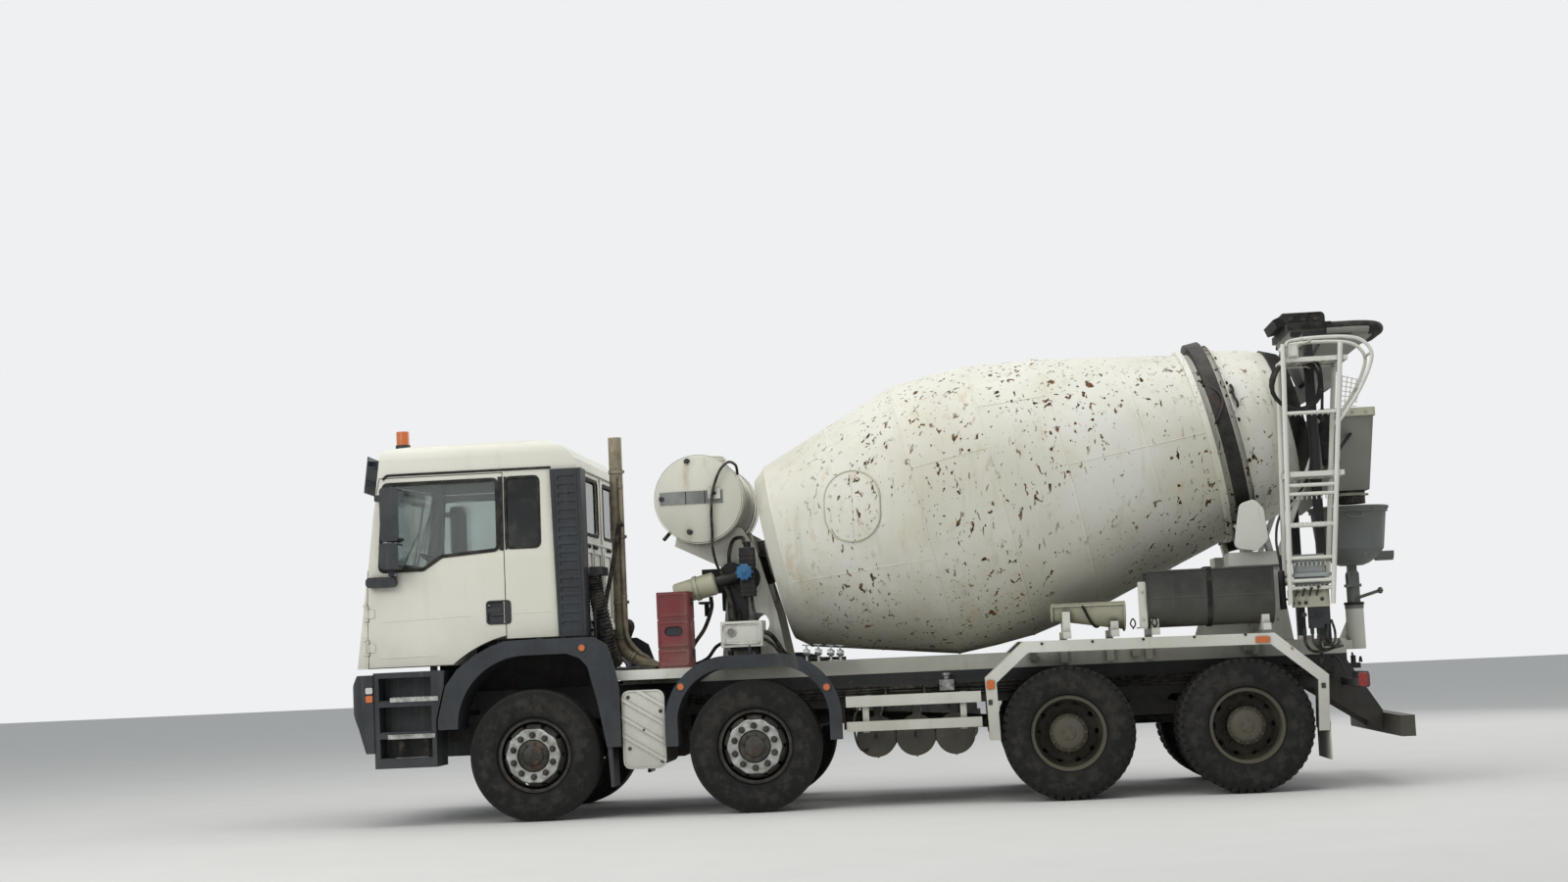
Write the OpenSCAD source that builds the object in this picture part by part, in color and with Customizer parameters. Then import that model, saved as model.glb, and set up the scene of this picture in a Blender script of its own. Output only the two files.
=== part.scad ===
// Four-axle concrete mixer truck. X runs forward, Y to the vehicle's left, Z up.
// The origin is on the ground, under the middle of the truck.

/* [Wheelbase] */
// Front of the bumper to axle 1
front_overhang = 1505; // [1450:5:1530]
// Axle 1 to axle 2
spacing_12 = 1795; // [1780:5:1850]
// Axle 2 to axle 3
spacing_23 = 2505; // [2450:5:2600]
// Axle 3 to axle 4
spacing_34 = 1400; // [1380:5:1440]
// Axle 4 to the rear lip of the charge hopper
rear_reach = 1450; // [1440:5:1480]

/* [Wheels] */
// Tyre diameter
tyre_d = 1060; // [1040:2:1070]
// Tyre section width
tyre_w = 315; // [305:1:320]
// Rim seat diameter
rim_d = 572; // [565:1:578]
// Steered wheels, tyre middle to tyre middle
front_track = 2048; // [2040:2:2060]
// Rear wheels, middle of one twin pair to the other
rear_track = 1804; // [1796:2:1812]
// Middle to middle of two twin tyres
twin_gap = 350; // [344:1:360]
// Spindle diameter of the steered wheels
spindle_d = 90; // [80:2:100]
// Spindle diameter of the driven wheels
drive_spindle_d = 150; // [140:2:160]
// Kingpin middle, from the truck's middle plane
kingpin_y = 895; // [890:1:900]

/* [Chassis] */
// Height of the rails' top face
rail_top = 1058; // [1050:1:1066]
// Depth of a rail
rail_h = 270; // [250:5:280]
// Width over both rails
rail_span = 762; // [740:2:780]
// Flange width of a rail
rail_w = 80; // [70:1:85]
// Plate thickness of a rail
rail_t = 10; // [8:1:12]
// Depth of the subframe beams
subframe_h = 120; // [110:2:130]
// Width over the front fenders
fender_span = 2480; // [2470:2:2490]
// Width over the rear mudguards
mudguard_span = 2500; // [2490:2:2510]

/* [Cab] */
// Width over the cab's skin
cab_w = 2240; // [2230:2:2250]
// Front of the cab to its back wall
cab_l = 1925; // [1910:5:1940]
// Roof height above ground
cab_top = 3110; // [3090:5:3140]
// Thickness of cab walls and doors
wall = 60; // [50:1:70]
// Gap round each door
door_gap = 7; // [6:1:10]
// Glass thickness
glass_t = 6; // [4:1:8]

/* [Drum] */
// Tilt of the drum's axis
drum_tilt = 12; // [11:0.25:13]
// Largest outer radius of the drum
drum_r = 1185; // [1170:5:1195]
// Outer radius of the roller track
track_r = 875; // [870:1:880]
// Radius of a support roller
roller_r = 125; // [115:1:130]
// Plate thickness of the drum
drum_t = 8; // [6:1:10]
// Height of the drum's axis at its front kink
drum_z = 2341; // [2335:1:2355]
// Half angle between the two support rollers
roller_angle = 38; // [36:0.5:40]

/* [Water tank] */
// Radius of the water tank
tank_r = 360; // [350:2:366]
// Length over the tank's domed ends
tank_l = 1620; // [1560:10:1700]

/* [Hidden] */
$fn = 64;

// Axle places, from the middle of the overall length
wheelbase = spacing_12 + spacing_23 + spacing_34;
ax1 = (wheelbase + rear_reach - front_overhang) / 2;
ax2 = ax1 - spacing_12;
ax3 = ax2 - spacing_23;
ax4 = ax3 - spacing_34;
front_x = ax1 + front_overhang;
rear_x = ax4 - rear_reach;
tyre_r = tyre_d / 2;
hub_z = tyre_r;
rail_bottom = rail_top - rail_h;
rail_out = rail_span / 2;
frame_end = ax4 - 940;
seat = 0.3;
snug = 0.2;
fit = 0.05;

// Wheel section, measured from the tyre's middle plane
rim_r = rim_d / 2;
rim_half_w = 114;
flange_r = rim_r + 14;
front_wheel_y = front_track / 2;
rear_wheel_y = rear_track / 2;
hub_r = 130;
nut_circle_r = 167.5;
nut_ring_out = 188;

// Cab stations
cab_front = front_x - 5;
cab_back = cab_front - cab_l;
cab_bottom = 1286;
quarter_bottom = 1484;
front_lean = 7.6;
tunnel_z = 1515;
cab_hinge_x = ax1 + 1300;
cab_hinge_z = 950;
cab_pin_r = 12;
arch_z = tyre_r - 10;
door_arch_r = 1005;
corner_r = 120;
waist_z = 2150;
roof_half_w = cab_w / 2 - 32;
roof_corner_r = 120;
door_front = ax1 + 1358;
door_back = ax1 + 200;
door_top = 2848;

// Drum stations along its axis, from the front kink rearward: place and outer radius
drum_x = ax3 + 1076;
head_s = -1320;
track_s = 2560;
track_w = 110;
track_seat_r = 790;
mouth_s = 3230;
mouth_r = 590;
drum_profile = [[head_s, 700], [head_s + 120, 800], [0, drum_r - 10], [330, drum_r], [650, drum_r - 5],
    [1230, 1095], [track_s - 65, track_seat_r], [track_s + 65, track_seat_r], [2990, 700],
    [mouth_s, mouth_r]];
axis_rear = [-cos(drum_tilt), 0, sin(drum_tilt)];
axis_down = [-sin(drum_tilt), 0, -cos(drum_tilt)];
function on_axis(s) = [drum_x, 0, drum_z] + s * axis_rear;
function below_axis(s, r) = on_axis(s) + r * axis_down;
roller_reach = track_r + seat + roller_r;
subframe_top = rail_top + subframe_h + 4;
tank_x = ax1 - 1370;
tank_z = 2570;

// Shared helpers

module both_sides() {
    children();
    mirror([0, 1, 0]) children();
}

// A profile drawn in X and Z, from y to y + w
module side_plate(y, w) {
    translate([0, y + w, 0]) rotate([90, 0, 0]) linear_extrude(w) children();
}

// A profile drawn in Y and Z, from x to x + l
module cross_plate(x, l) {
    translate([x, 0, 0]) rotate([90, 0, 90]) linear_extrude(l) children();
}

module box(x, y, z) {
    translate([x[0], y[0], z[0]]) cube([x[1] - x[0], y[1] - y[0], z[1] - z[0]]);
}

module round_rect(x, y, r) {
    translate([x[0] + r, y[0]]) square([x[1] - x[0] - 2 * r, y[1] - y[0]]);
    translate([x[0], y[0] + r]) square([x[1] - x[0], y[1] - y[0] - 2 * r]);
    for (px = [x[0] + r, x[1] - r], py = [y[0] + r, y[1] - r])
        translate([px, py]) circle(r);
}

// A bar with round section between two points
module rod(a, b, r) {
    d = b - a;
    length = norm(d);
    translate(a) rotate([0, acos(d[2] / length), atan2(d[1], d[0])]) cylinder(h = length, r = r);
}

// Lays a shape along Y, with its Z axis pointing outward on the left side
module along_y(x, y, z) {
    translate([x, y, z]) rotate([-90, 0, 0]) children();
}

// Stands a shape on the drum's axis, with its Z axis pointing rearward
module on_drum_axis(s) {
    translate(on_axis(s)) rotate([0, drum_tilt - 90, 0]) children();
}

// Wheels

module tyre_section() {
    half = tyre_w / 2;
    polygon([[rim_r + snug, -rim_half_w], [flange_r + snug, -rim_half_w], [flange_r + 2, -half + 24],
        [rim_r + 70, -half + 4], [rim_r + 120, -half], [tyre_r - 60, -half + 6],
        [tyre_r - 16, -half + 16], [tyre_r, -half + 34], [tyre_r, half - 34], [tyre_r - 16, half - 16],
        [tyre_r - 60, half - 6], [rim_r + 120, half], [rim_r + 70, half - 4], [flange_r + 2, half - 24],
        [flange_r + snug, rim_half_w], [rim_r + snug, rim_half_w]]);
}

// Tyre with three tread grooves, axis along Z
module tyre() {
    groove_w = 14;
    groove_depth = 14;
    color("#23241f") difference() {
        rotate_extrude() difference() {
            tyre_section();
            for (k = [-1, 0, 1])
                translate([tyre_r - groove_depth, k * 62 - groove_w / 2])
                    square([groove_depth + 1, groove_w]);
        }
    }
}

// Rim barrel with its two flanges, middle plane at z = 0
module rim_barrel() {
    rotate_extrude() {
        translate([rim_r - 14, -rim_half_w]) square([14, 2 * rim_half_w]);
        for (side = [-1, 1])
            translate([rim_r - 14, side * (rim_half_w + 4) - 4]) square([28, 8]);
    }
}

// Steered wheel: domed disc with its nut ring standing outside the tyre
module front_rim() {
    color("#8c8f8e") {
        difference() {
            union() {
                rim_barrel();
                rotate_extrude() polygon([[rim_r - 12, 20], [rim_r - 12, 40], [248, 118], [216, nut_ring_out],
                    [hub_r, nut_ring_out], [hub_r, nut_ring_out - 16], [206, nut_ring_out - 20], [232, 112],
                    [262, 22]]);
                translate([0, 0, -62]) cylinder(h = nut_ring_out + 54, r = hub_r);
                translate([0, 0, -158]) cylinder(h = 110, r = 205);
            }
            translate([0, 0, -159]) cylinder(h = 97, r = 192);
            translate([0, 0, -63]) cylinder(h = 168, r = spindle_d / 2 + fit);
            for (k = [0 : 9]) rotate([0, 0, 36 * k])
                translate([243, 0, 0]) cylinder(h = 300, r = 17);
        }
        for (k = [0 : 9]) rotate([0, 0, 36 * k + 18])
            translate([nut_circle_r, 0, nut_ring_out - 4]) cylinder(h = 30, r = 16, $fn = 6);
    }
}

// Driven wheel: two rims back to back with a hub-reduction cap
module rear_rims() {
    dish = [[100, 0], [236, 0], [262, 44], [rim_r - 10, 66], [rim_r - 10, 78], [254, 50], [230, 12], [100, 12]];
    color("#6f6b66") {
        difference() {
            union() {
                for (side = [-1, 1]) {
                    translate([0, 0, side * twin_gap / 2]) rim_barrel();
                    mirror([0, 0, side < 0 ? 1 : 0]) rotate_extrude() polygon(dish);
                }
                translate([0, 0, -120]) cylinder(h = 340, r = 144);
                translate([0, 0, 218]) cylinder(h = 28, r1 = 144, r2 = 118);
                translate([0, 0, -300]) cylinder(h = 200, r = 205);
            }
            translate([0, 0, -301]) cylinder(h = 180, r = 192);
            translate([0, 0, -121]) cylinder(h = 281, r = drive_spindle_d / 2 + fit);
            for (k = [0 : 9]) rotate([0, 0, 36 * k])
                translate([228, 0, -200]) cylinder(h = 400, r = 22);
        }
        for (k = [0 : 9]) rotate([0, 0, 36 * k + 18])
            translate([nut_circle_r, 0, 8]) cylinder(h = 38, r = 16, $fn = 6);
    }
}

// Puts a wheel piece on an axle; side is 1 on the left and -1 on the right
module at_wheel(x, y, side) {
    mirror([0, side < 0 ? 1 : 0, 0]) along_y(x, y, hub_z) children();
}

module twin_tyres() {
    for (side = [-1, 1]) translate([0, 0, side * twin_gap / 2]) tyre();
}

// Steering knuckle: two ears round the kingpin, brake plate and spindle
pin_r = 22;
boss_r = 38;
ear_r = 52;
ear_gap = 62;
ear_t = 48;

module knuckle(x, side) {
    spindle_end = front_wheel_y + 104.5;
    web = [kingpin_y + boss_r + 5, front_wheel_y - 67];
    color("#3a3d3f") mirror([0, side < 0 ? 1 : 0, 0]) translate([x, 0, 0]) {
        difference() {
            union() {
                for (z = [ear_gap, -ear_gap - ear_t])
                    translate([0, kingpin_y, hub_z + z]) {
                        cylinder(h = ear_t, r = ear_r);
                        translate([-ear_r, 0, 0]) cube([2 * ear_r, web[0] - kingpin_y + 4, ear_t]);
                    }
                box([-ear_r, ear_r], web, [hub_z - ear_gap - ear_t, hub_z + ear_gap + ear_t]);
            }
            translate([0, kingpin_y, hub_z - 150]) cylinder(h = 300, r = pin_r + fit);
        }
        along_y(0, web[1] - 8, hub_z) cylinder(h = 8, r = 182);
        along_y(0, web[0] + 2, hub_z) cylinder(h = spindle_end - web[0] - 2, r = spindle_d / 2);
    }
}

// Axles and springs

spring_y = rail_out - 45;

// Pack of curved leaves, middle at x, resting on z
module leaf_pack(x, z, length, count, leaf_t) {
    bend = 3600;
    for (k = [0 : count - 1])
        side_plate(spring_y - 45, 90) intersection() {
            translate([x, z + bend - k * leaf_t]) difference() {
                circle(bend + leaf_t, $fn = 360);
                circle(bend, $fn = 360);
            }
            translate([x - (length / 2 - k * length / 8), z - count * leaf_t])
                square([length - k * length / 4, 200]);
        }
}

module steered_axle(x, length) {
    boss_h = 2 * ear_gap - 2 * seat;
    beam_z = hub_z - 62;
    both_sides() {
        translate([x, kingpin_y, hub_z - boss_h / 2]) cylinder(h = boss_h, r = boss_r);
        translate([x, kingpin_y, hub_z - ear_gap - ear_t]) cylinder(h = 2 * (ear_gap + ear_t), r = pin_r);
        box([x - 34, x + 34], [kingpin_y - 150, kingpin_y], [beam_z + 8, beam_z + 116]);
    }
    difference() {
        box([x - 50, x + 50], [-kingpin_y + 140, kingpin_y - 140], [beam_z - 60, beam_z + 60]);
        for (side = [-1, 1])
            box([x + side * 65 - 45, x + side * 65 + 45], [-kingpin_y + 139, kingpin_y - 139],
                [beam_z - 40, beam_z + 40]);
    }
    both_sides() {
        box([x - 90, x + 90], [spring_y - 60, spring_y + 60], [beam_z + 60, beam_z + 103]);
        leaf_pack(x, beam_z + 160, length, 3, 20);
        for (end = [-1, 1])
            box([x + end * length / 2 - 40, x + end * length / 2 + 40], [spring_y - 45, spring_y + 44],
                [beam_z + 190, rail_bottom]);
    }
}

module front_axles() {
    color("#35383a") {
        steered_axle(ax1, 1300);
        steered_axle(ax2, 1300);
    }
}

module driven_axle(x) {
    axle_half = rear_wheel_y - 165;
    both_sides() {
        along_y(x, 0, hub_z) cylinder(h = axle_half, r = 92);
        along_y(x, axle_half - 1, hub_z) cylinder(h = 320, r = drive_spindle_d / 2);
        along_y(x, axle_half - 70, hub_z) cylinder(h = 60, r = 170);
    }
    translate([x, 0, hub_z]) sphere(r = 235);
    translate([x, 0, hub_z + 60]) rotate([0, 90, 0]) cylinder(h = 520, r = 70, center = true);
}

// Universal joint between the gearbox's shaft and the long shaft to axle 3
shaft_joint = [ax2 + 60, 0, rail_bottom - 30];
shaft_joint_r = 62;

module rear_axles() {
    mid = (ax3 + ax4) / 2;
    far = [ax3 + 255, 0, hub_z + 60];
    reach = norm(shaft_joint - far) - shaft_joint_r - snug;
    color("#2f3133") {
        driven_axle(ax3);
        driven_axle(ax4);
        rod(far, far + reach * (shaft_joint - far) / norm(shaft_joint - far), 55);
        rod([ax4 + 255, 0, hub_z + 60], [ax3 - 255, 0, hub_z + 60], 50);
        both_sides() {
            side_plate(spring_y - 45, 90) polygon([[ax4 - 130, hub_z + 92], [ax3 + 130, hub_z + 92],
                [ax3 + 130, hub_z + 116], [ax3 - 200, hub_z + 140], [mid + 130, hub_z + 210],
                [mid - 130, hub_z + 210], [ax4 + 200, hub_z + 140], [ax4 - 130, hub_z + 116]]);
            side_plate(spring_y - 50, 95) polygon([[mid - 150, hub_z + 208], [mid + 150, hub_z + 208],
                [mid + 190, rail_bottom], [mid - 190, rail_bottom]]);
        }
    }
}

// Frame

module rail() {
    difference() {
        box([frame_end, ax1 + 1215], [rail_out - rail_w, rail_out], [rail_bottom, rail_top]);
        box([frame_end - 1, ax1 + 1216], [rail_out - rail_w - 1, rail_out - rail_t],
            [rail_bottom + rail_t, rail_top - rail_t]);
    }
}

beam_x = rear_x + 150;
beam_z = [395, 560];
beam_half_w = rear_wheel_y + twin_gap / 2 + tyre_w / 2 - 40;

module frame_rails() {
    inner = rail_out - rail_t;
    color("#2b2e31") {
        both_sides() rail();
        // Posts under the cab's rear edge
        both_sides() box([ax1 - 400, ax1 - 340], [rail_out - 40, rail_out], [rail_top - 1, tunnel_z - snug]);
        for (x = [ax1 + 1130, ax2 - 420, ax2 - 1250, (ax3 + ax4) / 2, ax4 - 520, frame_end])
            difference() {
                box([x, x + 90], [-inner, inner], [rail_bottom + 40, rail_top - 40]);
                box([x + 12, x + 91], [-inner - 1, inner + 1], [rail_bottom + 60, rail_top - 60]);
            }
        box([beam_x, beam_x + 110], [-beam_half_w, beam_half_w], beam_z);
        both_sides() side_plate(rail_out - 12, 12) polygon([[beam_x + 100, beam_z[0] + 20],
            [beam_x + 100, beam_z[1] + 20], [frame_end, rail_top - 60], [frame_end + 260, rail_top - 60],
            [frame_end + 260, rail_bottom - 30]]);
        tow_jaw();
        both_sides() side_plate(rail_out - 30, 24) difference() {
            polygon([[ax1 + 1150, rail_top - 20], [ax1 + 1215, rail_top - 20],
                [front_x - bumper_t, rail_top - 60], [front_x - bumper_t, 960],
                [ax1 + 1215, rail_bottom + 20], [ax1 + 1150, rail_bottom + 20]]);
            translate([cab_hinge_x, cab_hinge_z]) circle(cab_pin_r + fit);
        }
    }
}

// Jaw on the frame's end with a standing pin bore for a towing eye
module tow_jaw() {
    difference() {
        box([frame_end - 160, frame_end + 2], [-70, 70], [828, 968]);
        box([frame_end - 161, frame_end - 30], [-71, 71], [872, 924]);
        translate([frame_end - 100, 0, 820]) cylinder(h = 160, r = 20);
    }
}

// Bumper with lamp pockets, and the two entry step boxes behind it
bumper_half_w = 1220;
bumper_t = 60;
bumper_back = front_x - 205;
bumper_z = [600, 1235];
lamp_y = [760, 1090];
lamp_z = [925, 1110];

module bumper_plan(shrink) {
    r = 170;
    x1 = front_x - shrink;
    w = bumper_half_w - shrink;
    translate([bumper_back - 1, -w]) square([x1 - r - bumper_back + 1, 2 * w]);
    translate([bumper_back, -w + r]) square([x1 - bumper_back, 2 * w - 2 * r]);
    for (side = [-1, 1]) translate([x1 - r, side * (w - r)]) circle(r);
}

module bumper() {
    difference() {
        intersection() {
            translate([0, 0, bumper_z[0]]) linear_extrude(bumper_z[1] - bumper_z[0]) bumper_plan(0);
            side_plate(-bumper_half_w - 1, 2 * bumper_half_w + 2) polygon([[bumper_back, bumper_z[1]],
                [front_x - 65, bumper_z[1]], [front_x, 1130], [front_x, 950], [front_x - 72, 800],
                [front_x - 135, bumper_z[0]], [bumper_back, bumper_z[0]]]);
        }
        intersection() {
            translate([0, 0, bumper_z[0] - 1]) linear_extrude(bumper_z[1] - bumper_z[0] - 39)
                bumper_plan(bumper_t);
            side_plate(-bumper_half_w, 2 * bumper_half_w) polygon([[bumper_back - 1, 1195],
                [front_x - 95, 1195], [front_x - bumper_t, 1120], [front_x - bumper_t, 955],
                [front_x - 130, 808], [front_x - 185, bumper_z[0] - 1], [bumper_back - 1, bumper_z[0] - 1]]);
        }
        both_sides() box([front_x - 45, front_x + 1], lamp_y, lamp_z);
        both_sides() box([front_x - 204, front_x - 139], [bumper_half_w - 10, bumper_half_w + 1], [1010, 1140]);
        box([front_x - 130, front_x + 1], [-330, 330], [640, 760]);
        both_sides() translate([front_x - 70, 480, 860]) rotate([0, 90, 0]) cylinder(h = 120, r = 42, center = true);
    }
}

step_x = [ax1 + 790, bumper_back + 1];
step_z = [475, 1250];
step_floors = [[545, 715], [755, 970], [1010, 1205]];

module step_box() {
    difference() {
        side_plate(820, 385) polygon([[step_x[0], step_z[0]], [step_x[1], step_z[0]], [step_x[1], step_z[1]],
            [step_x[0] - 80, step_z[1]], [step_x[0] - 70, 1120], [step_x[0], 850]]);
        for (f = step_floors)
            box([step_x[0] + 35, step_x[1] - 45], [1000, 1300], f);
    }
    for (f = step_floors)
        box([step_x[0] + 35, step_x[1] - 45], [1004, 1198], [f[0], f[0] + 12]);
}

module bumper_and_steps() {
    color("#3d464c") {
        bumper();
        both_sides() step_box();
        both_sides() box([ax1 + 900, ax1 + 1210], [rail_out, 820], [rail_top - 290, rail_top - 150]);
    }
}

module lamps() {
    color("#d8d6cf") both_sides() {
        box([front_x - 45, front_x - 14], [lamp_y[0] + 4, lamp_y[1] - 80], [lamp_z[0] + 4, lamp_z[1] - 4]);
        side_plate(bumper_half_w - 10, 14) round_rect([front_x - 200, front_x - 143], [1085, 1135], 10);
    }
    color("#d9772b") both_sides() {
        box([front_x - 45, front_x - 18], [lamp_y[1] - 70, lamp_y[1] - 4], [lamp_z[0] + 4, lamp_z[1] - 4]);
        side_plate(bumper_half_w - 10, 14) round_rect([front_x - 200, front_x - 143], [1015, 1070], 10);
        for (lamp = [[ax1 - 430, 1380], [ax2 + 575, 1032], [ax2 - 600, 979]])
            along_y(lamp[0], fender_span / 2, lamp[1]) cylinder(h = 9, r = 26);
        side_plate(mudguard_span / 2, 9) round_rect([ax4 - 210, ax4 - 100], [1175, 1225], 12);
        side_plate(mudguard_span / 2, 9) round_rect([ax3 + 568, ax3 + 630], [905, 975], 12);
    }
    color("#a3231c") both_sides() {
        box([frame_end - 30, frame_end + 30], [770, 1170], [790, 915]);
        box([frame_end + 30, frame_end + 60], [rail_out, 1170], [800, 860]);
    }
}

// Fender arches: inner outline grown outward by g

module arch_front(g) {
    top = 1340 + g;
    r = 560;
    x1 = 605 + g;
    translate([0, -hub_z]) {
        polygon([[-x1, 300], [-x1, 580], [-544 - g, 927], [-468 - g, 1229], [-405 - g / 2, 1300 + g / 2],
            [-300, top], [x1 - r - g, top], [x1 - r - g, top - r - g], [x1, top - r - g], [x1, 300]]);
        translate([x1 - r - g, top - r - g]) circle(r + g);
    }
}

module arch_second(g) {
    top = 1165 + g;
    r = 420;
    x1 = 612 + g;
    translate([0, -hub_z]) {
        translate([-x1, 300]) square([2 * x1, top - r - 300 - g]);
        translate([-x1 + r + g, 300]) square([2 * (x1 - r - g), top - 300]);
        for (side = [-1, 1]) translate([side * (x1 - r - g), top - r - g]) circle(r + g);
    }
}

fender_y = fender_span / 2;

module fender_1_outline() {
    polygon([[768, 770], [768, 850], [700, 1120], [600, 1250], [460, 1355], [320, 1425], [200, 1462],
        [60, 1466], [-525, 1466], [-630, 1400], [-680, 1250], [-722, 1040], [-722, 575], [0, 575], [0, 770]]);
}

module fenders() {
    inner_y = 830;
    color("#3d464c") both_sides() {
        translate([ax1, 0, 0]) {
            side_plate(fender_y - 25, 25) difference() {
                fender_1_outline();
                translate([0, hub_z]) arch_front(0);
            }
            side_plate(inner_y, fender_y - 25 - inner_y) intersection() {
                fender_1_outline();
                translate([0, hub_z]) difference() {
                    arch_front(15);
                    arch_front(0);
                }
            }
            side_plate(900, 310) polygon([[-645, 575], [-607, 575], [-625, 255], [-650, 255]]);
        }
        translate([ax2, 0, 0]) {
            side_plate(fender_y - 25, 25) intersection() {
                translate([0, hub_z]) difference() {
                    arch_second(100);
                    arch_second(0);
                }
                translate([-800, 560]) square([1600, 800]);
            }
            side_plate(inner_y, fender_y - 25 - inner_y) intersection() {
                translate([0, hub_z]) difference() {
                    arch_second(15);
                    arch_second(0);
                }
                translate([-800, 560]) square([1600, 800]);
            }
        }
        for (x = [ax1 + 628, ax1 - 585, ax2 + 622, ax2 - 622])
            along_y(x, rail_out, 880) cylinder(h = inner_y - rail_out + 60, r = 24);
    }
}

module engine_and_gearbox() {
    color("#4a4c4a") {
        box([ax1 - 330, ax1 + 960], [-288, 288], [640, 1440]);
        box([ax1 - 1240, ax1 - 330], [-210, 210], [650, 1040]);
        rod([ax1 - 1245, 0, 800], shaft_joint, 50);
        translate(shaft_joint) sphere(r = shaft_joint_r);
        both_sides() box([ax1 + 100, ax1 + 300], [288, rail_out - rail_t], [860, 960]);
        both_sides() box([ax1 - 900, ax1 - 760], [210, rail_out - rail_t], [860, 960]);
    }
}

// Exhaust: silencer elbow behind the cab, then the tall stack
stack_x = cab_back - 225;
stack_y = 500;
stack_r = 56;
stack_top = 3140;

module exhaust_stack() {
    bend = 190;
    turn = 60;
    clamp = 10;
    bend_z = subframe_top + 275;
    color("#7d6c58") difference() {
        union() {
            translate([stack_x, stack_y, bend_z]) cylinder(h = stack_top - bend_z, r = stack_r);
            translate([stack_x, stack_y, bend_z - clamp]) cylinder(h = 2 * clamp, r = stack_r + clamp);
            translate([stack_x - bend, stack_y, bend_z]) rotate([-90, 0, 0])
                rotate_extrude(angle = turn) translate([bend, 0]) circle(stack_r);
            translate([stack_x - bend, stack_y, bend_z]) rotate([0, turn, 0]) translate([bend, 0, 0])
                rotate([180, 0, 0]) {
                    cylinder(h = 300, r = stack_r);
                    translate([0, 0, -clamp]) cylinder(h = 2 * clamp, r = stack_r + clamp);
                }
        }
        translate([stack_x, stack_y, stack_top - 140]) cylinder(h = 141, r = stack_r - 4);
        box([stack_x - 700, stack_x + 100], [stack_y - 100, stack_y + 100], [subframe_top - 300, subframe_top]);
    }
}

side_box_x = [ax1 - 1080, ax1 - 730];

module side_boxes() {
    cover_y = 1200;
    both_sides() {
        color("#2f3336") side_plate(rail_out, cover_y - 12 - rail_out)
            round_rect([side_box_x[0] + 10, side_box_x[1] - 10], [410, 1000], 50);
        color("#d9d9d2") {
            side_plate(cover_y - 12, 12) round_rect(side_box_x, [390, 1020], 70);
            for (k = [0 : 3])
                intersection() {
                    translate([side_box_x[0], cover_y, 430 + 145 * k]) rotate([0, -32, 0])
                        cube([430, 8, 26]);
                    side_plate(cover_y, 8) round_rect(side_box_x, [390, 1020], 70);
                }
        }
    }
}

guard_x = [ax2 - 1825, ax2 - 745];
guard_y = 1172;
guard_post = 30;

module fuel_tank() {
    color("#a9adad") {
        mirror([0, 1, 0]) side_plate(560, guard_y - guard_post - 560)
            round_rect([guard_x[0] + 30, guard_x[1] - 30], [440, 1000], 90);
        mirror([0, 1, 0]) for (x = [guard_x[0] + 200, guard_x[1] - 240])
            box([x, x + 60], [rail_out, 562], [700, 940]);
    }
}

module air_tanks() {
    color("#26292b") for (k = [0 : 2])
        translate([guard_x[1] - 220 - 320 * k, 0, 0]) {
            along_y(0, 430, 550) cylinder(h = 520, r = 158);
            box([-30, 30], [rail_out, 440], [600, 840]);
        }
}

module side_guards() {
    post_xs = [guard_x[0] + 120, guard_x[1] - 180];
    color("#b9bcbb") both_sides() {
        for (z = [[807, 894], [613, 691]])
            box(guard_x, [guard_y, guard_y + 28], z);
        for (x = post_xs)
            box([x, x + 50], [guard_y - guard_post, guard_y], [600, 894]);
    }
    color("#2b2e31") for (x = post_xs)
        box([x, x + 50], [rail_out, guard_y - guard_post], [845, 885]);
}

// Mudguards over the twin wheels: an angular sheet, its rim band and a rubber flap
guard_line = [[ax3 + 625, 500], [ax3 + 640, 990], [ax3 + 320, 1270], [ax4 - 250, 1250], [ax4 - 650, 905],
    [ax4 - 630, 470]];
band_line = [[ax4 - 548, 470], [ax4 - 566, 868], [ax4 - 216, 1162], [ax3 + 290, 1180], [ax3 + 552, 952],
    [ax3 + 540, 500]];
sheet_line = [[ax4 - 622, 470], [ax4 - 642, 901], [ax4 - 247, 1242], [ax3 + 317, 1262], [ax3 + 632, 986],
    [ax3 + 617, 500]];

module rear_mudguards() {
    outer = mudguard_span / 2;
    color("#d6d6cf") both_sides() {
        side_plate(outer - 22, 22) polygon(concat(guard_line, band_line));
        side_plate(580, outer - 22 - 580) polygon(concat(guard_line, sheet_line));
    }
    color("#2b2e31") both_sides() {
        for (x = [ax3 + 200, (ax3 + ax4) / 2 + 60, ax4 - 160]) {
            box([x, x + 60], [rail_out, 600], [1110, 1150]);
            box([x, x + 60], [585, 600], [1110, 1250]);
        }
        box([ax4 - 640, ax4 - 628], [600, outer - 24], [240, 560]);
    }
}

// Subframe beams on the rails, with cross members and the deck plate behind the cab
deck_x = [ax1 - 1330, ax1 - 600];

module subframe() {
    inner = rail_out - rail_w;
    x0 = frame_end;
    x1 = ax1 - 600;
    color("#d9d9d2") {
        both_sides() box([x0, x1], [inner, rail_out], [rail_top, subframe_top]);
        for (x = [x0, ax4 - 100, ax3 + 300, ax3 + 1500, x1 - 700])
            box([x, x + 80], [-inner, inner], [rail_top + 20, subframe_top - 20]);
        both_sides() box(deck_x, [rail_out, 1100], [subframe_top - 80, subframe_top]);
        for (c = [[ax4 - 230, 1400], [ax3 - 760, 1400], [ax3 - 440, 1400], [ax3 - 60, 1490]])
            difference() {
                union() {
                    box([c[0], c[0] + 60], [rail_out, 1235], [1276, 1330]);
                    box([c[0], c[0] + 60], [rail_out, rail_out + 40], [rail_top + 20, 1330]);
                    box([c[0], c[0] + 60], [stored_y - 180, stored_y + 180], [1276, c[1]]);
                }
                stored_form(snug);
            }
        chute_socket();
    }
}

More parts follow.
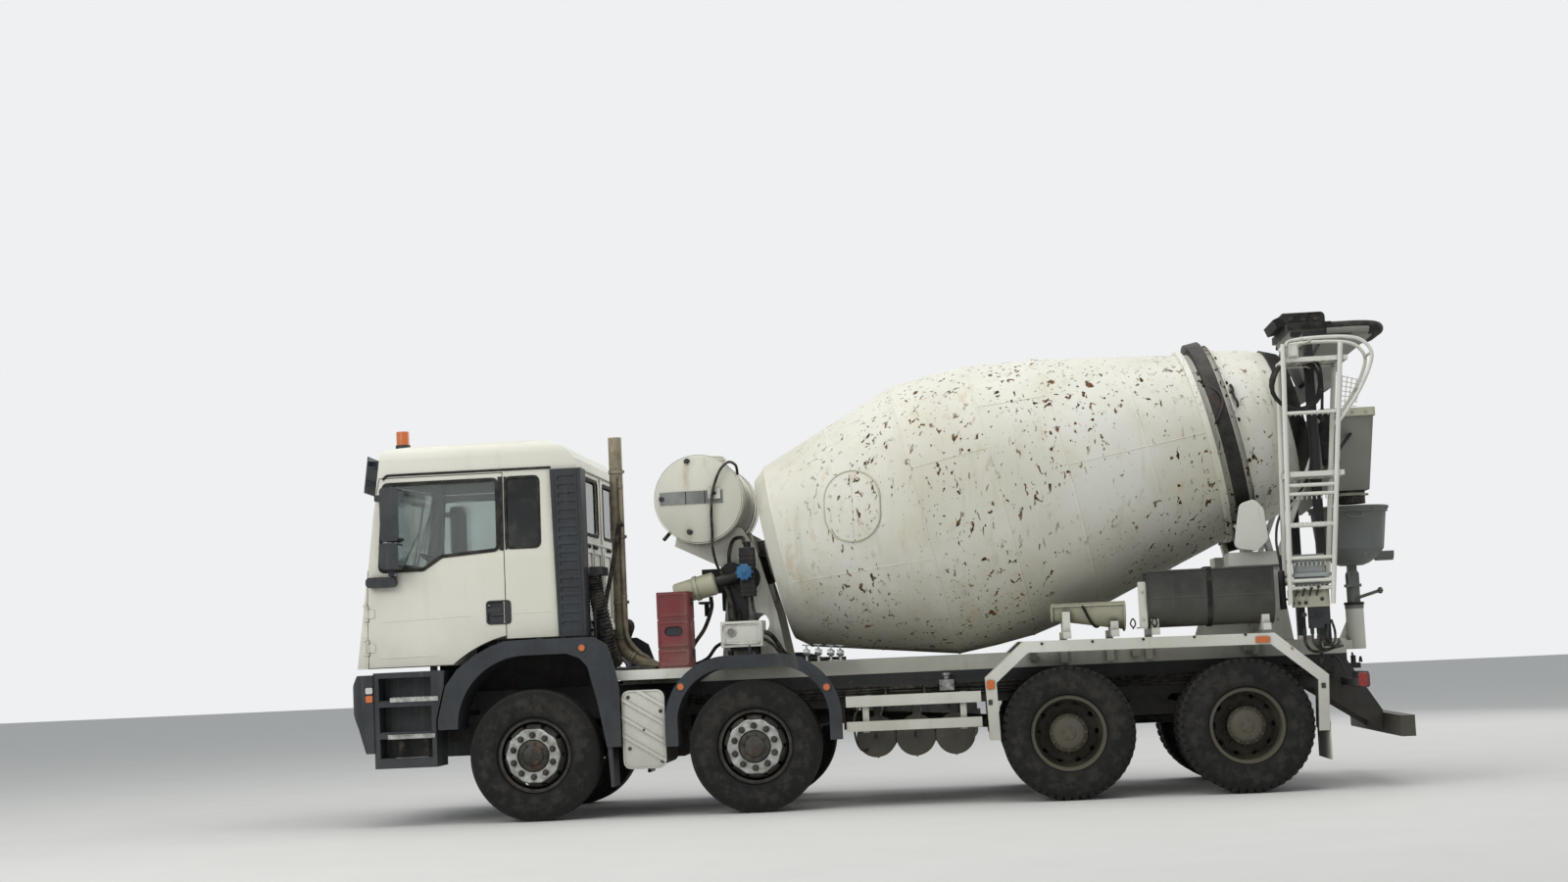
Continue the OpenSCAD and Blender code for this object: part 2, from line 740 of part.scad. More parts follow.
// Upright sleeve on the frame's end that the chute swivels in
chute_x = ax4 - 1090;
socket_z = [1082, 1420];
swivel_r = 45;

module chute_socket() {
    difference() {
        union() {
            translate([chute_x, 0, socket_z[0]]) cylinder(h = socket_z[1] - socket_z[0], r = 75);
            box([chute_x, frame_end + 2], [-60, 60], [socket_z[0], socket_z[0] + 78]);
            side_plate(-8, 16) polygon([[chute_x + 40, socket_z[0] + 70], [frame_end + 2, socket_z[0] + 70],
                [chute_x + 40, socket_z[1] - 30]]);
        }
        translate([chute_x, 0, socket_z[0] - 1]) cylinder(h = socket_z[1] - socket_z[0] + 2, r = swivel_r + fit);
    }
}

// Drum pedestals: front A-frame with its bearing plate, rear frame with the roller bearings
pedestal_y = 430;
drive_s = head_s - 60;
drum_pin_r = 60;

module front_pedestal() {
    base = subframe_top;
    head = below_axis(drive_s - 50, 0);
    both_sides() side_plate(pedestal_y, 14) difference() {
        polygon([[ax1 - 1480, base], [ax1 - 2040, base], [ax1 - 1960, base + 420], [ax1 - 1800, 2160],
            [ax1 - 1690, 2330], [ax1 - 1150, 2330], [ax1 - 1120, 2200], [ax1 - 1560, 1980]]);
        translate([ax1 - 1800, 1520]) circle(90);
        translate([tank_x, tank_z]) circle(tank_r);
    }
    both_sides() box([ax1 - 2040, ax1 - 1480], [rail_out - rail_w, pedestal_y + 60], [base, base + 14]);
    translate(head) rotate([0, drum_tilt - 90, 0]) difference() {
        translate([-330, -pedestal_y, -16]) cube([560, 2 * pedestal_y, 16]);
        translate([0, 0, -17]) cylinder(h = 18, r = 190 + seat);
    }
}

bearing_half = 75;

// The two masts beside the drum's mouth carry the charge hopper, the collector and the platform
mast_x = [frame_end + 165, frame_end + 235];
mast_y = [640, 720];

function roller_place(side) = below_axis(track_s, roller_reach * cos(roller_angle))
    + [0, side * roller_reach * sin(roller_angle), 0];

module rear_pedestal() {
    base = subframe_top;
    p = roller_place(1);
    difference() {
        union() {
            both_sides() {
                for (s = [-1, 1])
                    translate(p) rotate([0, drum_tilt - 90, 0]) translate([0, 0, s * (bearing_half + 27)])
                        translate([0, 0, -22]) {
                            cylinder(h = 44, r = 68);
                            translate([-260, -68, 0]) cube([260, 136, 44]);
                        }
                box([p[0] - 230, p[0] + 200], [340, 720], [p[2] - 300, p[2] - 190]);
                side_plate(rail_out - 40, 30) polygon([[p[0] - 330, base], [p[0] + 430, base],
                    [p[0] + 170, p[2] - 190], [p[0] - 230, p[2] - 190]]);
                side_plate(640, 14) polygon([[p[0] - 230, p[2] - 300], [p[0] + 120, p[2] - 300],
                    [p[0] - 20, base + 260], [p[0] - 200, base + 260]]);
            }
            box([p[0] - 60, p[0] + 60], [-rail_out, rail_out], [p[2] - 420, p[2] - 300]);
        }
        both_sides() translate(p) rotate([0, drum_tilt - 90, 0])
            cylinder(h = 400, r = 30 + fit, center = true);
    }
    both_sides() {
        box(mast_x, mast_y, [base - 60, 3690]);
        box(mast_x, [rail_out, mast_y[1]], [base - 60, base + 30]);
        rod([p[0] - 200, 690, p[2] - 240], [mast_x[0] + 35, 680, 2700], 24);
    }
}

module drum_pedestals() {
    color("#b9bbb8") front_pedestal();
    color("#b9bbb8") rear_pedestal();
}

// Drum drive: flange, planetary gearbox, hydraulic motor and oil cooler
module drum_drive() {
    color("#3b3d3c") {
        difference() {
            on_drum_axis(drive_s - 70) cylinder(h = 70, r = 190);
            on_drum_axis(drive_s - 45) cylinder(h = 46, r = drum_pin_r + fit);
        }
        on_drum_axis(drive_s - 66 - snug) mirror([0, 0, 1]) cylinder(h = 150, r = 215);
        on_drum_axis(drive_s - 200) mirror([0, 0, 1]) cylinder(h = 200, r1 = 130, r2 = 90);
        translate([ax1 - 1501, -60, 1800]) cube([181, 340, 200]);
        box([ax1 - 1660, ax1 - 1500], [100, 416], [1640, 2080]);
        along_y(ax1 - 1600, pedestal_y + 14, 1955) cylinder(h = 120, r = 84);
        along_y(ax1 - 1600, 400, 1955) cylinder(h = pedestal_y - 400, r = 60);
        box([ax1 - 1720, ax1 - 1560], [pedestal_y + 14, 560], [1500, 1860]);
    }
    color("#e2e2dc") box([ax1 - 1870, ax1 - 1530], [560, 940], [1330, 1540]);
    color("#3b3d3c") box([ax1 - 1800, ax1 - 1600], [pedestal_y + 14, 900], [1300, 1330]);
}

module water_tank() {
    dome_r = 1100;
    color("#d9dad4") {
        intersection() {
            along_y(tank_x, -tank_l / 2, tank_z) cylinder(h = tank_l, r = tank_r - snug);
            translate([tank_x, tank_l / 2 - dome_r, tank_z]) sphere(r = dome_r, $fn = 128);
            translate([tank_x, dome_r - tank_l / 2, tank_z]) sphere(r = dome_r, $fn = 128);
        }
        for (y = [-620, -380, 350, 590])
            along_y(tank_x, y, tank_z) difference() {
                cylinder(h = 30, r = tank_r + 6);
                translate([0, 0, -1]) cylinder(h = 32, r = tank_r - 3);
            }
        translate([tank_x, 0, tank_z + tank_r - 40]) cylinder(h = 85, r = 150);
    }
}

module red_box() {
    x = [ax1 - 1300, ax1 - 1030];
    color("#8c2f33") difference() {
        translate([0, 0, subframe_top]) linear_extrude(1800 - subframe_top) round_rect(x, [760, 1100], 30);
        side_plate(1075, 26) round_rect([x[0] + 60, x[1] - 60], [1440, 1520], 39.9);
        for (z = [1335, 1570])
            difference() {
                box([x[0] - 1, x[1] + 1], [759, 1101], [z, z + 10]);
                translate([0, 0, z - 1]) linear_extrude(12) round_rect([x[0] + 6, x[1] - 6], [766, 1094], 24);
            }
    }
}

// Charge hopper, its rubber rim and the splash block on top
hopper_top_z = 3740;

hopper_low_z = 3330;
lip_r = 52;
hopper_back = rear_x + lip_r - 6;
hopper_w = 434;
hopper_r = 240;

// Rolled rubber lip round the hopper's rear half
module hopper_lip() {
    turn_x = hopper_back + hopper_r + 6;
    turn_y = hopper_w - hopper_r;
    r = turn_x - rear_x - lip_r;
    translate([0, 0, hopper_top_z + 10]) {
        rod([rear_x + lip_r, -turn_y, 0], [rear_x + lip_r, turn_y, 0], lip_r);
        both_sides() rod([turn_x, turn_y + r, 0], [ax4 - 940, turn_y + r, 0], lip_r);
        both_sides() translate([turn_x, turn_y, 0]) intersection() {
            rotate_extrude() translate([r, 0]) circle(lip_r);
            translate([-400, 0, -100]) cube([400, 400, 200]);
        }
    }
}

module hopper_form(inset) {
    i = inset;
    intersection() {
        side_plate(-600, 1200) polygon([[hopper_back + i, hopper_top_z + i], [hopper_back + i, hopper_top_z - i],
            [ax4 - 1090 + i, 3505 - i / 2], [ax4 - 1000 + i, hopper_low_z - i],
            [ax4 - 760 - i, hopper_low_z - i], [rear_x + 810 - i, hopper_top_z + i]]);
        cross_plate(rear_x - 10, 900) polygon([[-hopper_w + i, hopper_top_z + i], [-300 + i, 3505],
            [-208 + i, hopper_low_z - i], [208 - i, hopper_low_z - i], [300 - i, 3505],
            [hopper_w - i, hopper_top_z + i]]);
        translate([0, 0, hopper_low_z - 200]) linear_extrude(700) {
            translate([hopper_back + i + hopper_r, i - hopper_w]) square([900, 2 * (hopper_w - i)]);
            translate([hopper_back + i, i + hopper_r - hopper_w])
                square([900, 2 * (hopper_w - i - hopper_r)]);
            for (side = [-1, 1])
                translate([hopper_back + i + hopper_r, side * (hopper_w - i - hopper_r)]) circle(hopper_r);
        }
    }
}

// Spout from the hopper's throat down into the drum's mouth
module hopper_spout(i) {
    side_plate(i - 208, 416 - 2 * i) polygon([[ax4 - 1000 + i, hopper_low_z + i],
        [ax4 - 1000 + i, hopper_low_z - 50 + i], [ax4 - 540 + i / 4, 3070 + i],
        [ax4 - 540 + i / 4, 3240 - i / 2], [ax4 - 760 - i, hopper_low_z + i]]);
}

module charge_hopper() {
    color("#9fa29e") difference() {
        union() {
            hopper_form(0);
            hopper_spout(0);
            both_sides() box([mast_x[0] + 5, mast_x[1] - 5], [350, mast_y[0]], [3600, 3680]);
        }
        hopper_form(8);
        hopper_spout(8);
    }
    color("#24272a") difference() {
        union() {
            hopper_lip();
            box([ax4 - 980, rear_x + 830], [-480, 480], [hopper_top_z, hopper_top_z + 61]);
            side_plate(-300, 600) {
                square_x = ax4 - 960;
                polygon([[square_x + 40, hopper_top_z + 60], [ax4 - 610, hopper_top_z + 60],
                    [ax4 - 610, hopper_top_z + 170], [square_x + 40, hopper_top_z + 170]]);
                polygon([[square_x, hopper_top_z + 60], [square_x + 41, hopper_top_z + 60],
                    [square_x + 41, hopper_top_z + 130], [square_x, hopper_top_z + 130]]);
                translate([square_x + 40, hopper_top_z + 130]) circle(40);
                polygon([[ax4 - 611, hopper_top_z + 60], [ax4 - 560, hopper_top_z + 50],
                    [ax4 - 530, hopper_top_z + 120], [ax4 - 590, hopper_top_z + 145],
                    [ax4 - 611, hopper_top_z + 145]]);
            }
        }
        hopper_form(8);
        box([ax4 - 981, rear_x + 790], [-425, 425], [hopper_top_z - 2, hopper_top_z + 62]);
        box([ax4 - 935, ax4 - 635], [-275, 275], [hopper_top_z + 50, hopper_top_z + 155]);
    }
}

// Collector below the drum's mouth: a V of plates, open to the front, that leads into a rubber sleeve
collector_top = 3060;
collector_low = 2405;
collector_x = [ax4 - 1270, ax4 - 818];
sleeve_r = 150;

module collector_form(i) {
    intersection() {
        side_plate(-600, 1200) polygon([[collector_x[0] + i, collector_top + i],
            [collector_x[0] + 20 + i, collector_low + i], [collector_x[1] - 22 + 4 * i, collector_low + i],
            [collector_x[1] + 4 * i, collector_top + i]]);
        cross_plate(collector_x[0] - 10, 600) polygon([[-520 + i, collector_top + i],
            [-190 + i, collector_low + i], [190 - i, collector_low + i], [520 - i, collector_top + i]]);
    }
}

module collector() {
    color("#94979a") {
        difference() {
            union() {
                collector_form(0);
                both_sides() rod([collector_x[1] - 90, 430, 2960], [mast_x[1] - 40, mast_y[0] + 30, 2960], 20);
            }
            collector_form(8);
            both_sides() box(mast_x, mast_y, [2900, 3000]);
            translate([chute_x, 0, collector_low - 1]) cylinder(h = 20, r = sleeve_r - 8);
        }
        side_plate(-182, 364) polygon([[collector_x[1] - 24, collector_low], [collector_x[1] + 17, collector_low + 9],
            [collector_x[1] + 17, collector_low + 15], [collector_x[1] - 24, collector_low + 6]]);
    }
    color("#24272a") difference() {
        translate([chute_x, 0, 2300]) cylinder(h = collector_low - 2300, r = sleeve_r);
        translate([chute_x, 0, 2299]) cylinder(h = collector_low - 2298, r = sleeve_r - 8);
    }
}

// Ladder on the left, two stiles with rungs, platform and handrails
ladder_y = 1105;
ladder_low = [ax4 - 742, ax4 - 409];
ladder_top = [ax4 - 938, ax4 - 482];

function stile(i, z) = ladder_low[i] + (z - 1460) / 2090 * (ladder_top[i] - ladder_low[i]);

module ladder_bar(y, z, r) {
    rod([stile(0, z), y, z], [stile(1, z), y, z], r);
}

module grating(z, t) {
    difference() {
        box([stile(0, z) - 60, stile(1, z)], [mast_y[1], ladder_y], [z - t, z]);
        for (x = [stile(0, z) - 45 : 75 : stile(1, z) - 60], y = [745 : 85 : 1060])
            box([x, x + 55], [y, min(y + 65, ladder_y - 25)], [z - t - 1, z + 1]);
    }
}

module ladder() {
    rung_zs = [1590, 1650, 1830, 2090, 2340, 2410, 2990];
    inner_y = mast_y[1] + 80;
    rail_z = 3550;
    color("#dcdcd6") {
        for (i = [0, 1])
            rod([ladder_low[i], ladder_y, 1460], [ladder_top[i], ladder_y, rail_z], 20);
        for (z = rung_zs)
            ladder_bar(ladder_y, z, 15);
        ladder_bar(ladder_y, 2100, 12);
        grating(2520, 40);
        grating(3440, 36);
        for (i = [0, 1]) {
            for (z = [1640, 3400])
                rod([stile(i, z), ladder_y, z], [stile(i, z), inner_y, z], 15);
            rod([stile(i, 1620), inner_y, 1620], [stile(i, 3425), inner_y, 3425], 20);
        }
        for (z = [1640, 2100, 3400]) {
            ladder_bar(inner_y, z, 14);
            box([mast_x[0] + 15, mast_x[1] - 15], [mast_y[1], inner_y], [z - 15, z + 15]);
        }
    }
}

module control_box() {
    color("#b4bcc0") box([ladder_low[0] + 40, ladder_low[1] - 62], [980, 1060], [1600, 1860]);
    color("#d9d6c8") box([ladder_low[0] + 20, ladder_low[1] - 25], [1060, 1075], [1440, 1600]);
    color("#23262a") {
        box([ladder_low[1] - 260, ladder_low[1] - 150], [960, 1070], [1270, 1440]);
        box([ladder_low[0] + 30, ladder_low[0] + 150], [960, 1070], [1300, 1440]);
        box([ladder_low[0] + 40, ladder_low[1] - 30], [980, 1060], [1440, 1600]);
        for (z = [1680, 1790])
            box([ladder_low[0] - 10, ladder_low[1] + 10], [1058, ladder_y - 20 - snug], [z, z + 30]);
    }
}

// Chute extensions stored on the left deck, and a loose funnel piece ahead of them
module trough_profile(r, t, h) {
    difference() {
        union() {
            circle(r);
            translate([-r, 0]) square([2 * r, h]);
        }
        circle(r - t);
        translate([-r + t, 0]) square([2 * (r - t), h + 1]);
    }
}

stored_y = 985;
stored_r = 205;
stored_z = 1331 + stored_r;

// Outer form of the stored pieces' lower halves, grown by g, that their cradles are cut with
module stored_form(g) {
    translate([ax4 - 290, stored_y, stored_z]) rotate([0, 90, 0]) cylinder(h = 1020, r = stored_r + g);
    translate([ax3 - 500, stored_y, stored_z]) rotate([0, 90, 0])
        cylinder(h = 580, r1 = stored_r + g, r2 = 110 + g);
    box([ax4 - 290, ax4 + 730], [stored_y - stored_r - g, stored_y + stored_r + g], [stored_z, stored_z + 300]);
}

module stored_chutes() {
    color("#75787a") cross_plate(ax4 - 280, 1000) translate([stored_y, stored_z])
        trough_profile(stored_r, 6, 240);
    color("#b8b3a2") translate([ax3 - 500, stored_y, stored_z]) rotate([0, 90, 0]) difference() {
        cylinder(h = 580, r1 = stored_r, r2 = 110);
        translate([0, 0, -1]) cylinder(h = 582, r1 = stored_r - 7, r2 = 103);
        translate([-420, -300, -1]) cube([400, 600, 600]);
    }
}

// Cab form: side outline, front outline and rounded front corners, shrunk by inset

module cab_side_outline(inset) {
    d = inset;
    difference() {
        polygon([[cab_back + d, quarter_bottom + d], [door_back, quarter_bottom + d], [door_back, cab_bottom + d],
            [cab_front - d + 8, cab_bottom + d], [cab_front - 215 - d, 2900], [cab_front - 276 - d, 3060 - d],
            [cab_front - 345, cab_top - 22 - d], [cab_front - 486, cab_top - 10 - d], [cab_back + 270, cab_top - d],
            [cab_back + 110 + d / 2, cab_top - 75 - d], [cab_back + 22 + d, cab_top - 170 - d],
            [cab_back + d, cab_top - 330 - d]]);
        intersection() {
            translate([ax1, arch_z]) circle(door_arch_r + inset);
            translate([door_back, 1200]) square([600, 400]);
        }
    }
}

module cab_front_outline(inset) {
    w = cab_w / 2 - inset;
    rw = roof_half_w - inset;
    r = roof_corner_r;
    top = cab_top - inset;
    difference() {
        polygon([[-w, 1200], [-w, waist_z], [-rw, top - r], [-rw, top], [rw, top], [rw, top - r],
            [w, waist_z], [w, 1200]]);
        for (side = [-1, 1]) difference() {
            translate([side * (rw - r / 2 + 1) - r / 2 - 1, top - r]) square([r + 2, r + 2]);
            translate([side * (rw - r), top - r]) circle(r);
        }
    }
}

module cab_corner_plan(inset) {
    w = cab_w / 2 - inset;
    r = corner_r - inset / 2;
    crown = 14000;
    intersection() {
        union() {
            translate([-3200, -w]) square([3200 - r, 2 * w]);
            translate([-3200, -w + r]) square([3200, 2 * w - 2 * r]);
            for (side = [-1, 1]) translate([-r, side * (w - r)]) circle(r);
        }
        translate([-crown, 0]) circle(crown, $fn = 720);
    }
}

module cab_form(inset) {
    intersection() {
        side_plate(-cab_w, 2 * cab_w) cab_side_outline(inset);
        cross_plate(cab_back - 100, cab_l + 400) cab_front_outline(inset);
        translate([cab_front - inset, 0, cab_bottom]) rotate([0, -front_lean, 0])
            translate([0, 0, -400]) linear_extrude(2600) cab_corner_plan(inset);
    }
}

floor_line = 1590;
foot_line = 1345;
tunnel_y = 430;

module cab_inside() {
    difference() {
        intersection() {
            cab_form(wall);
            side_plate(-cab_w, 2 * cab_w) polygon([[cab_back, floor_line], [ax1 + 640, floor_line],
                [ax1 + 760, foot_line], [front_x, foot_line], [front_x, 4000], [cab_back, 4000]]);
        }
        box([ax1 + 600, ax1 + 1130], [-tunnel_y - 40, tunnel_y + 40], [1200, floor_line]);
    }
}

// Door outline, shrunk by g
module door_outline(g) {
    difference() {
        polygon([[door_back + g, cab_bottom + g], [door_front - g, cab_bottom + g], [door_front - g, 1800],
            [door_front - 8 - g, 2102], [door_front - 65 - g, 2575], [door_front - 125 - g, door_top - g],
            [door_back + g, door_top - g]]);
        translate([ax1, arch_z]) circle(door_arch_r + g);
    }
}

// Door zone on the left: the cab's skin, as thick as deep
module door_zone(g, deep) {
    intersection() {
        difference() {
            cab_form(0);
            cab_form(deep);
        }
        side_plate(cab_w / 2 - 110, 200) door_outline(g);
    }
}

// Side windows: door window, shrunk by g
module door_window(g) {
    polygon([[door_back + 54 + g, 2790 - g], [ax1 + 1195 - g, 2790 - g], [ax1 + 1238 - g, 2080 + g],
        [ax1 + 880 + g / 2, 2080 + g], [ax1 + 720, 2182 + g], [door_back + 54 + g, 2215 + g]]);
}

module quarter_window(g) {
    translate([0, 0]) round_rect([cab_back + 330 + g, door_back - 18 - g], [2222 + g, 2800 - g], 40);
}

module windscreen_outline(g) {
    round_rect([-960 + g, 960 - g], [1985 + g, 2850 - g], 90);
}

module back_window(g) {
    for (side = [-1, 1]) translate([side * 520, 0]) round_rect([-370 + g, 370 - g], [2330 + g, 2790 - g], 60);
}

module grille_outline(g) {
    round_rect([-820 + g, 820 - g], [1335 + g, 1890 - g], 60);
}

// Cranked arm under the cab with its hinge pin; the crank passes behind the bumper when the cab tilts
module cab_arm() {
    side_plate(rail_out + 10, 20) {
        translate([cab_hinge_x, cab_hinge_z]) circle(25);
        polygon([[cab_hinge_x - 345, cab_hinge_z - 25], [cab_hinge_x, cab_hinge_z - 25],
            [cab_hinge_x, cab_hinge_z + 25], [cab_hinge_x - 285, cab_hinge_z + 25],
            [cab_hinge_x - 285, cab_bottom + 2], [cab_hinge_x - 345, cab_bottom + 2]]);
    }
    side_plate(rail_out - 36, 60) translate([cab_hinge_x, cab_hinge_z]) circle(cab_pin_r);
}

module cab_shell() {
    color("#dedfd8") both_sides() cab_arm();
    color("#dedfd8") both_sides() for (z = hinge_zs)
        translate([hinge_at[0], hinge_at[1], z]) {
            translate([0, 0, -25]) cylinder(h = 20, r = 10);
            translate([0, 0, 75]) cylinder(h = 20, r = 10);
            translate([0, 0, -15]) cylinder(h = 100, r = hinge_pin);
        }
    color("#dedfd8") difference() {
        cab_form(0);
        both_sides() for (z = hinge_zs)
            translate([hinge_at[0], hinge_at[1], z - 5]) cylinder(h = 80, r = 16);
        cab_inside();
        box([cab_back - 1, ax1 + 1100], [-tunnel_y, tunnel_y], [1200, tunnel_z]);
        box([cab_back - 1, ax1 + 605], [-cab_w, cab_w], [1200, quarter_bottom - 0.5]);
        both_sides() {
            door_zone(0, wall + 4);
            side_plate(cab_w / 2 - 220, 400) quarter_window(0);
        }
        cross_plate(ax1 + 700, 1000) windscreen_outline(0);
        cross_plate(cab_back - 50, 200) back_window(0);
        intersection() {
            cross_plate(ax1 + 900, 1000) grille_outline(0);
            difference() {
                cab_form(-5);
                cab_form(30);
            }
        }
    }
}

// A pane as thick as the glass, set in from the skin, cut by its children
module pane() {
    set_in = 14;
    intersection() {
        difference() {
            cab_form(set_in);
            cab_form(set_in + glass_t);
        }
        children();
    }
}

module cab_glass() {
    color("#5d6a6c", 0.5) {
        pane() cross_plate(ax1 + 700, 1000) windscreen_outline(0.2);
        pane() cross_plate(cab_back - 50, 300) back_window(0.2);
        both_sides() pane() side_plate(cab_w / 2 - 220, 400) quarter_window(0.2);
    }
}

module front_grille() {
    color("#34393c") {
        difference() {
            intersection() {
                cross_plate(ax1 + 900, 1000) grille_outline(4);
                difference() {
                    cab_form(4);
                    cab_form(30 - snug);
                }
            }
            box([cab_front - 200, cab_front - 129.5], [-cab_w, cab_w], [1200, 2000]);
            for (z = [1400 : 90 : 1800], side = [-1, 1])
                cross_plate(ax1 + 900, 1000)
                    round_rect([side * 365 - 335, side * 365 + 335], [z, z + 48], 12);
        }
        // Middle bar, a little proud of the slats
        intersection() {
            cross_plate(ax1 + 900, 1000) intersection() {
                grille_outline(4);
                translate([-18, 0]) square([36, 4000]);
            }
            difference() {
                cab_form(1);
                cab_form(8);
            }
        }
    }
}

seat_y = 620;

module one_seat(y) {
    translate([cab_back + 425, y, 0]) {
        box([-130, 330], [-180, 180], [floor_line, floor_line + 170]);
        side_plate(-240, 480) round_rect([-170, 370], [floor_line + 170, floor_line + 310], 50);
        translate([-120, 0, floor_line + 260]) rotate([0, -14, 0])
            side_plate(-230, 460) round_rect([-60, 70], [0, 640], 50);
        translate([-278, 0, floor_line + 865]) rotate([0, -14, 0])
            side_plate(-120, 240) round_rect([-40, 50], [0, 190], 35);
    }
}

module cab_interior() {
    wheel_r = 225;
    color("#4a4d50") {
        one_seat(seat_y);
        one_seat(-seat_y);
        intersection() {
            cab_form(wall + snug);
            side_plate(170 - cab_w / 2, cab_w - 340) polygon([[ax1 + 1000, 1700], [ax1 + 920, 1960], [ax1 + 1000, 2040],
                [front_x, 1960], [front_x, 1590], [ax1 + 1130, 1590]]);
        }
        rod([ax1 + 1000, seat_y, 1800], [ax1 + 770, seat_y, 2050], 32);
        translate([ax1 + 770, seat_y, 2050]) rotate([0, -42, 0]) {
            rotate_extrude() translate([wheel_r, 0]) circle(16);
            cylinder(h = 30, r = 60, center = true);
            for (a = [30, 150, 270]) rotate([0, 0, a])
                translate([40, -18, -9]) cube([wheel_r - 44, 36, 18]);
        }
    }
}

// Dark trim on the cab: sun visor, air intake columns and beacons
visor_out = 110;

module cab_trim() {
    color("#30363a") {
        difference() {
            intersection() {
                union() {
                    difference() {
                        cab_form(-visor_out);
                        cab_form(8 - visor_out);
                    }
                    for (y = [-900, -300, 300, 900])
                        box([cab_front - 420, cab_front], [y - 8, y + 8], [2970, 3010]);
                }
                cab_form(-visor_out);
                box([cab_front - 420, cab_front + 200], [80 - cab_w / 2, cab_w / 2 - 80], [2740, 3040]);
            }
            cab_form(-snug);
        }
        both_sides() {
            difference() {
                side_plate(900, cab_w / 2 + 22 - 900) polygon([[cab_back - 30, 1480], [cab_back + 195, 1480],
                    [cab_back + 225, 2850], [cab_back - 30, 2850]]);
                cab_form(-snug);
                for (z = [1560 : 70 : 2780])
                    side_plate(cab_w / 2 + 12, 20) round_rect([cab_back + 5, cab_back + 165], [z, z + 40], 8);
            }
        }
    }
    for (y = [-740, 740]) {
        color("#202326") difference() {
            translate([cab_front - 390, y, cab_top - 40]) cylinder(h = 70, r = 62);
            cab_form(0);
        }
        color("#e0662a") translate([cab_front - 390, y, cab_top + 30]) cylinder(h = 120, r = 54);
    }
}

hinge_at = [door_front - door_gap / 2, cab_w / 2 + 4];
hinge_zs = [1420, 1700];
hinge_pin = 5;

module door() {
    color("#dedfd8") difference() {
        union() {
            door_zone(door_gap, wall);
            for (z = hinge_zs) {
                translate([hinge_at[0], hinge_at[1], z]) cylinder(h = 70, r = 10);
                box([hinge_at[0] - 60, hinge_at[0]], [hinge_at[1] - 9, hinge_at[1] + 1], [z, z + 70]);
            }
        }
        for (z = hinge_zs)
            translate([hinge_at[0], hinge_at[1], z]) {
                translate([0, 0, -1]) cylinder(h = 72, r = hinge_pin + fit);
                translate([0, 0, -31]) cylinder(h = 31, r = 15);
                translate([0, 0, 70]) cylinder(h = 31, r = 15);
            }
        side_plate(cab_w / 2 - 220, 400) door_window(0);
        side_plate(cab_w / 2 - 18, 40) round_rect([door_back + 20, door_back + 168], [1610, 1790], 18);
    }
    color("#202326") side_plate(cab_w / 2 - 18, 20) round_rect([door_back + 35, door_back + 150], [1700, 1740], 12);
}

module door_glass() {
    color("#5d6a6c", 0.5) pane() side_plate(cab_w / 2 - 110, 300) door_window(0.2);
}

mirror_y = cab_w / 2 + 60;

module mirror_housing(x, z, deep) {
    translate([0, mirror_y, 0]) side_plate(0, deep) round_rect(x, z, 35);
}

module mirrors() {
    arm_y = mirror_y + 60;
    color("#24282b") {
        mirror_housing([ax1 + 1010, ax1 + 1165], [2310, 2750], 190);
        mirror_housing([ax1 + 1020, ax1 + 1180], [2085, 2296], 190);
        difference() {
            union() {
                box([ax1 + 1195, ax1 + 1240], [cab_w / 2 - 120, arm_y], [2650, 2700]);
                box([ax1 + 1140, ax1 + 1240], [arm_y - 30, arm_y], [2650, 2700]);
                box([ax1 + 1090, ax1 + 1140], [cab_w / 2 - 120, arm_y], [2032, 2064]);
                box([ax1 + 1090, ax1 + 1140], [arm_y - 30, arm_y], [2032, 2110]);
                side_plate(cab_w / 2 - 120, 210)
                    round_rect([ax1 + 1095, ax1 + 1340], [1945, 2030], 35);
            }
            cab_form(-snug);
        }
    }
}

// Keeps a piece on the left for 1, mirrors it to the right for -1
module on_side(side) {
    mirror([0, side < 0 ? 1 : 0, 0]) children();
}

// Drum: welded cones and a cylinder, open at the mouth, with an oval inspection cover
module drum_outline(grow, s_end) {
    pts = drum_profile;
    polygon(concat([[0, head_s - grow]], [for (p = pts) [p[1] + grow, p[0] - (p[0] == head_s ? grow : 0)]],
        [[0, s_end]]));
}

hatch_s = -420;

module drum() {
    color("#e4e1d5") {
        on_drum_axis(0) rotate_extrude() difference() {
            drum_outline(0, mouth_s);
            translate([0, drum_t]) drum_outline(-drum_t, mouth_s + 20);
            translate([0, mouth_s - 1]) square([mouth_r - drum_t, 40]);
        }
        on_drum_axis(head_s) mirror([0, 0, 1]) {
            cylinder(h = head_s - drive_s - 5, r = 190);
            cylinder(h = head_s - drive_s + 40, r = drum_pin_r);
        }
        intersection() {
            on_drum_axis(0) rotate_extrude() difference() {
                drum_outline(7, mouth_s);
                drum_outline(-1, mouth_s + 1);
            }
            along_y(ax1 - 2656, 0, 2432) {
                for (z = [-60, 60]) translate([0, z, 0]) cylinder(h = 1500, r = 228);
                translate([-228, -60, 0]) cube([456, 120, 1500]);
            }
        }
    }
}

module roller_track() {
    color("#3b362f") on_drum_axis(track_s - track_w / 2) difference() {
        cylinder(h = track_w, r = track_r, $fn = 128);
        translate([0, 0, -1]) cylinder(h = track_w + 2, r = track_seat_r + snug, $fn = 128);
    }
}

module roller(side) {
    color("#55524d") translate(roller_place(side)) rotate([0, drum_tilt - 90, 0]) {
        cylinder(h = 2 * bearing_half, r = roller_r, center = true);
        cylinder(h = 2 * bearing_half + 90, r = 30, center = true);
    }
}

// Swivelling chute below the collector: pin and fork in the frame's sleeve, then the hinged bowl
hinge_z = 1700;
hinge_r = 15;
fork_in = 50;
fork_t = 25;

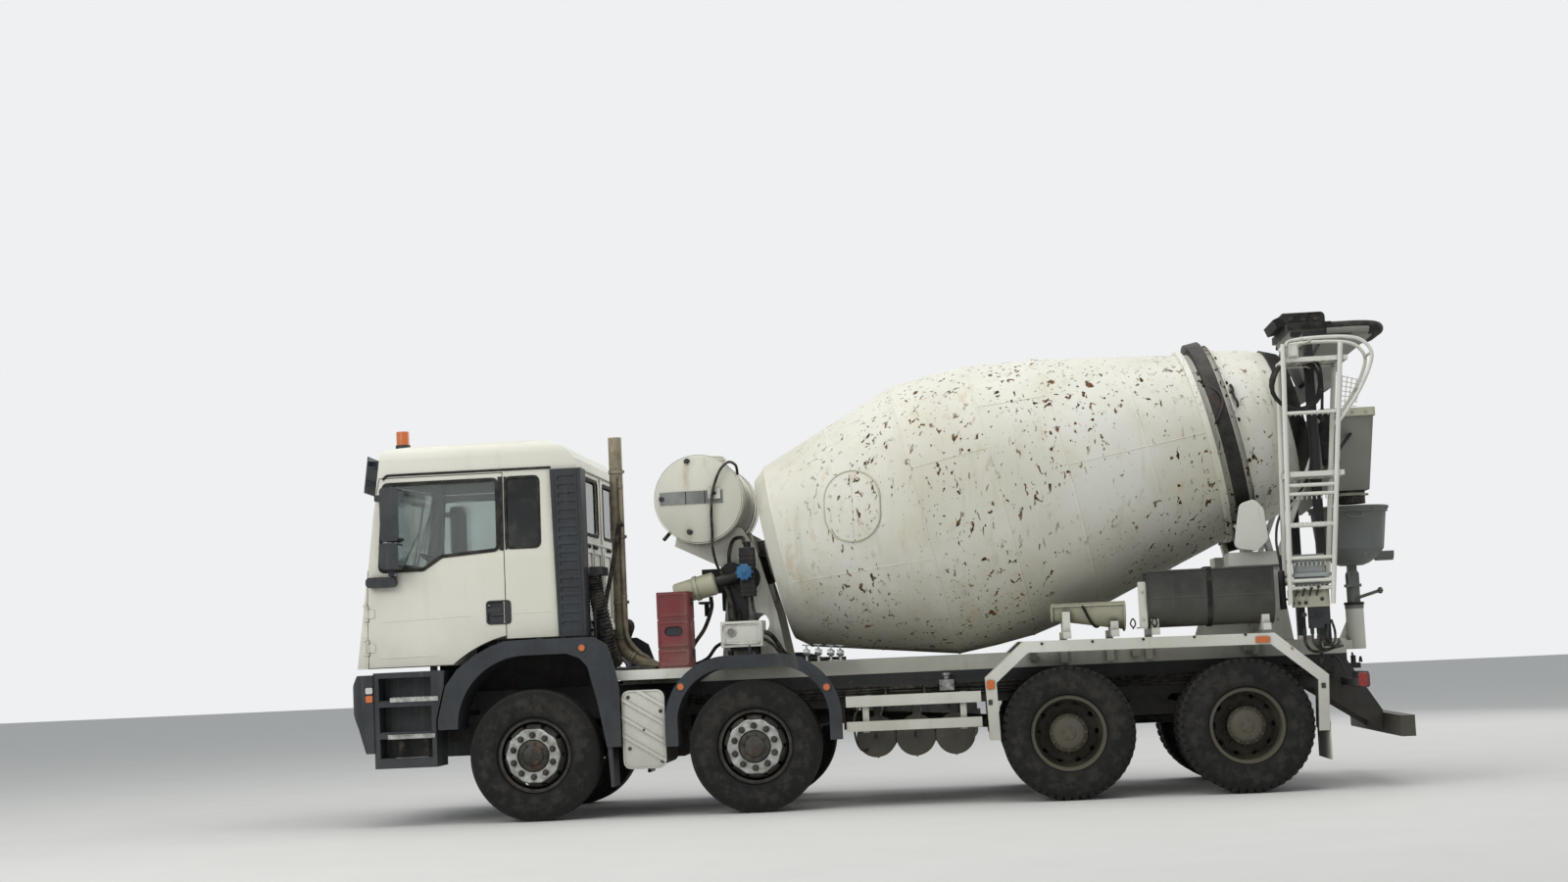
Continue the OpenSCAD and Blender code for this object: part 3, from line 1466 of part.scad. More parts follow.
module chute_turntable() {
    color("#6f7375") {
        translate([chute_x, 0, socket_z[0]]) cylinder(h = socket_z[1] - socket_z[0] + 20, r = swivel_r);
        translate([chute_x, 0, socket_z[1] + seat]) cylinder(h = 30, r = 78);
        translate([chute_x, 0, socket_z[1] + 20]) cylinder(h = hinge_z - 95 - socket_z[1], r = 55);
        box([chute_x - 60, chute_x + 60], [-fork_in - fork_t, fork_in + fork_t], [hinge_z - 100, hinge_z - 75]);
        both_sides() {
            box([chute_x - 45, chute_x + 45], [fork_in, fork_in + fork_t], [hinge_z - 76, hinge_z]);
            along_y(chute_x, fork_in, hinge_z) cylinder(h = fork_t, r = 45);
        }
        along_y(chute_x, -fork_in - fork_t - 8, hinge_z) cylinder(h = 2 * (fork_in + fork_t + 8), r = hinge_r);
        rod([chute_x, 40, 1500], [chute_x - 190, 190, 1560], 14);
        translate([chute_x - 190, 190, 1560]) sphere(r = 24);
    }
}

bowl_low = 1780;
bowl_top = 2270;

// The bowl's wall section; t is taken off its outside
module bowl_section(t) {
    polygon([[0, bowl_low + t], [95, bowl_low + t], [148 - t / 2, bowl_low + 20 + t],
        [225 - t, bowl_low + 70 + t], [275 - t, bowl_low + 135], [315 - t, bowl_top], [315 - t, bowl_top + t],
        [0, bowl_top + t]]);
}

module swing_chute() {
    lip_z = bowl_low + 110;
    color("#7b7f80") difference() {
        union() {
            translate([chute_x, 0, 0]) rotate_extrude() {
                bowl_section(0);
                polygon([[309, bowl_top - 45], [325, bowl_top - 45], [325, bowl_top], [309, bowl_top]]);
            }
            translate([chute_x - 200, 0, lip_z]) rotate([0, -90, 0]) difference() {
                cylinder(h = 145, r = 78);
                translate([0, -100, -1]) cube([100, 200, 150]);
            }
            along_y(chute_x, -fork_in + 5, hinge_z) cylinder(h = 2 * fork_in - 10, r = 35);
            box([chute_x - 35, chute_x + 35], [-fork_in + 5, fork_in - 5], [hinge_z, bowl_low + 2]);
        }
        translate([chute_x, 0, 0]) rotate_extrude() bowl_section(5);
        translate([chute_x - 150, 0, lip_z]) rotate([0, -90, 0]) cylinder(h = 200, r = 72);
        along_y(chute_x, -fork_in, hinge_z) cylinder(h = 2 * fork_in, r = hinge_r + fit);
    }
}

frame_rails();
bumper_and_steps();
lamps();
fenders();
front_axles();
rear_axles();
engine_and_gearbox();
exhaust_stack();
side_boxes();
fuel_tank();
air_tanks();
side_guards();
rear_mudguards();
subframe();
drum_pedestals();
drum_drive();
water_tank();
red_box();
charge_hopper();
collector();
ladder();
control_box();
stored_chutes();
cab_shell();
cab_glass();
front_grille();
cab_interior();
cab_trim();
on_side(1) door();  // door_left
on_side(-1) door();  // door_right
on_side(1) door_glass();  // door_glass_left
on_side(-1) door_glass();  // door_glass_right
on_side(1) mirrors();  // mirrors_left
on_side(-1) mirrors();  // mirrors_right
knuckle(ax1, 1);  // knuckle_1_left
knuckle(ax1, -1);  // knuckle_1_right
knuckle(ax2, 1);  // knuckle_2_left
knuckle(ax2, -1);  // knuckle_2_right
at_wheel(ax1, front_wheel_y, 1) tyre();  // tyre_1_left
at_wheel(ax1, front_wheel_y, -1) tyre();  // tyre_1_right
at_wheel(ax2, front_wheel_y, 1) tyre();  // tyre_2_left
at_wheel(ax2, front_wheel_y, -1) tyre();  // tyre_2_right
at_wheel(ax3, rear_wheel_y, 1) twin_tyres();  // tyres_3_left
at_wheel(ax3, rear_wheel_y, -1) twin_tyres();  // tyres_3_right
at_wheel(ax4, rear_wheel_y, 1) twin_tyres();  // tyres_4_left
at_wheel(ax4, rear_wheel_y, -1) twin_tyres();  // tyres_4_right
at_wheel(ax1, front_wheel_y, 1) front_rim();  // rim_1_left
at_wheel(ax1, front_wheel_y, -1) front_rim();  // rim_1_right
at_wheel(ax2, front_wheel_y, 1) front_rim();  // rim_2_left
at_wheel(ax2, front_wheel_y, -1) front_rim();  // rim_2_right
at_wheel(ax3, rear_wheel_y, 1) rear_rims();  // rims_3_left
at_wheel(ax3, rear_wheel_y, -1) rear_rims();  // rims_3_right
at_wheel(ax4, rear_wheel_y, 1) rear_rims();  // rims_4_left
at_wheel(ax4, rear_wheel_y, -1) rear_rims();  // rims_4_right
drum();
roller_track();
roller(1);  // roller_left
roller(-1);  // roller_right
chute_turntable();
swing_chute();
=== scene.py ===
import bpy
import bmesh
import math
from mathutils import Matrix, Vector


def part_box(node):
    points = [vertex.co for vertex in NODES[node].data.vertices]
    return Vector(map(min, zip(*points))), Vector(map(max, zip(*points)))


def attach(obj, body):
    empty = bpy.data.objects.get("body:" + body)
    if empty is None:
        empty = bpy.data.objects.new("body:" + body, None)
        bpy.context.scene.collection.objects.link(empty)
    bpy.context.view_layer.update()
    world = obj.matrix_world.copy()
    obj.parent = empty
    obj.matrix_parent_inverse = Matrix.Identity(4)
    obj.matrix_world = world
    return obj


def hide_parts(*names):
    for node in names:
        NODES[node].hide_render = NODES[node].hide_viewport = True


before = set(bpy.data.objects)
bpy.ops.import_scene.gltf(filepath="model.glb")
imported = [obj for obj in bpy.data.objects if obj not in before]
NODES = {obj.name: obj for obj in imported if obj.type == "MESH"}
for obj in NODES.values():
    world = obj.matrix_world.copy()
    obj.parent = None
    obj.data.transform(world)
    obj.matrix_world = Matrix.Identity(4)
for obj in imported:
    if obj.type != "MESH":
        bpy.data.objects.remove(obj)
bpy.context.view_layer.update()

# Places in the frame, in metres; the hub stands as high as the tyre's radius
AX = [2.8225, 1.0275, -1.4775, -2.8775]
A1 = AX[0]
HUB = 0.53
TILT = math.radians(12)
DRUM = Vector((-0.4015, 0, 2.341))
AXIS = Vector((-math.cos(TILT), 0, math.sin(TILT)))
DRUM_UP = Vector((math.sin(TILT), 0, math.cos(TILT)))
CHUTE_X = -3.9675
TANK_X, TANK_Z = 1.4525, 2.57
STACK_X, STACK_Y = 2.1715, 0.5
THIN_PIPE_X, THIN_PIPE_Y = 2.1275, 0.575
STORED_Y, STORED_Z = 0.985, 1.536
SEAT_Y = 0.62
LADDER_YS = (1.105, 0.8)
CAB_BACK_X, BUMPER_X = 2.3975, 4.3275
HATCH_X, HATCH_Z = A1 - 2.656, 2.432
STUD_CIRCLE = 0.1675
BOTH = (("left", 1), ("right", -1))
UP, LEFT, AHEAD = (0, 0, 1), (0, 1, 0), (1, 0, 0)
FULL = 2 * math.pi


# Materials
def rgb(code):
    """Linear colour of a hexadecimal sRGB code."""
    parts = [int(code[i:i + 2], 16) / 255 for i in (1, 3, 5)]
    return tuple(v / 12.92 if v <= 0.04045 else ((v + 0.055) / 1.055) ** 2.4 for v in parts) + (1,)


class Shader:
    """A Principled material whose nodes work on places in the row frame."""

    def __init__(self, name):
        self.material = bpy.data.materials.new(name)
        self.material.use_nodes = True
        self.tree = self.material.node_tree
        self.bsdf = self.tree.nodes["Principled BSDF"]
        self.place = self.tree.nodes.new("ShaderNodeTexCoord").outputs["Object"]

    def put(self, socket, value):
        if isinstance(value, bpy.types.NodeSocket):
            self.tree.links.new(value, socket)
        elif isinstance(value, str):
            socket.default_value = rgb(value)
        else:
            socket.default_value = value

    def set(self, **values):
        for key, value in values.items():
            self.put(self.bsdf.inputs[key.replace("_", " ")], value)

    def node(self, kind, **values):
        """A new node with some of its inputs set."""
        n = self.tree.nodes.new("ShaderNode" + kind)
        for key, value in values.items():
            self.put(n.inputs[key.replace("_", " ")], value)
        return n

    def noise(self, scale, detail, rough=0.6, stretch=(1, 1, 1), shift=0.0, twist=0.0):
        moved = self.node("Mapping", Vector=self.place, Scale=stretch,
                          Location=(shift, shift * 1.7, shift * 0.6)).outputs[0]
        return self.node("TexNoise", Vector=moved, Scale=scale, Detail=detail, Roughness=rough,
                         Distortion=twist).outputs["Fac"]

    def step(self, value, low, high):
        first, last = (0.0, 1.0) if low < high else (1.0, 0.0)
        n = self.node("MapRange", Value=value, From_Min=min(low, high), From_Max=max(low, high), To_Min=first,
                      To_Max=last)
        n.interpolation_type = "SMOOTHSTEP"
        return n.outputs["Result"]

    def calc(self, how, a, b=0.0, clamp=False):
        n = self.node("Math")
        n.operation = how
        n.use_clamp = clamp
        self.put(n.inputs[0], a)
        self.put(n.inputs[1], b)
        return n.outputs[0]

    def times(self, *values):
        total = values[0]
        for value in values[1:]:
            total = self.calc("MULTIPLY", total, value, True)
        return total

    def mix(self, amount, a, b, blend="MIX"):
        n = self.node("Mix")
        n.data_type = "RGBA"
        n.blend_type = blend
        self.put(n.inputs[0], amount)
        self.put(n.inputs[6], a)
        self.put(n.inputs[7], b)
        return n.outputs[2]

    def blend(self, amount, a, b):
        n = self.node("Mix")
        self.put(n.inputs[0], amount)
        self.put(n.inputs[2], a)
        self.put(n.inputs[3], b)
        return n.outputs[0]

    def axis(self, name, source=None):
        return self.node("SeparateXYZ", Vector=source or self.place).outputs[name]

    def up(self):
        return self.axis("Z", self.node("NewGeometry").outputs["Normal"])

    # Painted shade: ambient occlusion gives a mask that is 1 in corners and recesses, where shade falls
    def corners(self, reach=0.05):
        n = self.node("AmbientOcclusion", Distance=reach)
        n.samples = 6
        return self.step(n.outputs["AO"], 0.98, 0.55)

    def bump(self, height, depth, strength):
        n = self.node("Bump", Strength=strength, Distance=depth, Height=height)
        if self.bsdf.inputs["Normal"].is_linked:
            self.put(n.inputs["Normal"], self.bsdf.inputs["Normal"].links[0].from_socket)
        self.put(self.bsdf.inputs["Normal"], n.outputs[0])


def paint(name, base, rough, fade, dirt, dirt_colour, low, streaks, streak_colour, rust, rust_scale, corner,
          dust_up, seed, wave=0.004):
    """Painted metal: uneven tone, streaks, dust on top faces and low down, rust specks, and painted shade
    with grime in corners.
    """
    s = Shader(name)
    big = s.noise(0.9, 3, 0.5, shift=seed)
    fine = s.noise(38, 5, 0.7, shift=seed + 3)
    darker = s.mix(1.0, base, (1 - fade, 1 - fade, 1 - fade * 1.25, 1), "MULTIPLY")
    colour = s.mix(s.step(big, 0.35, 0.68), base, darker)
    colour = s.mix(s.times(s.step(fine, 0.45, 0.8), 0.25), colour, darker)
    runs = s.noise(5.0, 5, 0.62, (1.6, 1.6, 0.12), seed + 5)
    run = s.times(s.step(runs, 0.52, 0.74), s.step(s.noise(1.6, 2, shift=seed + 8), 0.38, 0.62), streaks)
    colour = s.mix(run, colour, streak_colour)
    height = s.axis("Z")
    cloud = s.noise(3.2, 6, 0.68, shift=seed + 11)
    grime = s.times(s.step(s.calc("ADD", height, s.calc("MULTIPLY", cloud, -0.9)), low[0] - 0.45,
                           low[1] - 0.45), dirt)
    colour = s.mix(grime, colour, dirt_colour)
    top = s.times(s.step(s.up(), 0.55, 0.95), s.step(cloud, 0.3, 0.65), dust_up)
    colour = s.mix(top, colour, dirt_colour)
    # Painted shade with grime: corners and recesses found by ambient occlusion are darkened towards a dark
    # grime colour
    corner_shade_and_grime = s.times(s.corners(), s.step(fine, 0.2, 0.6), corner)
    colour = s.mix(corner_shade_and_grime, colour, s.mix(0.35, dirt_colour, "#2e2b26"))
    specks = s.noise(rust_scale, 9, 0.74, shift=seed + 17)
    patch = s.step(s.noise(rust_scale * 0.22, 3, shift=seed + 23), 0.42, 0.62)
    spot = s.times(s.step(specks, 0.655, 0.7), patch)
    halo = s.times(s.step(specks, 0.6, 0.7), patch, 0.45)
    tint = s.mix(s.noise(60, 4), "#4a2a17", "#8a5326")
    colour = s.mix(s.times(halo, rust * 1.6), colour, "#a8875c")
    colour = s.mix(s.times(spot, min(1.0, rust * 3.2)), colour, tint)
    gloss = s.blend(s.calc("MAXIMUM", grime, s.calc("MAXIMUM", run, top)), rough, 0.86)
    gloss = s.blend(s.step(fine, 0.3, 0.8), gloss, s.calc("ADD", gloss, 0.1))
    s.set(Base_Color=colour, Roughness=s.blend(spot, gloss, 0.9), Specular_IOR_Level=0.45)
    s.bump(s.noise(2.4, 3, 0.5, shift=seed + 31), wave, 0.35)
    s.bump(s.noise(420, 2, 0.5), 0.0004, 0.25)
    s.bump(spot, 0.0012, 0.5)
    return s.material


def metal(name, base, dark, rough, metallic, rust, scale, dusty, dust="#7a7468", seed=0.0):
    """Bare or blackened metal: blotches, rust bloom, dust on top, fine pitting, painted shade in corners."""
    s = Shader(name)
    blot = s.noise(scale, 7, 0.68, shift=seed)
    fine = s.noise(120, 4, 0.7, shift=seed + 2)
    colour = s.mix(s.step(blot, 0.36, 0.66), base, dark)
    colour = s.mix(s.times(s.step(fine, 0.45, 0.75), 0.35), colour, dark)
    bloom = s.times(s.step(s.noise(scale * 0.6, 8, 0.72, shift=seed + 7), 0.53, 0.66), rust)
    colour = s.mix(bloom, colour, s.mix(s.noise(45, 5), "#5a3419", "#8b5a30"))
    top = s.times(s.step(s.up(), 0.2, 0.95), s.step(s.noise(5, 5, shift=seed + 9), 0.3, 0.6), dusty)
    low = s.times(s.step(s.axis("Z"), 1.1, 0.3), s.step(s.noise(4, 6, shift=seed + 13), 0.35, 0.6),
                  dusty * 0.8)
    mud = s.calc("MAXIMUM", top, low)
    colour = s.mix(mud, colour, dust)
    # Painted shade: corners and recesses found by ambient occlusion are darkened towards near black
    colour = s.mix(s.times(s.corners(0.04), 0.55), colour, "#15130f")
    bare = s.calc("ADD", s.calc("MULTIPLY", fine, 0.25), rough - 0.12)
    covered = s.calc("MAXIMUM", bloom, mud)
    s.set(Base_Color=colour, Metallic=s.blend(covered, metallic, 0.0), Roughness=s.blend(covered, bare, 0.9))
    s.bump(blot, 0.0015, 0.35)
    s.bump(fine, 0.0006, 0.4)
    return s.material


def plastic(name, base, worn, rough, dust, dust_colour, grain, low, seed=0.0):
    """Moulded grey plastic: grain, chalky fading, dust rising from below, scuffs."""
    s = Shader(name)
    cloud = s.noise(4.0, 6, 0.66, shift=seed)
    colour = s.mix(s.step(cloud, 0.36, 0.66), base, worn)
    scuff = s.noise(16, 8, 0.76, (1, 1, 0.45), seed + 4)
    colour = s.mix(s.times(s.step(scuff, 0.6, 0.72), 0.4), colour, worn)
    rise = s.step(s.calc("ADD", s.axis("Z"), s.calc("MULTIPLY", cloud, -0.8)), low[0] - 0.4, low[1] - 0.4)
    top = s.times(s.step(s.up(), 0.3, 0.95), s.step(scuff, 0.35, 0.6))
    dirt = s.times(s.calc("MAXIMUM", rise, top), dust)
    colour = s.mix(dirt, colour, dust_colour)
    runs = s.times(s.step(s.noise(7, 4, 0.6, (1.4, 1.4, 0.1), seed + 9), 0.56, 0.72), 0.35)
    colour = s.mix(runs, colour, dust_colour)
    bare = s.calc("ADD", s.calc("MULTIPLY", scuff, 0.2), rough - 0.1)
    s.set(Base_Color=colour, Roughness=s.blend(dirt, bare, 0.92))
    s.bump(s.noise(grain, 2, 0.5), 0.0005, 0.35)
    s.bump(scuff, 0.0008, 0.2)
    return s.material


def rubber(name, base="#1b1b19", dust_colour="#6d665a", dust=0.55, seed=0.0):
    """Black rubber: dull patches and road dust."""
    s = Shader(name)
    cloud = s.noise(11, 7, 0.7, shift=seed)
    fine = s.noise(160, 4, 0.65, shift=seed + 1)
    colour = s.mix(s.step(cloud, 0.4, 0.7), base, "#2c2b28")
    mud = s.times(s.step(cloud, 0.42, 0.62), dust)
    colour = s.mix(mud, colour, dust_colour)
    colour = s.mix(s.times(s.step(fine, 0.5, 0.8), 0.3), colour, "#3a3833")
    bare = s.calc("ADD", s.calc("MULTIPLY", fine, 0.2), 0.62)
    s.set(Base_Color=colour, Roughness=s.blend(mud, bare, 0.95), Specular_IOR_Level=0.3)
    s.bump(fine, 0.0006, 0.5)
    return s.material


def tyre_rubber():
    """Sidewall with fine moulded rings and grey road dust; the tread is scrubbed paler."""
    s = Shader("tyre_rubber")
    x, z = s.axis("X"), s.axis("Z")
    radius = s.calc("SQRT", s.calc("ADD", s.calc("MULTIPLY", x, x), s.calc("MULTIPLY", z, z)))
    cloud = s.noise(9, 7, 0.7)
    fine = s.noise(150, 4, 0.65)
    colour = s.mix(s.step(cloud, 0.35, 0.7), "#131312", "#1e1d1b")
    worn = s.step(radius, 0.505, 0.522)
    colour = s.mix(s.times(worn, 0.55), colour, "#37342e")
    band = s.times(s.step(radius, 0.3, 0.36), s.step(radius, 0.5, 0.44), s.step(cloud, 0.4, 0.64), 0.24)
    colour = s.mix(band, colour, "#5b564b")
    splash = s.times(s.step(s.noise(22, 6, 0.72, shift=4), 0.56, 0.68), 0.12)
    colour = s.mix(splash, colour, "#6f685a")
    s.set(Base_Color=colour, Roughness=s.calc("ADD", s.calc("MULTIPLY", cloud, 0.25), 0.66),
          Specular_IOR_Level=0.28)
    ring = s.step(s.calc("SINE", s.calc("MULTIPLY", radius, 900.0)), 0.2, 0.9)
    s.bump(s.times(ring, s.step(radius, 0.33, 0.35), s.step(radius, 0.45, 0.43)), 0.0008, 0.5)
    s.bump(fine, 0.0005, 0.4)
    return s.material


def drum_paint():
    """Off-white drum: cement film low down, yellowish runs, many brown chips thickest over the rear half."""
    s = Shader("drum_paint")
    x, z = s.axis("X"), s.axis("Z")
    big = s.noise(0.8, 4, 0.55)
    cloud = s.noise(2.6, 7, 0.68, shift=2)
    colour = s.mix(s.step(big, 0.34, 0.66), "#dcdacf", "#cbc8b8")
    colour = s.mix(s.times(s.step(cloud, 0.5, 0.72), 0.45), colour, "#d0c8ac")
    below = s.step(s.calc("ADD", z, s.calc("MULTIPLY", cloud, -0.7)), 1.75, 0.95)
    colour = s.mix(s.times(below, 0.65), colour, "#9c9988")
    runs = s.times(s.step(s.noise(6, 5, 0.62, (1.5, 1.5, 0.1), 5), 0.54, 0.74), 0.35)
    colour = s.mix(runs, colour, "#b4ab90")
    where = s.times(s.step(s.noise(1.1, 3, shift=9), 0.4, 0.52), s.step(x, 0.95, 0.05))
    flecks = s.noise(15, 3, 0.55, (1.3, 1.3, 0.6), 12, 0.6)
    chip = s.times(s.step(flecks, 0.622, 0.635), where)
    small = s.times(s.step(s.noise(38, 2, 0.5, (1, 1, 0.6), 15), 0.68, 0.694),
                    s.step(s.noise(1.5, 3, shift=19), 0.42, 0.55), s.step(x, 1.0, 0.2))
    halo = s.times(s.step(flecks, 0.6, 0.65), where, 0.35)
    colour = s.mix(halo, colour, "#bfa677")
    brown = s.mix(s.step(s.noise(30, 4, shift=3), 0.4, 0.6), "#2b1c10", "#6b4a28")
    colour = s.mix(s.calc("MAXIMUM", chip, small), colour, brown)
    stain = s.times(s.step(s.noise(3.4, 6, 0.7, (1.2, 1.2, 0.45), 27), 0.6, 0.7), 0.35)
    colour = s.mix(stain, colour, "#b99a62")
    s.set(Base_Color=colour, Roughness=s.blend(s.calc("MAXIMUM", below, chip), 0.5, 0.9),
          Specular_IOR_Level=0.4)
    s.bump(s.noise(1.7, 3, 0.5, shift=41), 0.012, 0.35)
    s.bump(s.calc("MAXIMUM", chip, small), 0.001, 0.5)
    s.bump(s.noise(300, 2), 0.0005, 0.3)
    return s.material


def glass(name, tint="#c9d2cf", rough=0.03, film=0.25):
    """Window glass under a film of dust."""
    s = Shader(name)
    dust = s.times(s.step(s.noise(5, 6, 0.7), 0.42, 0.75), film)
    s.set(Base_Color=s.mix(dust, tint, "#a9a596"), Roughness=s.blend(dust, rough, 0.6),
          Transmission_Weight=0.92, IOR=1.45)
    s.bump(s.noise(3, 2), 0.0006, 0.15)
    return s.material


def lens(name, base):
    """Ribbed plastic of a lamp."""
    s = Shader(name)
    ribs = s.calc("SINE", s.calc("MULTIPLY", s.axis("Z"), 900.0))
    cloud = s.noise(30, 5, 0.7)
    s.set(Base_Color=s.mix(s.times(s.step(cloud, 0.5, 0.8), 0.35), base, "#6e6558"),
          Roughness=s.blend(cloud, 0.12, 0.4), Coat_Weight=0.6)
    s.bump(ribs, 0.0006, 0.3)
    return s.material


def fabric(name, base, other):
    """Woven seat cloth of two threads."""
    s = Shader(name)
    weave = s.calc("MULTIPLY", s.calc("SINE", s.calc("MULTIPLY", s.axis("Y"), 2600.0)),
                   s.calc("SINE", s.calc("MULTIPLY", s.calc("ADD", s.axis("Z"), s.axis("X")), 2600.0)))
    cloud = s.noise(9, 5)
    colour = s.mix(s.step(weave, -0.5, 0.5), base, other)
    s.set(Base_Color=s.mix(s.times(s.step(cloud, 0.45, 0.7), 0.4), colour, "#5f5a50"), Roughness=0.95,
          Sheen_Weight=0.3)
    s.bump(weave, 0.0008, 0.5)
    return s.material


M = {
    "cab": paint("cab_paint", "#dfdccf", 0.3, 0.07, 0.35, "#8f8a7c", (1.75, 0.9), 0.22, "#a9a595", 0.05, 9,
                 0.5, dust_up=0.12, seed=1, wave=0.003),
    "white": paint("white_paint", "#dddcd2", 0.5, 0.16, 0.5, "#8a8576", (1.5, 0.3), 0.35, "#7d7261", 0.4, 9,
                   0.8, dust_up=0.35, seed=4),
    "tank": paint("tank_paint", "#d3d1c4", 0.45, 0.14, 0.4, "#8f8874", (2.3, 1.6), 0.55, "#a2926c", 0.4, 8,
                  0.6, dust_up=0.3, seed=9),
    "drum": drum_paint(),
    "slate": plastic("slate_coating", "#161b20", "#242a30", 0.5, 0.25, "#5c5a53", 600, (1.0, 0.15)),
    "blue": plastic("blue_cap", "#1d4f7c", "#2f6791", 0.4, 0.3, "#77736a", 700, (1.4, 0.6), 31),
    "plastic": plastic("dark_plastic", "#15181a", "#2a2d30", 0.5, 0.35, "#77736a", 800, (1.2, 0.4), 3),
    "navy": plastic("visor_plastic", "#1a2030", "#2c3446", 0.25, 0.15, "#77736a", 900, (1.2, 0.4), 6),
    "frame": paint("frame_paint", "#26282a", 0.6, 0.25, 0.6, "#6b6457", (1.2, 0.1), 0.4, "#5d564a", 0.45, 8,
                   0.4, dust_up=0.6, seed=12),
    "cast": metal("dark_castings", "#242524", "#141413", 0.62, 0.35, 0.12, 9, 0.5, seed=2),
    "hub": metal("oily_hub", "#3b3934", "#1c1a17", 0.5, 0.45, 0.3, 14, 0.45, "#6d675b", seed=5),
    "rusty": metal("tanned_steel", "#a0967f", "#736a58", 0.6, 0.25, 0.25, 6, 0.25, seed=8),
    "alu": metal("dull_aluminium", "#c3c5c3", "#97999a", 0.42, 0.75, 0.06, 8, 0.35, "#8c877b", seed=11),
    "rim_front": metal("sooty_rim", "#4a4945", "#26251f", 0.55, 0.45, 0.25, 13, 0.35, "#5a554b", seed=14),
    "bright": metal("worn_aluminium", "#bdbebb", "#85857f", 0.38, 0.7, 0.05, 16, 0.3, "#7d776b", seed=33),
    "mirror": metal("mirror_glass", "#c9d2d8", "#aeb8bf", 0.14, 0.95, 0.0, 4, 0.1, "#8a857a", seed=35),
    "seal": rubber("window_rubber", "#141413", "#5d584e", 0.2, 3),
    "strip": plastic("gauge_strip", "#6b6d6a", "#83847f", 0.3, 0.3, "#a39c88", 500, (2.4, 1.8), 12),
    "cream": paint("stained_cream", "#cbc8b4", 0.6, 0.25, 0.5, "#77725f", (2.0, 1.1), 0.6, "#5d5a48", 0.5, 9,
                   0.8, dust_up=0.6, seed=37, wave=0.012),
    "rim_rear": paint("rear_rim_paint", "#625f56", 0.6, 0.3, 0.5, "#57503f", (1.3, 0.2), 0.2, "#4c463b", 0.7,
                      16, 0.8, dust_up=0.4, seed=15),
    "red": paint("red_box_paint", "#7c2f33", 0.4, 0.3, 0.35, "#8a7f70", (1.5, 1.0), 0.35, "#a2877c", 0.02, 9,
                 0.6, dust_up=0.6, seed=18),
    "hopper": paint("hopper_paint", "#9b9c94", 0.65, 0.2, 0.4, "#8d8a80", (3.4, 1.6), 0.7, "#6d6b62", 0.5, 9,
                    0.7, dust_up=0.8, seed=21, wave=0.008),
    "box": paint("control_box_paint", "#a9b0b1", 0.5, 0.15, 0.4, "#8a877c", (1.8, 1.0), 0.5, "#77746a", 0.35,
                 9, 0.7, dust_up=0.4, seed=24),
    "stored": paint("stored_steel", "#2c2d2b", 0.5, 0.35, 0.4, "#6f6c62", (1.9, 1.3), 0.5, "#6a675d", 0.45,
                    6, 0.7, dust_up=0.45, seed=29, wave=0.006),
    "chute": paint("chute_paint", "#6f7370", 0.55, 0.3, 0.4, "#8d8a7f", (1.9, 1.0), 0.6, "#a3a096", 0.55, 7,
                   0.7, dust_up=0.7, seed=27, wave=0.01),
    "track": metal("track_steel", "#2f2d2a", "#161513", 0.5, 0.45, 0.12, 10, 0.1, seed=20),
    "rubber": rubber("black_rubber"),
    "tyre": tyre_rubber(),
    "glass": glass("clear_glass"),
    "dark_glass": glass("tinted_glass", "#1d2123", 0.04, 0.3),
    "amber": lens("amber_lens", "#c9641c"),
    "clear": lens("clear_lens", "#c9c8c2"),
    "red_lens": lens("red_lens", "#8c1d18"),
    "interior": plastic("cab_plastic", "#4b4e51", "#5a5d60", 0.7, 0.1, "#8a857a", 900, (1.2, 0.4), 8),
    "seat": fabric("seat_cloth", "#3c4046", "#2c2f35"),
}


# The finish of each CAD node
FINISH = {
    "frame_rails": "frame", "bumper_and_steps": "slate", "fenders": "slate", "front_axles": "cast",
    "rear_axles": "cast", "engine_and_gearbox": "cast", "exhaust_stack": "rusty", "side_boxes": "white",
    "fuel_tank": "alu", "air_tanks": "frame", "side_guards": "white", "rear_mudguards": "white",
    "subframe": "white", "drum_pedestals": "white", "drum_drive": "cast", "water_tank": "tank",
    "red_box": "red", "charge_hopper": "hopper", "collector": "hopper", "ladder": "white",
    "control_box": "box", "stored_chutes": "stored", "cab_shell": "cab", "cab_glass": "glass",
    "front_grille": "plastic", "cab_interior": "interior", "cab_trim": "slate", "drum": "drum",
    "roller_track": "track", "chute_turntable": "chute", "swing_chute": "chute", "lamps": "amber",
}
for side, sign in BOTH:
    FINISH.update({f"door_{side}": "cab", f"door_glass_{side}": "glass", f"mirrors_{side}": "plastic",
                   f"roller_{side}": "track"})
    for n in (1, 2):
        FINISH.update({f"knuckle_{n}_{side}": "cast", f"rim_{n}_{side}": "rim_front",
                       f"tyre_{n}_{side}": "rubber"})
    for n in (3, 4):
        FINISH.update({f"rims_{n}_{side}": "rim_rear", f"tyres_{n}_{side}": "rubber"})


# Building tools
def linked(name, data):
    """A new object in the scene."""
    ob = bpy.data.objects.new(name, data)
    bpy.context.scene.collection.objects.link(ob)
    return ob


def finished_mesh(name, bm, key, smooth):
    """Turns a bmesh into a mesh with a finish, smooth but for edges sharper than an angle in degrees."""
    mesh = bpy.data.meshes.new(name)
    bmesh.ops.recalc_face_normals(bm, faces=bm.faces)
    bm.to_mesh(mesh)
    bm.free()
    mesh.materials.append(M[key])
    mesh.shade_smooth()
    mesh.set_sharp_from_angle(angle=math.radians(smooth))
    return mesh


def add(name, bm, key, body="chassis", smooth=30, bevel=0.0):
    """Turns a bmesh into a piece with a finish, riding on a body."""
    ob = linked(name, finished_mesh(name, bm, key, smooth))
    if bevel:
        mod = ob.modifiers.new("edges", "BEVEL")
        mod.width = bevel
        mod.segments = 2
        mod.limit_method = "ANGLE"
    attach(ob, body)
    return ob


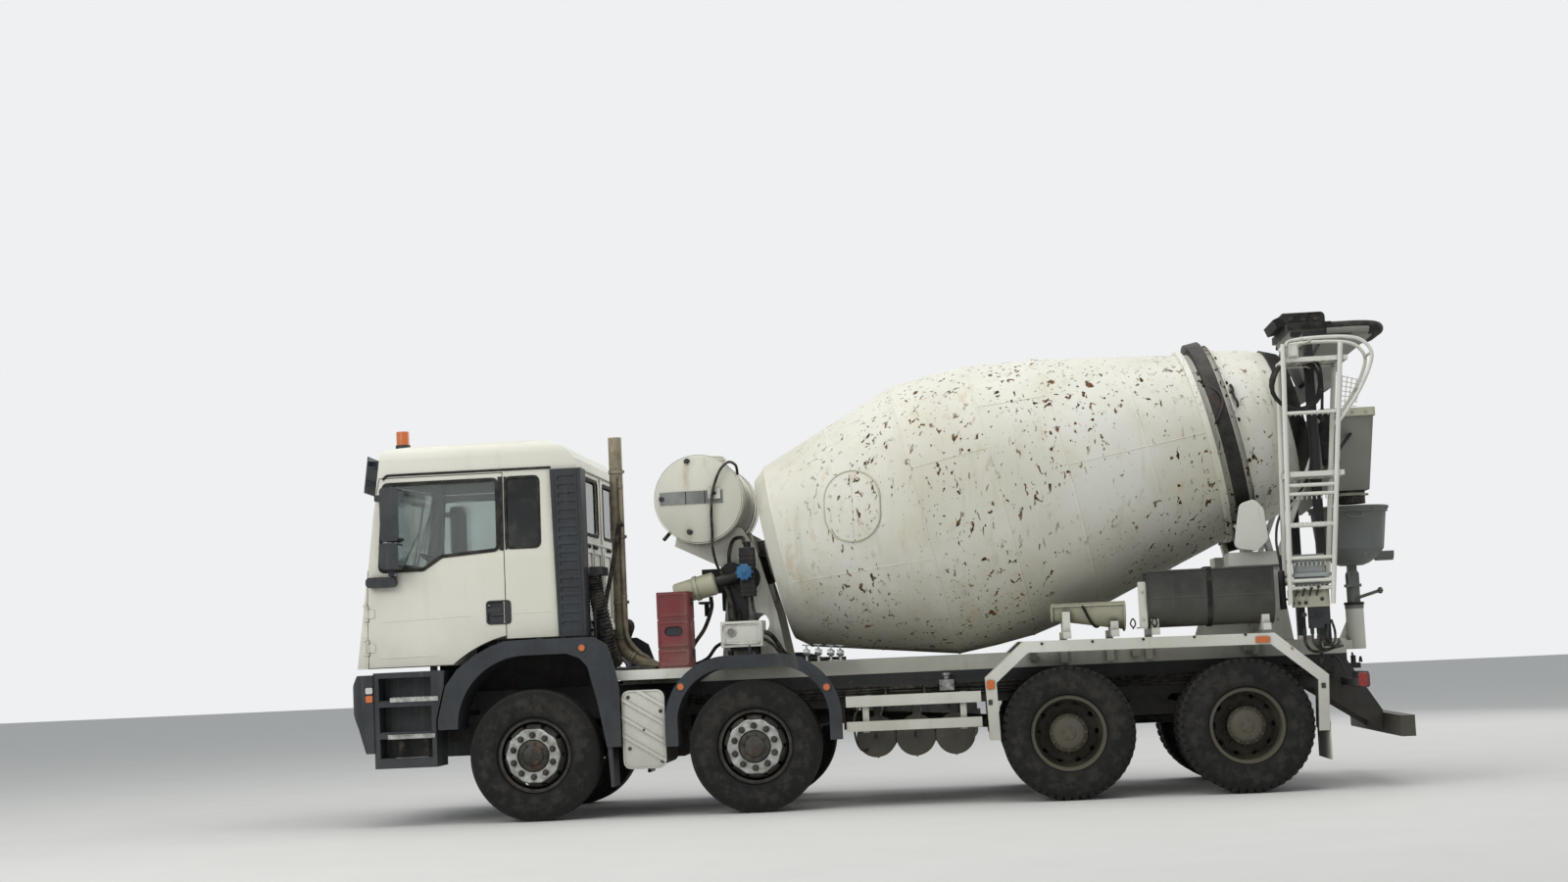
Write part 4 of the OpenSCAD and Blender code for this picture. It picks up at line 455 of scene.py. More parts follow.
def block(bm, lo, hi):
    """Adds a box between two corners."""
    verts = bmesh.ops.create_cube(bm, size=1)["verts"]
    bmesh.ops.scale(bm, vec=Vector(hi) - Vector(lo), verts=verts)
    bmesh.ops.translate(bm, vec=(Vector(lo) + Vector(hi)) / 2, verts=verts)


def rod(bm, a, b, r, sides=16, r2=None):
    """Adds a round bar from a to b."""
    a, b = Vector(a), Vector(b)
    turn = (b - a).to_track_quat("Z", "Y").to_matrix().to_4x4()
    place = Matrix.Translation((a + b) / 2) @ turn
    bmesh.ops.create_cone(bm, cap_ends=True, segments=sides, radius1=r, radius2=r if r2 is None else r2,
                          depth=(b - a).length, matrix=place)


def bolt(bm, at, along, r, h):
    """Adds a washer and a hexagon head standing on a face."""
    at, along = Vector(at), Vector(along).normalized()
    rod(bm, at - along * 0.002, at + along * 0.003, r * 1.35, 20)
    rod(bm, at, at + along * h, r, 6)
    rod(bm, at, at + along * (h + 0.004), r * 0.55, 12)


def smooth_path(points, steps=8):
    """Catmull-Rom points through the given ones."""
    p = [Vector(q) for q in points]
    p = [2 * p[0] - p[1]] + p + [2 * p[-1] - p[-2]]
    out = []
    for i in range(1, len(p) - 2):
        for k in range(steps):
            t = k / steps
            out.append(0.5 * (2 * p[i] + (p[i + 1] - p[i - 1]) * t
                              + (2 * p[i - 1] - 5 * p[i] + 4 * p[i + 1] - p[i + 2]) * t * t
                              + (3 * p[i] - 3 * p[i + 1] + p[i + 2] - p[i - 1]) * t ** 3))
    return out + [p[-2]]


def join(bm, rings, closed=False):
    """Adds the faces between neighbouring rings of as many points, and the two ends unless it closes."""
    for a, b in zip(rings, rings[1:] + (rings[:1] if closed else [])):
        for k in range(len(a)):
            n = (k + 1) % len(a)
            bm.faces.new((a[k], a[n], b[n], b[k]))
    if not closed:
        bm.faces.new(rings[0][::-1])
        bm.faces.new(rings[-1])


def sweep(bm, path, radius, sides=12, closed=False):
    """Adds a tube along a path; radius may be a function of the share of its length."""
    n = len(path)
    if closed:
        tangents = [(path[(i + 1) % n] - path[i - 1]).normalized() for i in range(n)]
    else:
        tangents = [(path[min(i + 1, n - 1)] - path[max(i - 1, 0)]).normalized() for i in range(n)]
    side = tangents[0].orthogonal().normalized()
    rings = []
    for i, (p, t) in enumerate(zip(path, tangents)):
        side = (side - t * side.dot(t)).normalized()
        other = t.cross(side)
        r = radius(i / (n - 1)) if callable(radius) else radius
        rings.append([bm.verts.new(p + (side * math.cos(a) + other * math.sin(a)) * r)
                      for a in (FULL * k / sides for k in range(sides))])
    join(bm, rings, closed)


def hose(name, points, r, steps=8):
    """A hose held along its route on the chassis."""
    bm = bmesh.new()
    sweep(bm, smooth_path(points, steps), r, 14)
    add(name, bm, "rubber", smooth=60)


def ribbed_hose(name, points, r, pitch, depth):
    """A corrugated hose held along its route on the chassis."""
    path = smooth_path(points, 40)
    length = sum((b - a).length for a, b in zip(path, path[1:]))
    turns = FULL * length / pitch
    bm = bmesh.new()
    sweep(bm, path, lambda t: r - depth * (0.5 + 0.5 * math.cos(t * turns)), 14)
    add(name, bm, "rubber", smooth=60)


# Tyres: half of the section from bead to tread edge, as place across and radius
TYRE_SIDE = [(0.114, 0.2862), (0.114, 0.3002), (0.1335, 0.304), (0.145, 0.312), (0.1505, 0.33),
             (0.1535, 0.356), (0.156, 0.38), (0.1575, 0.406), (0.157, 0.43), (0.1545, 0.455),
             (0.152, 0.47), (0.147, 0.49), (0.144, 0.502), (0.1415, 0.514), (0.133, 0.522),
             (0.1235, 0.5295)]
TREAD_AT = (0.112, 0.1, 0.094, 0.088, 0.078, 0.066, 0.0385, 0.0315, 0.0235, 0.012)
TYRE_STEPS = 300


def near(y, places, reach):
    """True if a place across the tyre lies within reach of one of the grooves on either side."""
    return any(abs(abs(y) - place) < reach for place in places)


def tread_depth(kind, y, j):
    """How deep the tread lies under its top at a place across the tyre and a step round it."""
    if kind == "steer":
        if near(y, (0.0315, 0.0905), 0.0045):
            return 0.013
        return 0.006 if abs(y) > 0.13 and j % 3 == 0 else 0
    if near(y, (0.035,), 0.005) or near(y, (0.0905,), 0.0045):
        return 0.016
    lug = (j + (3 if y > 0 else 0)) % 6
    if abs(y) > 0.094 and lug in (0, 1):
        return 0.017
    return 0.012 if abs(y) < 0.09 and j % 6 == 0 else 0


def tyre_mesh(kind):
    """Tread and sidewall of one tyre, axis along Y, middle plane at 0."""
    right = TYRE_SIDE + [(y, HUB) for y in TREAD_AT]
    section = right + [(0.0, HUB)] + [(-y, r) for y, r in reversed(right)]
    bm = bmesh.new()
    rings = []
    for j in range(TYRE_STEPS):
        a = FULL * j / TYRE_STEPS
        zigzag = 0.0045 if j % 12 < 6 else -0.0045
        ring = []
        for y, r in section:
            across = y + zigzag if r > 0.5 and abs(y) < 0.105 else y
            if r > 0.5:
                r -= tread_depth(kind, y, j)
            ring.append(bm.verts.new((r * math.cos(a), across, r * math.sin(a))))
        rings.append(ring)
    join(bm, rings, True)
    return finished_mesh("tyre_" + kind, bm, "tyre", 32)


def put_tyre(name, mesh, y, n, body, turn, node=None):
    """Stands a tyre on axle n, turned by an angle so that no two treads line up."""
    ob = linked(name, mesh)
    ob.location = (AX[n - 1], y, HUB)
    ob.rotation_euler = (0, turn, 0)
    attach(ob, body)
    if node:
        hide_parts(node)


steer_mesh, drive_mesh = tyre_mesh("steer"), tyre_mesh("drive")
for side, sign in BOTH:
    for n in (1, 2):
        put_tyre(f"steer_tyre_{n}_{side}", steer_mesh, sign * 1.024, n, f"wheel_{n}_{side}",
                 math.pi / 2 * (n - 1), f"tyre_{n}_{side}")
    for n in (3, 4):
        name, body = f"drive_tyre_{n}_{side}", f"wheels_{n}_{side}"
        put_tyre(f"{name}_outer", drive_mesh, sign * 1.077, n, body, math.pi / 2 * (n - 3),
                 f"tyres_{n}_{side}")
        put_tyre(f"{name}_inner", drive_mesh, sign * 0.727, n, body, math.pi)

for node, key in FINISH.items():
    slots = NODES[node].data.materials
    count = max(1, len(slots))
    slots.clear()
    for k in range(count):
        slots.append(M[key])


# Tools for the details
def repaint(node, key, test):
    """Gives the faces of a CAD node whose middle and normal pass a test another finish."""
    mesh = NODES[node].data
    mesh.materials.append(M[key])
    last = len(mesh.materials) - 1
    for face in mesh.polygons:
        if test(face.center, face.normal):
            face.material_index = last


def cab_y(z):
    """Half the cab's width at a height; it leans in above the windows' sill."""
    return 1.12 - max(0.0, z - 2.15) * 0.038


def on_side(sign):
    """Places (x, z, out) on the cab's side."""
    return lambda x, z, out: Vector((x, sign * (cab_y(z) + out), z))


def on_front(y, z, out):
    """Place on the cab's bowed and leaning front."""
    return Vector((4.3215 - 0.1334 * (z - 1.286) - y * y / 28 + out, y, z))


def on_back(y, z, out):
    """Place on the cab's back wall."""
    return Vector((CAB_BACK_X - out, y, z))


def facing_x(x, way=1, flip=1):
    """Places (y, z, out) on a plane across X that faces way; flip mirrors y."""
    return lambda y, z, out: Vector((x + way * out, flip * y, z))


def facing_y(y, sign=1):
    """Places (x, z, out) on a plane across Y on the side of sign."""
    return lambda x, z, out: Vector((x, sign * (y + out), z))


def circle(centre, r, count, start=0.0, u=AHEAD, w=UP):
    """Places spaced evenly on a circle that two directions span."""
    return [Vector(centre) + (Vector(u) * math.cos(a) + Vector(w) * math.sin(a)) * r
            for a in (FULL * k / count + start for k in range(count))]


def rounded(points, r, n=5):
    """Outline with its corners rounded."""
    out = []
    for i, q in enumerate(points):
        p = Vector(q[:2])
        a, b = Vector(points[i - 1][:2]) - p, Vector(points[(i + 1) % len(points)][:2]) - p
        la, lb = a.length, b.length
        a.normalize()
        b.normalize()
        d = min(r / max(math.tan(a.angle(b) / 2), 0.05), la * 0.45, lb * 0.45)
        for k in range(n + 1):
            t = k / n
            out.append((p + a * d) * (1 - t) ** 2 + p * 2 * t * (1 - t) + (p + b * d) * t * t)
    return out


def rect(x0, x1, z0, z1, r=0.03, n=5):
    """Outline of a rectangle with rounded corners."""
    return rounded([(x0, z0), (x1, z0), (x1, z1), (x0, z1)], r, n)


def grown(loop, d):
    """Outline moved outwards by d."""
    turn = 1 if sum(a.x * b.y - b.x * a.y for a, b in zip(loop, loop[1:] + loop[:1])) > 0 else -1
    out = []
    for i, p in enumerate(loop):
        e1 = (p - loop[i - 1]).normalized()
        e2 = (loop[(i + 1) % len(loop)] - p).normalized()
        n1, n2 = Vector((e1.y, -e1.x)), Vector((e2.y, -e2.x))
        n = (n1 + n2).normalized()
        out.append(p + n * (turn * d / max(0.4, n.dot(n1))))
    return out


def plate(bm, outer, place, low, high, inner=None):
    """Adds a flat piece with an outline, or a frame between two outlines of as many points."""
    rows = [[[bm.verts.new(place(p[0], p[1], o)) for p in loop] for o in (low, high)]
            for loop in ([outer] if inner is None else [outer, inner])]
    n = len(outer)
    for lower, upper in rows:
        for k in range(n):
            bm.faces.new((lower[k], lower[(k + 1) % n], upper[(k + 1) % n], upper[k]))
    if inner is None:
        bm.faces.new(rows[0][1])
        bm.faces.new(rows[0][0][::-1])
    else:
        for level in (0, 1):
            a, b = rows[0][level], rows[1][level]
            for k in range(n):
                bm.faces.new((a[k], a[(k + 1) % n], b[(k + 1) % n], b[k]))


def turned(bm, section, centre, axis, sides=48):
    """Adds a solid of revolution; section holds (along, radius) pairs round the centre."""
    axis = Vector(axis).normalized()
    u = axis.orthogonal().normalized()
    w = axis.cross(u)
    rings = []
    for along, r in section:
        at = Vector(centre) + axis * along
        if r < 1e-5:
            rings.append([bm.verts.new(at)] * sides)
        else:
            rings.append([bm.verts.new(at + (u * math.cos(a) + w * math.sin(a)) * r)
                          for a in (FULL * k / sides for k in range(sides))])
    for a, b in zip(rings, rings[1:]):
        for k in range(sides):
            corner = [a[k], a[(k + 1) % sides], b[(k + 1) % sides], b[k]]
            face = [v for i, v in enumerate(corner) if v not in corner[:i]]
            if len(face) > 2:
                bm.faces.new(face)


def band(bm, half, inner, outer, centre, axis, sides):
    """Adds a ring of rectangular section, half its width to each side of the centre."""
    turned(bm, [(-half, inner), (-half, outer), (half, outer), (half, inner)], centre, axis, sides)


def drum_at(s, r, a):
    """Point on the drum: station along its axis, radius, angle from the top towards the left."""
    return DRUM + AXIS * s + (DRUM_UP * math.cos(a) + Vector(LEFT) * math.sin(a)) * r


# The drum's outline as station and radius
PROFILE = [(-1.32, 0.7), (-1.2, 0.8), (0, 1.175), (0.33, 1.185), (0.65, 1.18), (1.23, 1.095), (2.495, 0.79),
           (2.625, 0.79), (2.99, 0.7), (3.23, 0.59)]


def drum_r(s):
    """The drum's radius at a station along its axis."""
    for (s0, r0), (s1, r1) in zip(PROFILE, PROFILE[1:]):
        if s0 <= s <= s1:
            return r0 + (r1 - r0) * (s - s0) / (s1 - s0)
    return PROFILE[-1][1]


# Finishes within the CAD nodes
for side, sign in BOTH:
    repaint(f"mirrors_{side}", "mirror", lambda c, n: n.x < -0.92 and c.z > 2.03)
    repaint(f"door_{side}", "plastic", lambda c, n: A1 + 0.165 < c.x < A1 + 0.36 and 1.605 < c.z < 1.795 and
            1.06 < abs(c.y) and (abs(c.y) < 1.1195 or 1.65 < c.z < 1.76))
repaint("cab_trim", "navy", lambda c, n: c.x > 4.0 and c.z < 3.05)
repaint("cab_trim", "plastic", lambda c, n: c.z > 3.05)
repaint("cab_trim", "amber", lambda c, n: c.z > 3.139)
repaint("cab_glass", "dark_glass", lambda c, n: c.x < 3.2)
repaint("lamps", "clear", lambda c, n: c.x > 4.1 and (c.z > 1.08 or abs(c.y) < 1.012) and not
        (abs(c.y) > 1.2 and c.z < 1.075))
repaint("lamps", "plastic", lambda c, n: c.x < -3.7)
repaint("side_boxes", "frame", lambda c, n: abs(c.y) < 1.187)
repaint("drum_drive", "white", lambda c, n: c.y > 0.561 and c.z > 1.331 and c.z < 1.55)
repaint("control_box", "cream", lambda c, n: 1.439 < c.z < 1.601 and c.y > 1.0601)
repaint("control_box", "plastic", lambda c, n: c.z < 1.4405)
repaint("charge_hopper", "seal", lambda c, n: c.z > 3.745 or (c.x < -4.17 and c.z > 3.685))
repaint("collector", "rubber", lambda c, n: c.z < 2.4)
repaint("stored_chutes", "cream", lambda c, n: c.x > -2.0)
repaint("drum_pedestals", "frame", lambda c, n: c.x < -3.57 and c.z > 1.25)
repaint("front_axles", "hub", lambda c, n: abs(c.y) > 0.75)

# Wheels: aluminium nut rings in front, oval-holed discs behind
RIM_EDGE = [(0.0, 0.2858), (0.006, 0.2985), (0.01, 0.2995), (0.0135, 0.297), (0.013, 0.292), (0.004, 0.2845)]
LOBED_STEPS = 120


def nut_ring(bm, x, y, sign):
    """The pressed ring round ten wheel nuts, its outer edge waved by ten lobes."""
    rows = []
    for k in range(LOBED_STEPS):
        a = FULL * k / LOBED_STEPS
        lobe = 0.2165 + 0.0045 * math.cos(10 * a)
        section = ((0.131, -0.001), (0.131, 0.007), (0.1345, 0.0105), (lobe - 0.007, 0.0105), (lobe, 0.006),
                   (lobe + 0.001, -0.001))
        rows.append([bm.verts.new((x + r * math.cos(a), y + sign * out, HUB + r * math.sin(a)))
                     for r, out in section])
    for k in range(LOBED_STEPS):
        a, b = rows[k], rows[(k + 1) % LOBED_STEPS]
        for j in range(5):
            bm.faces.new((a[j], a[j + 1], b[j + 1], b[j]))


def hand_hole_rim(bm, x, sign, a):
    """The rolled edge of an oval hole in the dished disc of a rear wheel, at an angle round the hub."""
    along, out = Vector((-math.sin(a), math.cos(a))), Vector((math.cos(a), math.sin(a)))
    middle = out * 0.2365
    oval = [middle + along * 0.034 * math.cos(b) + out * 0.0195 * math.sin(b)
            for b in (FULL * j / 20 for j in range(20))]

    def on_disc(u, v, o):
        return Vector((x + u, sign * (0.925 + (math.hypot(u, v) - 0.2) * 0.55 + o), HUB + v))

    plate(bm, grown(oval, 0.007), on_disc, -0.006, 0.004, oval)


for side, sign in BOTH:
    out = Vector((0, sign, 0))
    for n in (1, 2):
        x, y = AX[n - 1], sign * 1.2115
        body = f"wheel_{n}_{side}"
        bm = bmesh.new()
        nut_ring(bm, x, y, sign)
        add(f"nut_ring_{n}_{side}", bm, "bright", body)
        bm = bmesh.new()
        for at in circle((x, y + sign * 0.0105, HUB), STUD_CIRCLE, 10, math.radians(18)):
            turned(bm, [(0, 0.0262), (0.0035, 0.0262), (0.0055, 0.0235), (0.0055, 0.019)], at, out, 24)
            rod(bm, at, at + out * 0.026, 0.0165, 6)
            rod(bm, at, at + out * 0.033, 0.0105, 14)
        hub = Vector((x, y - sign * 0.012, HUB))
        turned(bm, [(0, 0.129), (0.012, 0.126), (0.019, 0.112), (0.021, 0.085), (0.031, 0.078), (0.036, 0.06),
                    (0.038, 0.0)], hub, out, 64)
        for at in circle(hub, 0.097, 8, math.radians(10)):
            bolt(bm, at + out * 0.02, out, 0.0085, 0.007)
        add(f"nuts_and_cap_{n}_{side}", bm, "hub", body, 35)
        bm = bmesh.new()
        turned(bm, RIM_EDGE, (x, sign * 1.138, HUB), out, 96)
        a = math.radians(250)
        stem = Vector((x + 0.262 * math.cos(a), sign * 1.11, HUB + 0.262 * math.sin(a)))
        rod(bm, stem, stem + Vector((0.01, sign * 0.045, 0.01)), 0.0045, 10)
        rod(bm, stem + Vector((0.008, sign * 0.038, 0.008)), stem + Vector((0.012, sign * 0.055, 0.012)),
            0.006, 10)
        add(f"rim_edge_{n}_{side}", bm, "rim_front", body, 35)
    for n in (3, 4):
        x = AX[n - 1]
        body = f"wheels_{n}_{side}"
        bm = bmesh.new()
        for k in range(10):
            hand_hole_rim(bm, x, sign, math.radians(36 * k))
        add(f"hand_hole_rims_{n}_{side}", bm, "rim_rear", body, 35)
        bm = bmesh.new()
        cap = Vector((x, sign * 1.12, HUB))
        turned(bm, [(0.0, 0.15), (0.008, 0.15), (0.012, 0.146), (0.012, 0.1442)], cap, out, 60)
        turned(bm, [(0.0262, 0.1185), (0.031, 0.112), (0.033, 0.06), (0.039, 0.054), (0.04, 0.0)], cap, out,
               60)
        for at in circle(cap, 0.1355, 12):
            bolt(bm, at + out * 0.008, out, 0.0095, 0.01)
        for at in circle(cap, 0.04, 4, math.radians(20)):
            bolt(bm, at + out * 0.039, out, 0.007, 0.006)
        add(f"hub_cap_bolts_{n}_{side}", bm, "rim_rear", body, 35)
        bm = bmesh.new()
        for at in circle((x, sign * 0.948, HUB), STUD_CIRCLE, 10, math.radians(18)):
            rod(bm, at - out * 0.035, at - out * 0.028, 0.025, 24)
            rod(bm, at, at + out * 0.013, 0.0105, 14)
        turned(bm, RIM_EDGE, (x, sign * 1.191, HUB), out, 96)
        add(f"studs_and_edge_{n}_{side}", bm, "rim_rear", body, 35)

# Cab's sides: gaskets, pillar band, handle, creases, hinges' cover, gutter, ribs of the intake column
for side, sign in BOTH:
    place = on_side(sign)
    body = f"door_{side}"
    window = rounded([(A1 + 0.254, 2.79), (A1 + 1.195, 2.79), (A1 + 1.238, 2.08), (A1 + 0.88, 2.08),
                      (A1 + 0.72, 2.182), (A1 + 0.254, 2.215)], 0.04)
    bm = bmesh.new()
    plate(bm, grown(window, 0.017), place, -0.004, 0.005, grown(window, -0.012))
    plate(bm, rounded([(A1 + 0.2065, 2.2), (A1 + 0.2415, 2.21), (A1 + 0.2415, 2.812), (A1 + 0.2065, 2.812)],
                      0.008), place, -0.004, 0.003)
    add(f"door_gasket_{side}", bm, "seal", body)
    bm = bmesh.new()
    rim = rect(A1 + 0.16, A1 + 0.365, 1.602, 1.798, 0.035)
    plate(bm, rim, place, -0.003, 0.005, grown(rim, -0.012))
    plate(bm, rect(A1 + 0.168, A1 + 0.215, 1.612, 1.788, 0.02), place, -0.003, 0.003)
    add(f"door_handle_rim_{side}", bm, "plastic", body)
    bm = bmesh.new()
    grip = rounded([(A1 + 0.183, 1.675), (A1 + 0.335, 1.668), (A1 + 0.335, 1.742), (A1 + 0.183, 1.735)], 0.02)
    plate(bm, grip, place, -0.028, -0.004)
    add(f"door_handle_{side}", bm, "plastic", body, 30, 0.005)
    bm = bmesh.new()
    rod(bm, place(A1 + 0.345, 1.76, -0.03), place(A1 + 0.345, 1.76, -0.006), 0.009, 20)
    add(f"door_lock_{side}", bm, "bright", body)
    bm = bmesh.new()
    for z, x0, x1, drop in ((1.688, 0.38, 1.335, 0.028), (1.372, 0.72, 1.335, 0.004),
                            (2.045, 0.9, 1.3, -0.002)):
        path = [place(A1 + x0 + (x1 - x0) * k / 12, z - drop * k / 12, -0.0035) for k in range(13)]
        sweep(bm, path, lambda t: 0.0065 * min(1, 6 * t + 0.1, 6 * (1 - t) + 0.1), 10)
    add(f"door_creases_{side}", bm, "cab", body, 60)
    bm = bmesh.new()
    for z in (1.395, 1.515, 1.675, 1.795):
        block(bm, (A1 + 1.362, sign * 1.118, z), (A1 + 1.392, sign * 1.126, z + 0.02))
    plate(bm, rect(A1 + 1.355, A1 + 1.366, 1.33, 1.81, 0.004), place, -0.002, 0.0015)
    add(f"door_hinge_cover_{side}", bm, "cab", "cab", bevel=0.002)
    bm = bmesh.new()
    quarter = rect(CAB_BACK_X + 0.33, A1 + 0.182, 2.222, 2.8, 0.045)
    plate(bm, grown(quarter, 0.012), place, -0.004, 0.004, grown(quarter, -0.01))
    plate(bm, rounded([(A1 + 0.176, 2.21), (A1 + 0.1925, 2.21), (A1 + 0.1925, 2.812), (A1 + 0.176, 2.812)],
                      0.004), place, -0.004, 0.0035)
    gutter = [place(A1 + x, z, 0.003) for x, z in ((1.2, 2.835), (1.17, 2.862), (1.1, 2.868), (0.6, 2.868),
                                                    (0.0, 2.868), (-0.2, 2.868))]
    sweep(bm, smooth_path(gutter, 6), 0.0105, 10)
    add(f"cab_gutter_{side}", bm, "seal", "cab", 40)
    bm = bmesh.new()
    crease = [place(x, z, -0.0035) for x, z in ((2.66, 1.688), (2.8, 1.688), (2.95, 1.688),
                                                (A1 + 0.192, 1.688))]
    sweep(bm, smooth_path(crease, 4), 0.006, 10)
    add(f"cab_crease_{side}", bm, "cab", "cab", 60)
    bm = bmesh.new()
    for x in (2.392, 2.578):
        plate(bm, rounded([(x, 1.5), (x + 0.012, 1.5), (x + 0.024, 2.83), (x + 0.01, 2.83)], 0.004),
              facing_y(1.142, sign), -0.002, 0.006)
    for z in (1.62, 1.97, 2.32, 2.67):
        bolt(bm, (2.48, sign * 1.142, z - 0.014), (0, sign, 0), 0.009, 0.004)
    add(f"intake_ribs_{side}", bm, "slate", "cab")

# Windscreen gasket and wipers
bm = bmesh.new()
screen = rect(-0.96, 0.96, 1.985, 2.85, 0.09, 8)
fine = []
for a, b in zip(screen, screen[1:] + screen[:1]):
    parts = max(1, int((b - a).length / 0.08))
    fine += [a + (b - a) * k / parts for k in range(parts)]
plate(bm, grown(fine, 0.018), on_front, -0.004, 0.006, grown(fine, -0.014))
add("windscreen_gasket", bm, "seal", "cab", 40)
bm = bmesh.new()
for y0, y1, z1 in ((0.55, -0.02, 2.5), (-0.12, -0.66, 2.48), (-0.72, -0.93, 2.64)):
    foot, tip = on_front(y0, 1.955, 0.03), on_front(y1, z1, 0.022)
    rod(bm, on_front(y0, 1.955, 0.0), foot, 0.016, 16)
    bowed = [foot.lerp(tip, share) + Vector((out, 0, 0)) for share, out in ((0.3, 0.014), (0.7, 0.01))]
    sweep(bm, [foot] + bowed + [tip], lambda t: 0.01 - 0.004 * t, 8)
    a, b = on_front(y1 + 0.06, z1 - 0.32, 0.01), on_front(y1 - 0.04, z1 + 0.27, 0.01)
    sweep(bm, [a, a.lerp(b, 0.5), b], 0.0075, 8)
    rod(bm, tip, on_front(y1, z1, 0.004), 0.006, 8)
add("wipers", bm, "seal", "cab", 40)

# Back wall of the cab: window gaskets, pressed ribs, fittings
bm = bmesh.new()
for y0, y1 in ((-0.89, -0.15), (0.15, 0.89)):
    loop = rect(y0, y1, 2.33, 2.79, 0.05)
    plate(bm, grown(loop, 0.018), on_back, -0.003, 0.006, grown(loop, -0.008))
add("back_window_gaskets", bm, "seal", "cab", 40)
bm = bmesh.new()
for y0, y1 in ((-0.9, -0.52), (-0.46, -0.08), (0.08, 0.46), (0.52, 0.9)):
    loop = rect(y0, y1, 1.6, 2.2, 0.05)
    plate(bm, loop, on_back, -0.002, 0.011, grown(loop, -0.03))
for z in (2.245, 2.85):
    plate(bm, rect(-0.93, 0.93, z, z + 0.022, 0.01), on_back, -0.002, 0.01)
for y in (-0.015, 0.955, -0.985):
    plate(bm, rect(y, y + 0.03, 1.6, 2.84, 0.01), on_back, -0.002, 0.01)
add("back_wall_ribs", bm, "cab", "cab", 40, 0.003)
bm = bmesh.new()
for y in (0.3, 0.42, 0.66, 0.78):
    bolt(bm, on_back(y, 2.225, 0.004), (-1, 0, 0), 0.014, 0.012)
    bolt(bm, on_back(-y, 2.225, 0.004), (-1, 0, 0), 0.014, 0.012)
for y in (0.6, -0.6):
    for z in (1.52, 1.46):
        plate(bm, rect(y - 0.12, y + 0.12, z, z + 0.02, 0.006), on_back, -0.002, 0.016)
add("back_wall_fittings", bm, "plastic", "cab", 40)

# Base rings of the beacons
bm = bmesh.new()
for sign in (1, -1):
    turned(bm, [(0.0, 0.057), (0.0, 0.0625), (0.01, 0.0625), (0.012, 0.057)], (3.9325, sign * 0.74, 3.136),
           UP, 40)
add("beacon_rings", bm, "plastic", "cab", 40)

# Cushioned seats, dashboard and wheel in place of the plain interior solids
bm = bmesh.new()
side_profile = [(3.79, 1.72), (4.15, 1.72), (4.185, 1.95), (4.1, 2.03), (3.98, 2.06), (3.87, 2.04),
                (3.8, 1.97), (3.77, 1.86)]
plate(bm, rounded(side_profile, 0.04), facing_y(0), -0.93, 0.93)
for y0, y1 in ((-0.8, -0.4), (-0.3, 0.22)):
    plate(bm, rect(y0, y1, 1.8, 1.93, 0.02), facing_x(3.775, -1), 0.0, 0.012)
for y in (-0.86, -0.08, 0.16, 0.86):
    plate(bm, rect(y - 0.055, y + 0.055, 1.945, 1.99, 0.014), facing_x(3.8, -1), -0.01, 0.01)
add("dashboard", bm, "interior", "cab", 40, 0.006)
bm = bmesh.new()
plate(bm, rounded([(3.78, 1.985), (3.93, 2.062), (3.97, 2.145), (3.86, 2.13), (3.8, 2.07)], 0.03),
      facing_y(SEAT_Y), -0.24, 0.24)
tilt = Vector((-0.5, 0, 0.86)).normalized()
hub = Vector((3.615, SEAT_Y, 2.105))
u = Vector(LEFT)
w = tilt.cross(u)
sweep(bm, circle(hub, 0.235, 56, 0.0, u, w), 0.0155, 12, True)
for a in (0.35, math.pi - 0.35, -math.pi / 2 - 0.5, -math.pi / 2 + 0.5):
    end = hub + (u * math.cos(a) + w * math.sin(a)) * 0.228
    sweep(bm, [hub - tilt * 0.015, hub.lerp(end, 0.5) - tilt * 0.012, end], 0.011, 8)
turned(bm, [(-0.045, 0.03), (-0.03, 0.075), (0.0, 0.082), (0.01, 0.06), (0.012, 0.0)], hub, tilt, 32)
rod(bm, hub - tilt * 0.03, hub - tilt * 0.42, 0.042, 20, 0.06)
for way in (u, -u):
    rod(bm, hub - tilt * 0.1 + way * 0.02, hub - tilt * 0.13 + way * 0.2 + Vector((0, 0, 0.02)), 0.008, 10)
add("steering_wheel_and_binnacle", bm, "plastic", "cab", 40)

# Cushions
CLOTH_FRAMES = 20
SWELL_LIMIT = 0.008
SEAMS = (-0.55, 0.0, 0.55)


def baked(piece):
    """The piece's mesh with its modifiers applied; the modifiers are removed."""
    mesh = bpy.data.meshes.new_from_object(piece.evaluated_get(bpy.context.evaluated_depsgraph_get()))
    piece.modifiers.clear()
    return mesh


def swell(piece):
    """Blows the piece up as cloth under pressure, no vertex by more than the limit."""
    start = [v.co.copy() for v in piece.data.vertices]
    cloth = piece.modifiers.new("cloth", "CLOTH")
    cloth.settings.use_pressure = True
    cloth.settings.uniform_pressure_force = 4
    cloth.settings.effector_weights.gravity = 0
    cloth.point_cache.frame_start, cloth.point_cache.frame_end = 1, CLOTH_FRAMES
    for f in range(1, CLOTH_FRAMES + 1):
        bpy.context.scene.frame_set(f)
    piece.data = baked(piece)
    for v, before in zip(piece.data.vertices, start):
        step = v.co - before
        v.co = before + step * min(1.0, SWELL_LIMIT / max(step.length, 1e-9))
    bpy.context.scene.frame_set(1)


